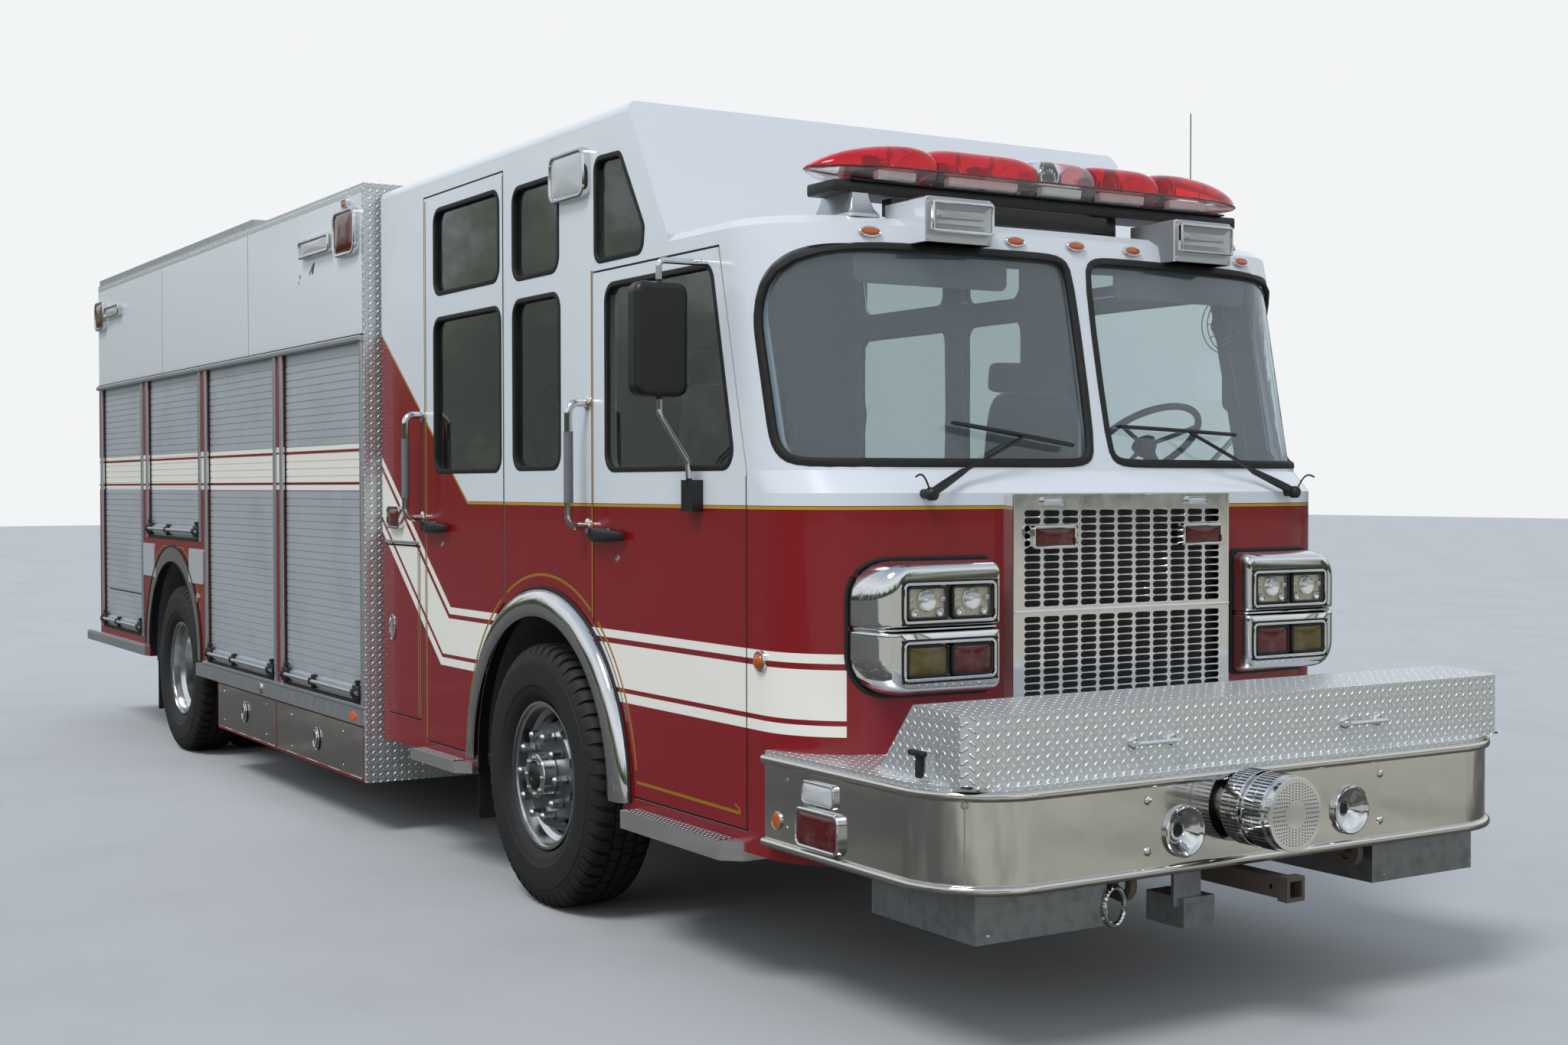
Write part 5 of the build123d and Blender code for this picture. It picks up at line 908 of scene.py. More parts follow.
# Columns: colour, rear end, front end, bottom, top, half width of the wall, how far it stands out, rim
wall_lamps = [
    ("clear", 0.120, 0.442, 2.835, 3.030, cab_half, 0.034, 0.020),
    ("red", -2.295, -1.971, 2.861, 3.094, body_half, 0.034, 0.020),
    ("red", -7.665, -7.390, 2.865, 3.076, body_half, 0.034, 0.020),
    ("amber", -2.168, -2.096, 3.098, 3.140, body_half, 0.028, 0.005),
    ("red", -1.750, -1.580, 1.512, 1.620, cab_half, 0.028, 0.012),
    ("clear", 2.010, 2.200, 0.704, 0.781, bumper_half, 0.014, 0.010),
    ("red", 1.976, 2.233, 0.562, 0.694, bumper_half, 0.020, 0.014),
]
# Columns: place ahead of the axle, height, radius, half width of the wall, how far it stands out, rim, rise
round_lamps = [
    (1.712, 1.132, 0.036, cab_half, 0.014, 0.010, 0.016),
    (1.847, 0.623, 0.030, bumper_half, 0.006, 0.003, 0.004),
    (-4.977, 1.020, 0.030, body_half, 0.008, 0.014, 0.006),
    (-3.602, 0.577, 0.030, rail_half, 0.008, 0.014, 0.006),
]
# Columns: colour, inner end, outer end, bottom, top, plane ahead of the axle, how far it stands out, rim
face_lamps = [("red", 0.241, 0.430, 1.503, 1.580, 2.157, 0.034, 0.010),
              ("clear", 0.280, 0.374, 1.640, 1.675, 2.157, 0.012, 0.005)]
plate_face = ahead(1.952)
for tag, side in sides:
    for shade, x0, x1, z0, z1, half, out, rim in wall_lamps:
        outline = box_outline(ahead(x0), ahead(x1), z0, z1, 0.24 * min(x1 - x0, z1 - z0))
        lamp(shade, outline, on_wall(side, half), out, rim)
    for x0, x1, z0, z1 in ((-2.845, -2.355, 2.910, 3.010), (-7.358, -6.922, 2.935, 3.020)):
        outline = box_outline(ahead(x0), ahead(x1), z0, z1, 0.02)
        lamp("clear", outline, on_wall(side, body_half), 0.036, 0.022, 0.004)
    for x, z, radius, half, out, rim, rise in round_lamps:
        lamp("amber", circle(ahead(x), z, radius), on_wall(side, half), out, rim, rise)
    on_back = on_face(body_back, True)
    for shade, z in (("red", 0.870), ("amber", 1.020), ("clear", 1.170)):
        lamp(shade, side_box(side, 1.040, 1.180, z - 0.070, z + 0.070, 0.02), on_back, 0.020, 0.012)
    lamp("red", side_box(side, 0.950, 1.200, 2.880, 3.080, 0.03), on_back, 0.026, 0.018)
    for shade, y0, y1, z0, z1, x, out, rim in face_lamps:
        lamp(shade, side_box(side, y0, y1, z0, z1, 0.012), on_face(ahead(x)), out, rim, 0.004)
    housings.append(slab(side_box(side, 0.419, 0.699, 2.530, 2.683, 0.012), on_face(ahead(1.858)), 0.094))
    for y in (0.430, 0.690):
        for z in (2.541, 2.676):
            housings.append(bolt_head(0.006, 0.002, 0.003, (plate_face, side * y, z), forward_axis, 10))
    on_plate = on_face(plate_face)
    scene_lens = side_box(side, 0.428, 0.688, 2.562, 2.668, 0.010)
    frames.append(ring(scene_lens, on_plate, 0.011, 0.028))
    housings.append(raised(scene_lens, on_plate, [(-0.010, 0.0), (-0.010, 0.020), (-0.030, 0.004)]))
    housings.append(tube([(ahead(1.964), side * y, 2.615) for y in (0.470, 0.558, 0.646)], 0.006))
    lenses["glass"].append(slab(lambda grow, o=scene_lens: o(grow - 0.0105), on_plate, 0.026, 0.023, 0.0005))
for s in (0.0, 0.269, 0.854):
    for tag, side in sides[:1] if s == 0.0 else sides:
        lamp("amber", circle(s, 2.563, 0.042, flat=0.45), on_nose(side), 0.014, 0.007, 0.006)
print("lamps:", len(frames), "in frames")

# %% [markdown]
# ### Headlamps
# Behind each clear glass lie a large bowl and four small ones, turned from one profile, with a bulb in each.

# %% Headlamps
# Columns: colour, inner end, outer end, bottom, top
head_lenses = [("clear", 0.598, 0.764, 1.284, 1.392), ("clear", 0.778, 0.942, 1.284, 1.392),
               ("red", 0.598, 0.764, 1.100, 1.204), ("smoked", 0.778, 0.942, 1.100, 1.204)]
# Columns: how far out and up of the glass's middle a bowl lies, and its radius
bowl_places = [(0.0, 0.008, 0.036), (-0.062, 0.012, 0.010), (0.062, 0.012, 0.010), (-0.050, -0.030, 0.015),
               (0.050, -0.030, 0.015)]
bowl_profile = np.array([[-0.0005, 0.0], [-0.0005, 1.0], [0.011, 1.0], [0.0125, 0.95], [0.010, 0.88],
                         [0.004, 0.66], [0.001, 0.30], [0.001, 0.0]])
bulb_profile = np.array([[0.001, 0.24], [0.009, 0.20], [0.0105, 0.0]])
lamp_face = ahead(2.185)
on_lamps = on_face(lamp_face)
gaskets, bowls, backings, sockets = [], [], [], []
for tag, side in sides:
    for shade, y0, y1, z0, z1 in head_lenses:
        middle = (side * (y0 + y1) / 2, (z0 + z1) / 2)
        outline = side_box(side, y0, y1, z0, z1, 0.016)
        gaskets.append(ring(outline, on_lamps, 0.008, 0.005, -0.018))
        backing = sockets if shade == "clear" else backings
        backing.append(slab(outline, on_lamps, -0.017, -0.021, 0.0005))
        if shade == "clear":
            for shift, lift, radius in bowl_places:
                centre = (lamp_face - 0.0165, middle[0] + shift, middle[1] + lift)
                bowls.append(turned(bowl_profile * [1, radius], centre, forward_axis, 28))
                bowls.append(turned(bulb_profile * [1, radius], centre, forward_axis, 12))
            glass = slab(lambda grow, o=outline: o(grow - 0.0075), on_lamps, 0.001, -0.002, 0.0008)
            lenses["glass"].append(glass)
        else:
            lenses[shade].append(domed(outline, on_lamps, -0.001, 0.005, -0.0065, -0.012))
    for z0, z1 in ((1.272, 1.404), (1.088, 1.216)):
        pair = side_box(side, 0.584, 0.956, z0, z1, 0.020)
        frames.append(ring(pair, on_lamps, 0.010, 0.006))
        gaskets.append(ring(lambda grow, o=pair: o(grow + 0.007), on_lamps, 0.007, 0.0025))
        for y in (0.584, 0.770, 0.956):
            for z in (z0, z1):
                button = [(0, 0.006), (0.004, 0.006), (0.005, 0.004)]
                gaskets.append(turned(button, (lamp_face, side * y, z), forward_axis, 8))
piece("lens_frames", frames, chrome, stands_for=["lamps"])
piece("headlamp_gaskets", gaskets, sheet_rubber)
piece("headlamp_sockets", sockets, ivory)
piece("scene_light_housings", housings, satin)
piece("headlamp_bowls", bowls + backings, chrome)
for shade, parts in lenses.items():
    piece(f"lenses_{shade}", parts, lens_finishes[shade])
tell("lamps")

# %% [markdown]
# ## Light bar
# A red dome above and a clear tray below meet at a flange, on a dark channel. Each lens is a lofted row of
# sections, whose half width narrows to a point at the bar's ends and whose height swells in each module's
# middle. Rotating reflectors and fluted lamps stand inside.

# %% Lenses of the light bar
bar_seam, bar_top, bar_bottom = 2.792, 2.890, 2.748
bar_middle, bar_depth, bar_half = ahead(1.660), 0.159, 0.979
module_edges = [-bar_half, -0.545, -0.100, 0.165, 0.475, bar_half]
ends_from = 0.56
half_turn = np.linspace(0, np.pi, 17)

def end_share(y, bluntness=0.52):
    """How much of the full size is left at a place along the bar: one in the middle, falling in an arc at the
    ends."""
    reach = np.clip((np.abs(y) - ends_from) / (bar_half + 0.004 - ends_from), 0, 1)
    return (1 - reach ** 2.2) ** bluntness

def bar_lens(y0, y1, height, fullness, bulge, count=17):
    """A row of half superellipses from y0 to y1, above the seam or, with a negative height, below it."""
    share = np.sin(np.linspace(-np.pi / 2, np.pi / 2, count))
    y = (y0 + y1) / 2 + share * (y1 - y0 - 0.004) / 2
    swell = 1 - bulge * np.abs(share) ** 6
    half = bar_depth * end_share(y) * (1 - 0.05 * np.abs(share) ** 8)
    across = np.sign(np.cos(half_turn)) * np.abs(np.cos(half_turn)) ** fullness
    rise = np.sin(half_turn) ** 0.8
    x = bar_middle + half[:, None] * across
    z = bar_seam + np.copysign(0.001, height) + height * (end_share(y, 0.70) * swell)[:, None] * rise
    return lofted(np.stack([x, np.broadcast_to(y[:, None], x.shape), z], -1))

red_domes, clear_domes, inner, dark_inner = [], [], [], []
reflector = [(0, 0.012), (0.02, 0.030), (0.05, 0.036), (0.05, 0.033), (0.022, 0.026), (0.004, 0.0)]
for y0, y1 in zip(module_edges, module_edges[1:]):
    domes = clear_domes if y0 == -0.100 else red_domes
    domes.append(bar_lens(y0, y1, bar_top - bar_seam - 0.001, 0.62, 0.22))
    clear_domes.append(bar_lens(y0, y1, bar_bottom - bar_seam + 0.001, 0.40, 0.05))
    for y in np.linspace(y0, y1, 4)[1:-1]:
        if abs(y) < 0.72:
            centre = (bar_middle - 0.02, y, bar_seam + 0.042)
            inner.append(turned(reflector, centre, (1, -0.8 * np.sign(y), 0.1), 16))
            dark_inner.append(cuboid(bar_middle - 0.05, bar_middle, y - 0.04, y + 0.04, bar_seam + 0.001,
                                     bar_seam + 0.055))
seam_y = np.sin(np.linspace(-np.pi / 2, np.pi / 2, 61)) * bar_half
seam_x = bar_depth * end_share(seam_y)
front_edge = np.stack([bar_middle + seam_x, seam_y], 1)
back_edge = np.stack([bar_middle - seam_x, seam_y], 1)
flange = np.concatenate([front_edge, back_edge[-2:0:-1]])
flange = np.column_stack([flange, np.full(len(flange), bar_seam)])[::2]
piece("light_bar_red_domes", red_domes, dome_finish, stands_for=["light_bar_lenses"])
piece("light_bar_clear_lenses", clear_domes, thin_clear)
piece("light_bar_flange", [tube(flange, 0.0035, 8)], lens_finishes["red"])
piece("light_bar_reflectors", inner, chrome)
piece("light_bar_motors", dark_inner, black_plastic)
tell("light bar's lenses")

# %% [markdown]
# ### Under the lenses
# Fluted lamps look out through the clear tray: their fronts are a zigzag of 29 columns.

# %% Channel, feet and fluted lamps under the lenses
flutes = []
for y0, y1 in zip(module_edges, module_edges[1:]):
    for middle in ((y0 * 0.66 + y1 * 0.34), (y0 * 0.34 + y1 * 0.66)):
        if abs(middle) < 0.8:
            wide = 0.36 * (y1 - y0) / 2
            flute_y = np.linspace(middle - wide, middle + wide, 29)
            depth = bar_middle + 0.118 + 0.004 * (np.arange(29) % 2)
            for way in (1, -1):
                x = bar_middle + way * (depth - bar_middle)
                section = ((x - way * 0.03, 2.756), (x, 2.756), (x, 2.786), (x - way * 0.03, 2.786))
                rings = [np.stack([at, flute_y, np.full(29, z)], 1) for at, z in section]
                flutes.append(lofted(np.stack(rings, 1)))
piece("light_bar_lamps", flutes, lamp_white)
channel = [cuboid(bar_middle - 0.085, bar_middle + 0.085, -0.930, 0.930, 2.706, 2.7465, 0.006),
           cuboid(bar_middle - 0.10, bar_middle + 0.10, -0.860, 0.860, 2.7475, 2.754, 0.004),
           cuboid(bar_middle + 0.035, bar_middle + 0.095, -0.700, 0.270, 2.640, 2.698, 0.004)]
feet = []
foot_levels = [(0.020, 2.6203), (0.018, 2.632), (0.0, 2.650), (-0.016, 2.690), (-0.018, 2.7055)]
for side in (-1, 1):
    channel.append(cuboid(bar_middle - 0.04, bar_middle + 0.04, side * 0.30, side * 0.36, 2.6205, 2.705))
    foot = box_outline(bar_middle - 0.115, bar_middle + 0.115, *sorted((side * 0.780, side * 0.880)), 0.012)
    feet.append(raised(foot, on_top(0.0), foot_levels))
piece("light_bar_channel", channel, black_plastic, stands_for=["light_bar"])
piece("light_bar_feet", feet, satin)
tell("light bar's channel")

# %% [markdown]
# ## Mirrors, grab handles and locks
# The mirror heads are black plastic on chrome tube. The grab handles have a ribbed grey sleeve: a turned part
# whose radius changes at every step.

# %% Mirror glass, sleeves, locks and hatch latches
flange_profile = [(0, 0.030), (0.004, 0.030), (0.008, 0.024)]
lock_profile = [(0, 0.015), (0.003, 0.014), (0.0035, 0.005), (0.001, 0.004), (0.001, 0.0)]
latch_x = ahead(-1.741)
for tag, side in sides:
    wall = on_wall(side, cab_half)
    out_axis = (0, side, 0)
    glass_face = side_box(side, 1.300, 1.470, 2.040, 2.395, 0.03)
    piece(f"mirror_glass_{tag}", [slab(glass_face, on_face(ahead(1.319), True), 0.003)], mirror_glass,
          f"door_front_{tag}")
    flanges, sleeves = [], []
    for x, low, high, ends in ((0.412, 1.650, 1.925, (1.559, 2.037)), (-1.335, 1.660, 1.935, (1.568, 2.046))):
        ribs = np.linspace(0, high - low, 46)
        radius = np.where(np.arange(46) % 2, 0.0195, 0.0178)
        foot = (ahead(x), side * (cab_half + 0.085), low)
        sleeves.append(turned(np.stack([ribs, radius], 1), foot, upward_axis, 20))
        for z in ends:
            flanges.append(turned(flange_profile, (ahead(x), side * (cab_half + 0.0004), z), out_axis, 20))
    piece(f"grips_{tag}", sleeves, grey_rubber)
    piece(f"grip_flanges_{tag}", flanges, chrome)
    for body, x, z in ((f"door_front_{tag}", 0.660, 1.440), (f"door_crew_{tag}", -1.100, 1.450)):
        lock = turned(lock_profile, (ahead(x), side * cab_half, z), out_axis, 16)
        piece(f"lock_{body}", [lock], chrome, body)
    oval = circle(latch_x, 1.033, 0.040, flat=1.6)
    pull = [(latch_x, side * (cab_half + out), z)
            for out, z in ((0.008, 0.985), (0.016, 1.010), (0.016, 1.055), (0.008, 1.080))]
    latch = [ring(oval, wall, 0.010, 0.006), domed(oval, wall, 0.001, 0.003, -0.010), tube(pull, 0.005)]
    piece(f"hatch_latch_{tag}", latch, chrome, f"hatch_{tag}")
    strip = box_outline(ahead(-1.815), ahead(-1.385), 1.444, 1.456, 0.003)
    piece(f"hatch_drip_{tag}", [slab(strip, wall, 0.012)], satin)
tell("mirrors, grips and locks")

# %% [markdown]
# ## Gold pinstripes
# Strips of gold leaf run along the doors' rear edges, round the front arch and along the front door's foot.

# %% Pinstripes
gold_wide, gold_narrow = 0.011, 0.008
arch_turn, rear_turn = np.radians(np.linspace(6, 174, 72)), np.radians(np.linspace(25, 155, 50))
rear_arch_z = 0.632
round_arch = np.stack([front_axle + 0.818 * np.cos(arch_turn), axle_height + 0.818 * np.sin(arch_turn)], 1)
round_rear = np.stack([rear_arch_x + 0.735 * np.cos(rear_turn), rear_arch_z + 0.735 * np.sin(rear_turn)], 1)
arch_x, arch_z = round_arch.T
foot = [(ahead(0.812), 0.612), (ahead(1.575), 0.606)]
flourish = [(ahead(1.575), 0.606), (ahead(1.560), 0.622), (ahead(1.535), 0.632)]
# Columns: name, body that it rides on, then for each line its path and width
stripes = [
    ("gold_front_door", "door_front", [(round_arch[(arch_x > ahead(0.468)) & (arch_z > 0.640)], gold_wide),
                                       (foot, gold_wide), (flourish, 0.006)]),
    ("gold_wall", None, [(round_arch[(arch_x < ahead(0.450)) & (arch_x > ahead(-0.390))], gold_wide),
                         ([(ahead(0.446), 1.205), (ahead(0.446), 2.546)], gold_wide)]),
    ("gold_crew_door", "door_crew", [(round_arch[arch_x < ahead(-0.405)], gold_wide),
                                     ([(ahead(-1.291), 0.545), (ahead(-1.291), 3.030)], gold_wide)]),
    ("gold_hatch", "hatch", [([(ahead(-1.402), 0.640), (ahead(-1.402), 1.415)], gold_narrow)]),
]
for tag, side in sides:
    wall = on_wall(side, cab_half)
    for name, body, lines in stripes:
        parts = [ribbon(path, wide, wall) for path, wide in lines]
        piece(f"{name}_{tag}", parts, gold_leaf, f"{body}_{tag}" if body else "truck")
    body_line = ribbon(round_rear[round_rear[:, 1] < 1.33], gold_narrow, on_wall(side, body_half))
    piece(f"gold_body_{tag}", [body_line], gold_leaf)
tell("pinstripes")

# %% [markdown]
# ## Front flares
# The flare is rolled from polished stainless into a half-round and swept round the axle, with a black rubber
# bead between it and the cab. Thinner beads edge the body's arches.

# %% Half-round flares and rubber beads
# Columns: how far out of the cab's wall, and the radius about the axle
flare_section = np.array([[0.0010, 0.7605], [0.0150, 0.7600], [0.0290, 0.7520], [0.0395, 0.7370],
                          [0.0455, 0.7180], [0.0475, 0.6970], [0.0475, 0.6760], [0.0455, 0.6600],
                          [0.0400, 0.6500], [0.0320, 0.6500], [0.0100, 0.6960], [0.0010, 0.7400]])
# Columns: middle of the arch, its height, radius, half width of the wall, the bead's own radius
bead_rows = [(front_axle, axle_height, 0.766, cab_half, 0.006),
             (rear_arch_x, rear_arch_z, 0.696, body_half, 0.006),
             (rear_arch_x, rear_arch_z, 0.596, body_half + 0.002, 0.005)]
flare_foot = np.arcsin((0.528 - axle_height) / 0.70)
sweep = np.linspace(flare_foot, np.pi - flare_foot, 90)[:, None]
for tag, side in sides:
    out, radius = flare_section.T
    rings = np.stack([front_axle + radius * np.cos(sweep), side * (cab_half + out + 0 * sweep),
                      axle_height + radius * np.sin(sweep)], -1)
    piece(f"flare_{tag}", [lofted(rings)], chrome)
    beads = []
    for x, z, radius, half, thick in bead_rows:
        path = np.stack([x + radius * np.cos(sweep[::2, 0]), np.full(45, side * (half + thick * 0.8)),
                         z + radius * np.sin(sweep[::2, 0])], 1)
        beads.append(tube(path, thick, 8))
    piece(f"arch_beads_{tag}", beads, sheet_rubber)
tell("flares and beads")

# %% [markdown]
# ## Siren
# The siren is a chromed drum with slots and a pierced face. Hundreds of real holes would cost many faces, so each
# is a thin dark part that just stands proud of the chrome, as painted shade of the opening.

# %% Siren
siren_centre = np.array([ahead(2.827), -0.118, 0.716])
slit_count, slit_wide, slit_long = 56, 0.0048, 0.030
box_faces = np.array([[0, 1, 3, 2], [4, 6, 7, 5], [0, 4, 5, 1], [2, 3, 7, 6], [0, 2, 6, 4], [1, 5, 7, 3]])
angle = full_turn(slit_count)[:, None] + np.array([-slit_wide / 2, slit_wide / 2]) / 0.118
way = np.stack([0 * angle, np.cos(angle), np.sin(angle)], -1)
slots = []
for start in (0.028, 0.062, 0.124, 0.158):
    ends = [np.array([siren_centre[0] + at, *siren_centre[1:]]) for at in (start, start + slit_long)]
    corners = [radius * way[:, edge] + end for radius in (0.1155, 0.1187) for end in ends for edge in (0, 1)]
    faces = (box_faces + 8 * np.arange(slit_count)[:, None, None]).reshape(-1, 4)
    slots.append((np.stack(corners, 1).reshape(-1, 3), [faces]))
hole = turned([(0, 0.0027), (0.0003, 0.0026)], (0, 0, 0), forward_axis, 6)
# Columns: radius of a circle of holes, and how many it has
for radius, count in ((0.047, 20), (0.055, 24), (0.063, 28), (0.071, 32), (0.079, 36), (0.087, 40), (0.095, 44)):
    angle = full_turn(count)
    spots = np.stack([0 * angle, radius * np.cos(angle), radius * np.sin(angle)], 1)
    slots.append(many(hole, spots + (ahead(3.0521), *siren_centre[1:])))
# The dark slots and holes are painted shade, where the real drum is open.
piece("siren_slots", slots, black_plastic)
outer_ring = [(0, 0.112), (0.004, 0.1135), (0.0059, 0.110), (0.0059, 0.101), (0, 0.099)]
boss = [(0, 0.040), (0.0058, 0.039), (0.0058, 0.028), (0.004, 0.026), (0.004, 0.0)]
face = (ahead(3.046), *siren_centre[1:])
piece("siren_rings", [turned(profile, face, forward_axis) for profile in (outer_ring, boss)], chrome)
tell("siren")

# %% [markdown]
# ## Bumper fittings
# The horns are spun bells: a rolled lip leads into a throat that narrows as a power of its depth, and a black
# disc at its end is painted shade of the opening. The bumper's skin is welded at its corners and bolted to
# brackets.

# %% Horn bells, welds and bolts
bells, throats, welds, bolts = [], [], [], []
bell_share = np.linspace(1, 0, 12)
bell_profile = np.stack([-0.0262 + 0.034 * bell_share, 0.019 + 0.047 * bell_share ** 1.7], 1)
bell_lip = [(-0.028, 0.0), (-0.028, 0.030), (0.0, 0.076), (0.010, 0.0805), (0.0145, 0.0785), (0.0155, 0.074),
            (0.0125, 0.069)]
bolt_profile = [(0, 0.014), (0.003, 0.013), (0.006, 0.008), (0.0065, 0.0)]
weld_profile = [(-0.004, 0.0), (-0.003, 0.011), (0.001, 0.012), (0.003, 0.010), (0.004, 0.0)]
bumper_face = ahead(2.827)
corner_radius = 0.280
drawn_in = corner_radius * (1 - 0.5 ** 0.5)
for tag, side in sides:
    mouth = (ahead(2.828), side * 0.365, 0.656)
    bells.append(turned([*bell_lip, *bell_profile, (-0.0262, 0.0)], mouth, forward_axis, 48))
    # A black disc at the throat's end: painted shade where the horn opens inwards.
    throats.append(turned([(-0.0262, 0.0185), (-0.0250, 0.0180), (-0.0245, 0.0)], mouth, forward_axis, 24))
    for z in (0.607, 0.762):
        bolts.append(turned(bolt_profile, (bumper_face, side * 0.511, z), forward_axis, 16))
        bolts.append(bolt_head(0.009, 0.003, 0.0045, (ahead(1.905), side * bumper_half, z), (0, side, 0), 16))
    corner = np.array([bumper_face - drawn_in, side * (bumper_half - drawn_in)])
    way = np.array([1, side]) / 2 ** 0.5
    bead = np.column_stack([np.tile(corner + way * 0.0005, (9, 1)), np.linspace(0.556, 0.790, 9)])
    welds.append(tube(bead, 0.0028, 8))
    welds.append(turned(weld_profile, (*corner, 0.792), (*way, 0), 20))
piece("horn_bells", bells, chrome)
piece("horn_throats", throats, black_plastic)
piece("bumper_bolts", bolts, chrome)
piece("bumper_welds", welds, weld_metal)
tell("horns, bolts and welds")

# %% [markdown]
# ### Lid
# Rubber draw latches, a seal and cast handle feet all ride on the lid.

# %% Lid fittings
lid_half = 1.167
latch_x = ahead(2.593)
for tag, side in sides:
    strap_y = (side * (lid_half + 0.0165), side * (lid_half + 0.030))
    head_y = (side * (lid_half + 0.018), side * (lid_half + 0.040))
    grip = [cuboid(latch_x - 0.015, latch_x + 0.015, *strap_y, 0.856, 0.925, 0.006),
            cuboid(latch_x - 0.040, latch_x + 0.040, *head_y, 0.922, 0.938, 0.007)]
    piece(f"draw_latch_{tag}", grip, sheet_rubber, "bumper_lid")
seal = box_outline(ahead(2.352), ahead(2.786), -lid_half + 0.003, lid_half - 0.003, 0.012)
lid_levels = [(0.0, 0), (0.002, 0.002), (0.0, 0.005), (-0.020, 0.005), (-0.020, 0)]
piece("lid_seal", [raised(seal, on_top(0.8452), lid_levels, closed=True)], sheet_rubber, "bumper_lid")
handle_feet = []
cast_levels = [(0, 0), (0, 0.003), (-0.004, 0.008), (-0.010, 0.011)]
for y in (-0.537, -0.383, 0.383, 0.537):
    foot = circle(y, 0.935, 0.020, flat=1.25)
    handle_feet.append(raised(foot, on_face(ahead(2.7905)), cast_levels))
piece("lid_handle_feet", handle_feet, chrome, "bumper_lid")
tell("lid")

# %% [markdown]
# ## Wipers
# Each wiper has a cast arm that tapers from a round head, and a blade with claws that hold a rubber edge. Both
# are straight lines on the flat nose, raised by a sine and laid on by the nose's own place.

# %% Wiper arms and blades
# Columns: side, spindle, arm's end, blade's two ends, each as distance round the nose and height
wiper_table = [(-1, (0.800, 1.687), (0.357, 1.883), (0.628, 1.923), (0.147, 1.852)),
               (1, (0.866, 1.688), (0.401, 1.903), (0.078, 1.920), (0.656, 1.899))]
spindle_profile = [(0.0, 0.016), (0.030, 0.016), (0.036, 0.022), (0.058, 0.022), (0.066, 0.014), (0.067, 0.0)]
arm_corners = ((-1, -0.005), (1, -0.005), (0.7, 0.006), (-0.7, 0.006))
share = np.linspace(0, 1, 15)[:, None]
arch = np.sin(np.pi * share[:, 0])
wiper_parts = []
for side, spindle, arm_end, first, last in wiper_table:
    place = on_nose(side)
    base = place(np.array([spindle]), 0.0)[0]
    wiper_parts.append(turned(spindle_profile, base - (0.004, 0, 0), forward_axis, 24))
    arm_flat = np.array(spindle) + (np.array(arm_end) - spindle) * share
    arm = place(arm_flat, 0.045 + 0.012 * arch)
    half_width = np.interp(share[:, 0], [0, 0.10, 0.35, 0.42, 1], [0.014, 0.016, 0.012, 0.006, 0.005])
    along = np.gradient(arm, axis=0)
    along /= np.linalg.norm(along, axis=1, keepdims=True)
    up = np.cross(along, np.array([1.0, 0, 0]))
    up /= np.linalg.norm(up, axis=1, keepdims=True)
    corners = [arm + up * half_width[:, None] * a + np.array([b, 0, 0]) for a, b in arm_corners]
    wiper_parts.append(lofted(np.stack(corners, 1)))
    hose_end = arm[0] + np.array([0.02, side * 0.075, 0.055])
    hose = arm[0] + (hose_end - arm[0]) * share + np.array([0, 0, 0.030]) * np.sin(np.pi * share)
    wiper_parts.append(tube(hose, 0.0032, 8))
    blade = np.array(first) + (np.array(last) - first) * share
    wiper_parts.append(ribbon(blade, 0.010, lambda flat, out, p=place: p(flat, 0.008 + out), 0.018))
    spring = place(blade, 0.028 + 0.012 * arch)
    wiper_parts.append(tube(spring, 0.0075, 8))
    for i in (2, 5, 9, 12):
        wiper_parts.append(tube([spring[i], place(blade[i:i + 1], 0.012)[0]], 0.006, 8))
piece("wipers_dressed", wiper_parts, black_plastic, stands_for=["wipers"])
tell("wipers")

# %% [markdown]
# ## Body fittings
# A roll-up shutter runs in side tracks under a drip rail, and is locked by a lift bar: a tube held by black
# latch blocks. The walls above are sheets whose seams show as thin sealed lines.

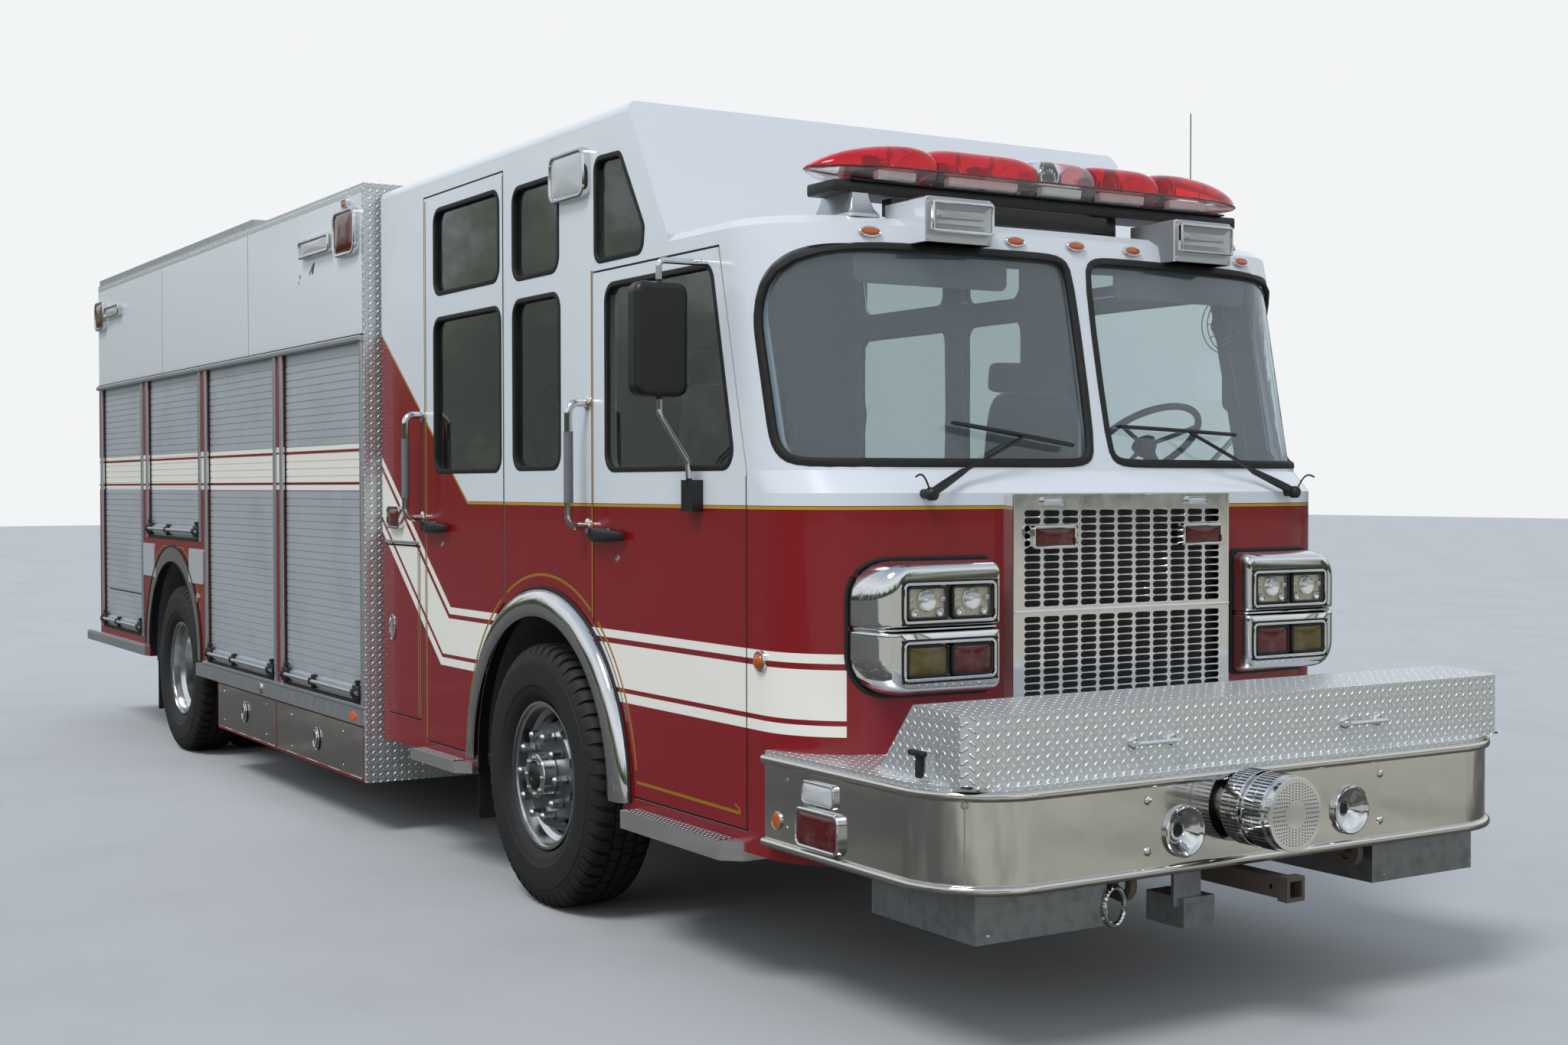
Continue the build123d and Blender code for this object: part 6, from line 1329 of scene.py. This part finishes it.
# %% Shutter tracks, drip rail and lift bars
# Columns: rear edge, front edge, bottom, width of the front track
doors = [(-3.222, -1.966, 0.645, 0.027), (-4.744, -3.376, 0.645, 0.040), (-6.203, -4.918, 1.385, 0.040),
         (-7.554, -6.382, 0.700, 0.040)]
door_top = 2.430
latch_profile = [(0, 0.010), (0.010, 0.010), (0.012, 0.016), (0.026, 0.015), (0.030, 0.0)]
for tag, side in sides:
    wall, recess = on_wall(side, body_half), on_wall(side, body_half - 0.018)
    tracks, blocks, tubes, lines = [], [], [], []
    for x0, x1, z0, front_width in doors:
        for low, high in ((x0 - 0.040, x0 + 0.004), (x1 - 0.004, x1 + front_width)):
            track = box_outline(ahead(low), ahead(high), z0 - 0.012, door_top, 0.002)
            tracks.append(slab(track, wall, 0.010, 0.0005))
        bottom_rail = box_outline(ahead(x0 + 0.01), ahead(x1 - 0.01), z0 + 0.004, z0 + 0.060, 0.004)
        tracks.append(slab(bottom_rail, recess, 0.012))
        lines.append(cuboid(ahead(x0), ahead(x1), side * (body_half - 0.016), side * (body_half + 0.006),
                            z0 - 0.012, z0 + 0.003))
        bar_y = side * (body_half + 0.024)
        tubes.append(tube([(ahead(x), bar_y, z0 + 0.050) for x in (x0 + 0.012, (x0 + x1) / 2, x1 - 0.012)],
                          0.011, 14))
        for place_x, wide in ((x0 + 0.055, 0.045), (x1 - 0.055, 0.045), (x0 + 0.42 * (x1 - x0), 0.014)):
            x = ahead(place_x)
            blocks.append(cuboid(x - wide, x + wide, side * (body_half - 0.010), side * (body_half + 0.022),
                                 z0 + 0.012, z0 + 0.085, 0.006))
            blocks.append(cuboid(x - wide * 0.5, x + wide * 0.5, side * (body_half + 0.006),
                                 side * (body_half + 0.040), z0 + 0.034, z0 + 0.068, 0.006))
            if wide > 0.02:
                blocks.append(turned(latch_profile, (x, side * (body_half + 0.006), z0 + 0.083), upward_axis, 16))
    for x0, x1 in ((-4.850, -1.930), (-7.668, -4.870)):
        drip = box_outline(ahead(x0), ahead(x1), 2.428, 2.456, 0.004)
        tracks.append(slab(drip, wall, 0.024, 0.0005, 0.006))
        lines.append(slab(box_outline(ahead(x0), ahead(x1), 2.457, 2.464, 0.002), wall, 0.012, 0.0005))
    for x0, x1 in ((-4.850, -1.940), (-8.040, -6.330)):
        tracks.append(slab(box_outline(ahead(x0), ahead(x1), 0.618, 0.636, 0.003), wall, 0.012, 0.0005))
    lines.append(slab(box_outline(ahead(-7.458), ahead(-6.424), 0.968, 0.977, 0.002), recess, 0.003))
    for x in (-3.858, -5.808):
        lines.append(ribbon([(ahead(x), 2.466), (ahead(x), 3.152)], 0.0035, wall, 0.0006))
    piece(f"shutter_tracks_{tag}", tracks, satin)
    piece(f"lift_bar_blocks_{tag}", blocks, black_plastic)
    piece(f"lift_bars_{tag}", tubes, satin)
    piece(f"body_lines_{tag}", lines, sheet_rubber)
tell("side shutters")

# %% [markdown]
# ### The back
# The photograph doesn't show the back. It has a wide shutter like those of the sides, and two rails to climb by.

# %% Rear shutter's tracks and bar, and rails to climb by
behind_wall = on_face(body_back, True)
rear_tracks = [slab(side_box(side, 0.814, 0.858, 0.884, 2.816, 0.003), behind_wall, 0.010, 0.0005)
               for tag, side in sides]
rear_tracks.append(slab(box_outline(-0.858, 0.858, 2.818, 2.850, 0.003), behind_wall, 0.022, 0.0005, 0.006))
bottom_rail = box_outline(-0.812, 0.812, 0.906, 0.966, 0.004)
rear_tracks.append(slab(bottom_rail, on_face(body_back + 0.0195, True), 0.012))
rear_tracks.append(tube([(body_back - 0.026, y, 0.955) for y in (-0.800, 0.0, 0.800)], 0.011, 14))
piece("rear_tracks", rear_tracks, satin)
rear_blocks, rails = [], []
for y, wide in ((-0.755, 0.045), (0.0, 0.014), (0.755, 0.045)):
    rear_blocks.append(cuboid(body_back - 0.024, body_back + 0.016, y - wide, y + wide, 0.918, 0.990, 0.006))
    rear_blocks.append(cuboid(body_back - 0.042, body_back - 0.008, y - wide / 2, y + wide / 2, 0.938, 0.974,
                              0.006))
stand, bend_radius = 0.070, 0.05
bend = np.linspace(0, np.pi / 2, 7)[:, None]
for tag, side in sides:
    y = side * 0.930
    turn_x = body_back - stand + bend_radius
    low = np.array([turn_x, y, 1.400]) + bend_radius * np.hstack([-np.sin(bend), 0 * bend, -np.cos(bend)])
    high = np.array([turn_x, y, 2.350]) + bend_radius * np.hstack([-np.cos(bend), 0 * bend, np.sin(bend)])
    rails.append(tube(np.concatenate([[[body_back, y, 1.350]], low, high, [[body_back, y, 2.400]]]), 0.016, 14))
    for z in (1.350, 2.400):
        rails.append(turned(flange_profile, (body_back, y, z), (-1, 0, 0), 20))
piece("rear_blocks", rear_blocks, black_plastic)
piece("rear_rails", rails, chrome)
tell("rear shutter and rails")

# %% [markdown]
# ### Latches, reflectors, screws and a worn place
# The lower doors have sunk cups with a wire handle and four screws. Chips of worn paint are thin uneven plates.

# %% Latches, reflectors, screws and worn spots
low_half = 1.2737
handle_turn = np.linspace(-2.9, 2.9, 25)
for tag, side in sides:
    face = on_wall(side, low_half)
    for body, x, z in (("lower_door_back", -3.968, 0.404), ("lower_door_front", -2.669, 0.392)):
        cup = circle(ahead(x), z, 0.046, flat=1.35)
        handle = np.stack([ahead(x) + 0.030 * np.cos(handle_turn), np.full(25, side * (low_half + 0.009)),
                           z + 0.046 * np.sin(handle_turn)], 1)
        studs = [bolt_head(0.005, 0.002, 0.0025, (ahead(x + dx), side * low_half, z + dz), (0, side, 0), 10)
                 for dx in (-0.42, 0.42) for dz in (-0.085, 0.085)]
        latch = [ring(cup, face, 0.008, 0.005), domed(cup, face, 0.0005, 0.002, -0.008), tube(handle, 0.0052)]
        piece(f"d_latch_{body}_{tag}", latch + studs, chrome, f"{body}_{tag}")
    diamond = [(ahead(-2.130), 0.577), (ahead(-2.062), 0.553), (ahead(-1.994), 0.577), (ahead(-2.062), 0.601)]
    reflector = slab(lambda grow=0.0: rounded(diamond, 0.004, grow), on_wall(side, rail_half), 0.004)
    piece(f"reflector_{tag}", [reflector], reflector_orange)
    boxes = [bolt_head(0.007, 0.002, 0.003, (ahead(2.7505), side * y, z), forward_axis, 12)
             for y in (0.620, 1.056) for z in (0.402, 0.520)]
    piece(f"box_screws_{tag}", boxes, weld_metal)
chips = []
chip_corners = ((-1.2, -0.2), (-0.1, -1.3), (0.5, -0.4), (1.1, 1.0), (-0.3, 0.5))
for x, z, size in ((-2.690, 2.858, 0.030), (-2.735, 2.838, 0.014), (-2.905, 2.830, 0.012),
                   (-2.930, 2.800, 0.009)):
    chip = [(ahead(x) + size * u, z + size * v) for u, v in chip_corners]
    outline = lambda grow=0.0, c=chip: rounded(c, 0.002, grow)
    chips.append(slab(outline, on_wall(-1, body_half), 0.0006, 0.0, 0.0002))
piece("paint_chips", chips, primer_grey)
tell("latches, reflectors, screws and chips")

# %% [markdown]
# ### Step treads
# One raised button's points are added to each place of a grid, which costs far less than an object for each.

# %% Step treads
button = turned([(0, 0.009), (0.003, 0.008), (0.0035, 0.004)], (0, 0, 0), upward_axis, 8)
treads, grips = [], []
for tag, side in sides:
    for x0, x1, top in ((0.820, 1.612, 0.516), (-1.322, -0.734, 0.500)):
        x = np.arange(ahead(x0) + 0.030, ahead(x1) - 0.080, 0.027)
        y = side * (cab_half + np.array([0.018, 0.040, 0.062]))
        grid = np.stack(np.meshgrid(x, y, [top]), -1).reshape(-1, 3)
        treads.append(many(button, grid))
        inner, outer = side * (cab_half + 0.007), side * (cab_half + 0.071)
        grip = box_outline(ahead(x0) + 0.015, ahead(x1) - 0.072, *sorted((inner, outer)), 0.004)
        grips.append(slab(grip, on_top(top), 0.0008, 0.0, 0.0002))
piece("step_buttons", treads, weld_metal)
piece("step_grips", grips, sheet_rubber)
tell("step treads")

# %% [markdown]
# ### Antenna and tow ring
# The antenna is a thin rod in a turned foot, and the tow ring an oval wire.

# %% Antenna and tow ring
antenna_x = ahead(1.500)
antenna_foot = [(0, 0.028), (0.012, 0.026), (0.022, 0.012), (0.060, 0.006), (0.062, 0.0)]
rod = [(antenna_x, 0.928, 2.670), (antenna_x, 0.929, 2.900), (antenna_x, 0.930, 3.190)]
antenna = [turned(antenna_foot, (antenna_x, 0.928, 2.6203), upward_axis, 20), tube(rod, 0.0022, 8)]
piece("whip_antenna", antenna, black_plastic)
turn = np.linspace(0, 2 * np.pi, 29)
tow_ring = np.stack([np.full(29, ahead(2.735)), -0.560 + 0.040 * np.cos(turn), 0.430 + 0.058 * np.sin(turn)], 1)
piece("tow_ring", [tube(tow_ring[:-1], 0.009, 10)], chrome)
tell("antenna and tow ring")

# %% [markdown]
# ## Inside the cab
# The seats are moulded foam with tight sewn covers, each part crowned and with its corners drawn in. The foam
# is firm, so the crown and the sewn channels are worked out directly.

# %% Seats
def signed_power(base, exponent):
    """A power of a number's size that keeps its sign."""
    return np.sign(base) * np.abs(base) ** exponent

def pad(centre, size, lean=0.0, channels=4, count=(26, 34)):
    """A padded block: a superellipsoid whose faces swell, with sewn channels across its upper face. The exponents
    keep it boxy, the sine term crowns it, and the channels are narrow dips."""
    v, u = np.meshgrid(np.linspace(-np.pi / 2, np.pi / 2, count[0]), full_turn(count[1]), indexing="ij")
    flat = signed_power(np.cos(v), 0.30)
    x, y = flat * signed_power(np.cos(u), 0.32), flat * signed_power(np.sin(u), 0.32)
    z = signed_power(np.sin(v), 0.55)
    crown = 0.10 * (1 - x ** 2) * (1 - y ** 2)
    sewn = 0.05 * np.exp(-((np.abs((x + 1) * channels / 2 % 1 - 0.5) - 0.5) / 0.06) ** 2) * (np.abs(y) < 0.8)
    z = z * (0.90 + crown) - np.sign(z) * sewn * (np.abs(z) > 0.5)
    local = np.stack([x * size[0] / 2, y * size[1] / 2, z * size[2] / 2], -1)
    c, s = np.cos(lean), np.sin(lean)
    turned_x = local[..., 0] * c + local[..., 2] * s
    turned_z = -local[..., 0] * s + local[..., 2] * c
    return lofted(np.stack([turned_x, local[..., 1], turned_z], -1) + np.array(centre))

seat_floor = 1.070
back_lean = -1.43
seat_places = [(0.700, -0.735), (0.700, 0.735), *[(-1.670, y) for y in (-0.770, -0.260, 0.260, 0.770)]]
seat_parts, seat_bases = [], []
for place_x, y in seat_places:
    x = ahead(place_x)
    seat_parts += [pad((x + 0.245, y, seat_floor + 0.385), (0.51, 0.455, 0.125), 0.06),
                   pad((x + 0.020, y, seat_floor + 0.740), (0.60, 0.440, 0.115), back_lean),
                   pad((x - 0.055, y, seat_floor + 1.105), (0.13, 0.280, 0.080), back_lean, 1)]
    seat_bases.append(cuboid(x + 0.055, x + 0.425, y - 0.19, y + 0.19, seat_floor + 0.001, seat_floor + 0.330,
                             0.03))
seats_made = piece("seats_upholstered", seat_parts, seat_cloth, stands_for=["seats"], crease=60)
piece("seat_bases", seat_bases, black_plastic)
tell("seats")

# %% [markdown]
# ### Dash cover, visors and fan
# The dashboard's pads are half-round rolls that sink at their ends, and the fan's cage is hoops and spokes.

# %% Dash cover, visors and fan
cabin = []
for side in (-1, 1):
    visor = side_box(side, 0.250, 0.900, 2.395, 2.500, 0.03)
    cabin.append(raised(visor, on_face(ahead(1.800)), [(-0.01, 0), (0, 0.006), (0, 0.016), (-0.01, 0.022)]))
piece("sun_visors", cabin, grey_rubber)
pads = []
roll = np.linspace(0, np.pi, 13)
share = np.linspace(-1, 1, 15)[:, None]
for y0, y1 in ((-1.02, -0.30), (0.36, 1.02)):
    y = np.linspace(y0, y1, 15)[:, None]
    rise = 0.030 * np.sin(roll) ** 0.7
    rings = np.stack([np.broadcast_to(ahead(1.86) + 0.13 * np.cos(roll), (15, 13)),
                      np.broadcast_to(y, (15, 13)), 1.722 + rise * (1 - share ** 4)], -1)
    pads.append(lofted(rings))
piece("dash_covers", pads, lamp_white)
fan = []
fan_centre = np.array([ahead(1.700), 0.930, 2.335])
turn = np.linspace(0, 2 * np.pi, 33)[:-1]
# Columns: radius of a hoop, and how far ahead of the middle it lies
for radius, front in ((0.105, 0.0), (0.105, -0.03), (0.085, 0.006), (0.065, 0.010), (0.045, 0.012),
                      (0.025, 0.013)):
    hoop = fan_centre + np.stack([np.full(32, front), radius * np.cos(turn), radius * np.sin(turn)], 1)
    fan.append(tube(np.concatenate([hoop, hoop[:1]]), 0.0022, 6))
for angle in full_turn(12):
    way = np.array([0, np.cos(angle), np.sin(angle)])
    spoke = [fan_centre + way * out + (front, 0, 0) for out, front in ((0.02, 0.013), (0.07, 0.010), (0.105, 0))]
    fan.append(tube(spoke, 0.002, 6))
fan.append(turned([(-0.06, 0.03), (-0.02, 0.034), (0.013, 0.022), (0.015, 0.0)], fan_centre, forward_axis, 20))
stem = [(-0.04, 0, 0), (-0.05, 0.02, 0.10), (-0.06, 0.03, 0.20)]
fan.append(tube([fan_centre + step for step in stem], 0.008, 8))
piece("cab_fan", fan, black_plastic)
tell("dash covers, visors and fan")

# %% [markdown]
# ## Grille
# The grille is stainless sheet pierced with rows of round-ended slots. One cell of the pattern is a ring
# between its rectangle and its slot. Copies of it stand side by side and share edges.

# %% Pierced grille
slot_pitch, slot_long, slot_high = 0.0816, 0.0705, 0.0203
sheet = -0.004
grille_face = ahead(2.157)
on_grille = on_face(grille_face)
# Columns: height of the lowest row of slots, of the highest row, and how many rows
grille_fields = [(1.3189, 1.6204, 13), (1.0150, 1.2647, 11)]
grille_edge_y, grille_low, grille_high = 0.490, 0.998, 1.687
grille_seam = 1.2925

def slot(grow=0.0):
    """A slot's outline about the origin: a rectangle whose ends are all but half-round."""
    a, b = slot_long / 2, slot_high / 2
    return rounded(corners_of(-a, a, -b, b), b - 0.0006, grow, steps=3)

grille_parts = []
for low, high, count in grille_fields:
    pitch_z = (high - low) / (count - 1)
    across, up = slot().T
    at_side = np.abs(up) < slot_high / 2 - 1e-5
    at_top = np.abs(across) < slot_long / 2 - 1e-5
    whole_cell = np.stack([np.where(at_side, np.sign(across) * slot_pitch / 2, across),
                           np.where(at_top, np.sign(up) * pitch_z / 2, up)], 1)
    levels = [(whole_cell, 0.0), (slot(0.0010), 0.0), (slot(), -0.0010), (slot(), sheet), (whole_cell, sheet)]
    one = lofted([on_grille(flat, out) for flat, out in levels], ends=False)
    columns_y, rows_z = (np.arange(11) - 5) * slot_pitch, low + pitch_z * np.arange(count)
    grille_parts.append(many(one, np.stack(np.meshgrid([0.0], columns_y, rows_z), -1).reshape(-1, 3)))
field_half = 5.5 * slot_pitch
# Half the pitch of the lower and of the upper rows, which the plain strips leave to the cells
low_half_pitch, high_half_pitch = 0.012485, 0.012563
edges_z = [(grille_low, 1.0150 - low_half_pitch), (1.2647 + low_half_pitch, 1.3189 - high_half_pitch),
           (1.6204 + high_half_pitch, grille_high)]
strips = [box_outline(-field_half, field_half, z0, z1, 0.0005) for z0, z1 in edges_z]
strips += [side_box(side, field_half, grille_edge_y, grille_low, grille_high, 0.0005) for side in (-1, 1)]
grille_parts += [slab(strip, on_grille, 0.0, sheet, 0.0) for strip in strips]
frame_outline = box_outline(-grille_edge_y, grille_edge_y, grille_low, grille_high, 0.004)
grille_parts.append(ring(frame_outline, on_grille, 0.005, 0.001, -0.062))
grille_parts.append(tube([(grille_face + 0.001, y, grille_seam) for y in (-0.487, 0.0, 0.487)], 0.0050, 10))
piece("grille_pierced", grille_parts, mirror_sheet, stands_for=["grille"], crease=30)
dark_back = box_outline(-0.484, 0.484, grille_low + 0.004, 1.680, 0.004)
piece("grille_dark", [slab(dark_back, on_face(ahead(2.121)), 0.006)], black_plastic)
tell("grille")

# %% [markdown]
# ## Headlamp housings
# Each housing is a pair of chromed shells round the cab's corner. A shell starts as an outline on the nose and
# swells to a flat face, along a quarter of a sine wave.

# %% Chrome shells
def along_edges(flat, steps=7, extra=6):
    """An outline of four arcs, with extra points spread evenly on the straight edges between them."""
    arcs = flat.reshape(4, steps, 2)
    share = np.linspace(0, 1, extra + 2)[1:-1, None]
    between = arcs[:, -1:] + (np.roll(arcs, -1, 0)[:, :1] - arcs[:, -1:]) * share
    return np.concatenate([arcs, between], 1).reshape(-1, 2)

# Columns: corners of the base and their radii, corners of the face and their radii, corners of the window
shell_rows = [(corners_of(0.556, 1.066, 1.257, 1.473), [0.010, 0.010, 0.125, 0.025],
               corners_of(0.573, 0.966, 1.266, 1.440), [0.010, 0.010, 0.050, 0.020],
               corners_of(0.586, 0.954, 1.274, 1.402)),
              (corners_of(0.556, 1.066, 1.037, 1.249), [0.025, 0.125, 0.010, 0.010],
               corners_of(0.573, 0.966, 1.070, 1.240), [0.020, 0.050, 0.010, 0.010],
               corners_of(0.586, 0.954, 1.090, 1.214)),
              (corners_of(0.560, 1.060, 1.248, 1.258), [0.003] * 4,
               corners_of(0.576, 0.962, 1.2505, 1.2555), [0.002] * 4, None)]
shells, rims = [], []
for tag, side in sides:
    on_corner = on_nose(side)
    for base_corners, base_radii, face_corners, face_radii, window in shell_rows:
        start = on_corner(along_edges(rounded(base_corners, base_radii)), 0.0005)
        flat = along_edges(rounded(face_corners, face_radii))
        end = on_lamps(flat * [side, 1], 0.0 if window else -0.012)
        rings = []
        for share in np.linspace(0, np.pi / 2, 10):
            grown = np.array([np.sin(share) ** 0.75, 1 - np.cos(share), 1 - np.cos(share)])
            rings.append(start + (end - start) * grown)
        if window:
            inner_flat = along_edges(rounded(window, 0.018)) * [side, 1]
            rings += [on_lamps(inner_flat, 0.0), on_lamps(inner_flat, -0.022)]
        shells.append(lofted(rings))
    round_base = along_edges(rounded(corners_of(0.551, 1.071, 1.032, 1.478), [0.028, 0.128, 0.128, 0.028]))
    rim_path = on_corner(np.concatenate([round_base, round_base[:1]]), 0.004)
    rims.append(tube(rim_path, 0.0065, 10))
piece("headlamp_shells", shells, chrome, stands_for=["headlamps"], crease=40)
piece("headlamp_rims", rims, sheet_rubber)
tell("headlamp shells")

# %% [markdown]
# ## Door handles
# The paddle handle is thick at its pivot and thins to a free end. Its section is a superellipse of eight sizes.

# %% Paddle handles
handle_height = 1.5275
# Columns: place along the handle, how far it stands out, half of its height
paddle = np.array([[0.000, 0.010, 0.020], [0.006, 0.026, 0.026], [0.030, 0.038, 0.028], [0.080, 0.044, 0.026],
                   [0.170, 0.043, 0.021], [0.240, 0.038, 0.017], [0.262, 0.030, 0.013], [0.268, 0.018, 0.008]])
along, out, high = paddle[:, :1], paddle[:, 1:2], paddle[:, 2:]
angle = full_turn(20)
clear_of_door = np.clip((along - 0.07) / 0.02, 0, 1) * 0.016
across = clear_of_door + (out - clear_of_door) * (0.5 + 0.5 * signed_power(np.cos(angle), 0.5))
up = handle_height + high * signed_power(np.sin(angle), 0.6)
for tag, side in sides:
    for body, x0 in ((f"door_front_{tag}", 0.478), (f"door_crew_{tag}", -1.262)):
        rings = np.stack([np.broadcast_to(ahead(x0) + along, up.shape), side * (cab_half + across), up], -1)
        piece(f"handle_{body}", [lofted(rings)], black_plastic, body)
tell("door handles")

# %% [markdown]
# ## Steering wheel
# A ring on a leaning column, with a turned hub and three spokes.

# %% Steering wheel
wheel_middle = np.array([ahead(1.400), 0.770, 1.880])
wheel_axis = np.array([-0.60, 0.0, 0.80])
wheel_across = np.array([0.80, 0.0, 0.60])
wheel_side = np.array([0, 1.0, 0])
wheel_radius = 0.235
turn = np.linspace(0, 2 * np.pi, 49)[:, None]
rim_ring = wheel_middle + wheel_radius * (np.cos(turn) * wheel_across + np.sin(turn) * wheel_side)
hub = [(-0.05, 0.030), (-0.03, 0.045), (0.0, 0.050), (0.01, 0.042), (0.013, 0.0)]
wheel_parts = [tube(rim_ring, 0.014, 12), turned(hub, wheel_middle, wheel_axis, 28)]
for angle in (0.0, 2 * np.pi / 3, 4 * np.pi / 3):
    way = np.cos(angle) * -wheel_across + np.sin(angle) * wheel_side
    wheel_parts.append(tube([wheel_middle + way * 0.04 - wheel_axis * 0.012,
                             wheel_middle + way * 0.14 - wheel_axis * 0.008,
                             wheel_middle + way * wheel_radius], 0.009, 10))
wheel_parts.append(tube([wheel_middle - wheel_axis * down for down in (0.04, 0.22, 0.40)], 0.026, 16))
piece("steering_wheel", wheel_parts, black_plastic)
tell("steering wheel")
print("all pieces:", len(counts), "faces:", sum(counts.values()))

# %% [markdown]
# ## Camera
# The camera stands where the photograph was taken from. Its place, angles and focal length were found from the
# truck's straight edges.

# %% Camera
camera_place = (front_axle + 7.1645, -4.4927, 1.7137)
camera_yaw, camera_pitch, camera_roll = np.radians([148.17, -1.09, 0.10])
# The focal length and the picture's width, both in pixels
focal_share = 2511.48 / 2048
sensor_width = 36.0
data = bpy.data.cameras.new("photograph")
data.sensor_width = sensor_width
data.lens = sensor_width * focal_share
data.clip_end = 200.0
camera = bpy.data.objects.new("photograph", data)
bpy.context.scene.collection.objects.link(camera)
level_share = np.cos(camera_pitch)
towards = Vector((level_share * np.cos(camera_yaw), level_share * np.sin(camera_yaw), np.sin(camera_pitch)))
turn = towards.to_track_quat("-Z", "Y").to_matrix().to_4x4() @ Matrix.Rotation(-camera_roll, 4, "Z")
camera.matrix_world = Matrix.Translation(camera_place) @ turn
bpy.context.scene.camera = camera
print("lens:", round(data.lens, 2), "mm")

# %% [markdown]
# ## Floor
# The floor is pale and even. Metal would mirror it as a white sheet, so rays that come off a glossy surface see
# dark ground beside the truck and pale ground ahead of it, as in the open.

# %% Floor
floor_size = 160.0
bpy.ops.mesh.primitive_plane_add(size=floor_size, location=(0, 0, -0.001))
floor = bpy.context.object
floor.name = "studio_floor"
floor_finish, tree, shader = new_material("studio_floor_pale", base_color=colour("#B4B6B8"), roughness=0.9)
mottle(tree, shader, 0.8, "#A6A8AA", 0.5)
in_mirror = add_node(tree, "LightPath").node.outputs["Is Glossy Ray"]
x, y, z = place_of(tree)
edge = add_node(tree, "TexNoise", {"Vector": add_node(tree, "TexCoord", out=3), "Scale": 0.9, "Detail": 6.0})
edge = add_node(tree, "MapRange", [edge, 0.4, 0.6, -0.5, 0.5])
in_front = add_node(tree, "MapRange", [x, 6.3, 7.6, -0.3, 1.1])
paleness = add_node(tree, "Math", [edge, in_front], operation="ADD")
paleness = add_node(tree, "MapRange", [paleness, 0.0, 1.0, 0.0, 1.0])
ground = {0: paleness, 6: colour("#4E4D49"), 7: colour("#B9B5A8")}
overlay(tree, shader, in_mirror, base_color=add_node(tree, "Mix", ground, 2, data_type="RGBA"))
floor.data.materials.append(floor_finish)
print("floor:", floor_size, "m square")

# %% [markdown]
# ## Sky and sun
# A ramp over the height of a view ray gives ground, treetops, a bright low sky and a darker one overhead, because
# bright metal needs such bands. The camera sees a plain pale background in place of them.

# %% Sky and sun
world = bpy.data.worlds.new("studio")
bpy.context.scene.world = world
world.use_nodes = True
tree = world.node_tree
tree.nodes.clear()
path = add_node(tree, "LightPath").node.outputs
direct = [path["Is Camera Ray"], path["Is Transmission Ray"]]
seen = add_node(tree, "Math", direct, operation="MAXIMUM")
around = add_node(tree, "TexCoord")
upwards = add_node(tree, "SeparateXYZ", [around]).node.outputs["Z"]
treetops = add_node(tree, "TexNoise", {"Vector": around, "Scale": 7.0, "Detail": 7.0, "Roughness": 0.65})
treetops = add_node(tree, "MapRange", [treetops, 0.3, 0.7, 0.12, -0.12])
upwards = add_node(tree, "Math", [upwards, treetops], operation="ADD")
sky = add_node(tree, "ValToRGB", [add_node(tree, "MapRange", [upwards, -0.3, 1.0, 0.0, 1.0])])
# Columns: place on the ramp, from the ground to overhead, and colour
sky_steps = [(0.13, "#77736B"), (0.16, "#35382F"), (0.27, "#4B4F40"), (0.315, "#8E9684"), (0.345, "#D8DEE4"),
             (0.5, "#F4F7FA"), (0.72, "#D3DCE6")]
for at, shade in sky_steps:
    sky.node.color_ramp.elements.new(at).color = colour(shade)
sky.node.color_ramp.elements[0].color = colour("#85817A")
sky.node.color_ramp.elements[-1].color = colour("#A3B4C6")
banded = add_node(tree, "Background", {"Color": sky, "Strength": 1.05})
pale = add_node(tree, "Background", {"Color": colour("#F2F4F6"), "Strength": 1.0})
mixed = add_node(tree, "MixShader", [seen, banded, pale])
world_out = tree.nodes.new("ShaderNodeOutputWorld")
tree.links.new(mixed, world_out.inputs["Surface"])
sun_data = bpy.data.lights.new("sun", "SUN")
sun_data.energy = 1.7
sun_data.angle = 0.35
sun = bpy.data.objects.new("sun", sun_data)
bpy.context.scene.collection.objects.link(sun)
sun.rotation_euler = Vector((-0.30, 0.62, -1.0)).to_track_quat("-Z", "Y").to_euler()
bpy.context.scene.view_settings.view_transform = "Standard"
print("sky colours:", len(sky.node.color_ramp.elements))
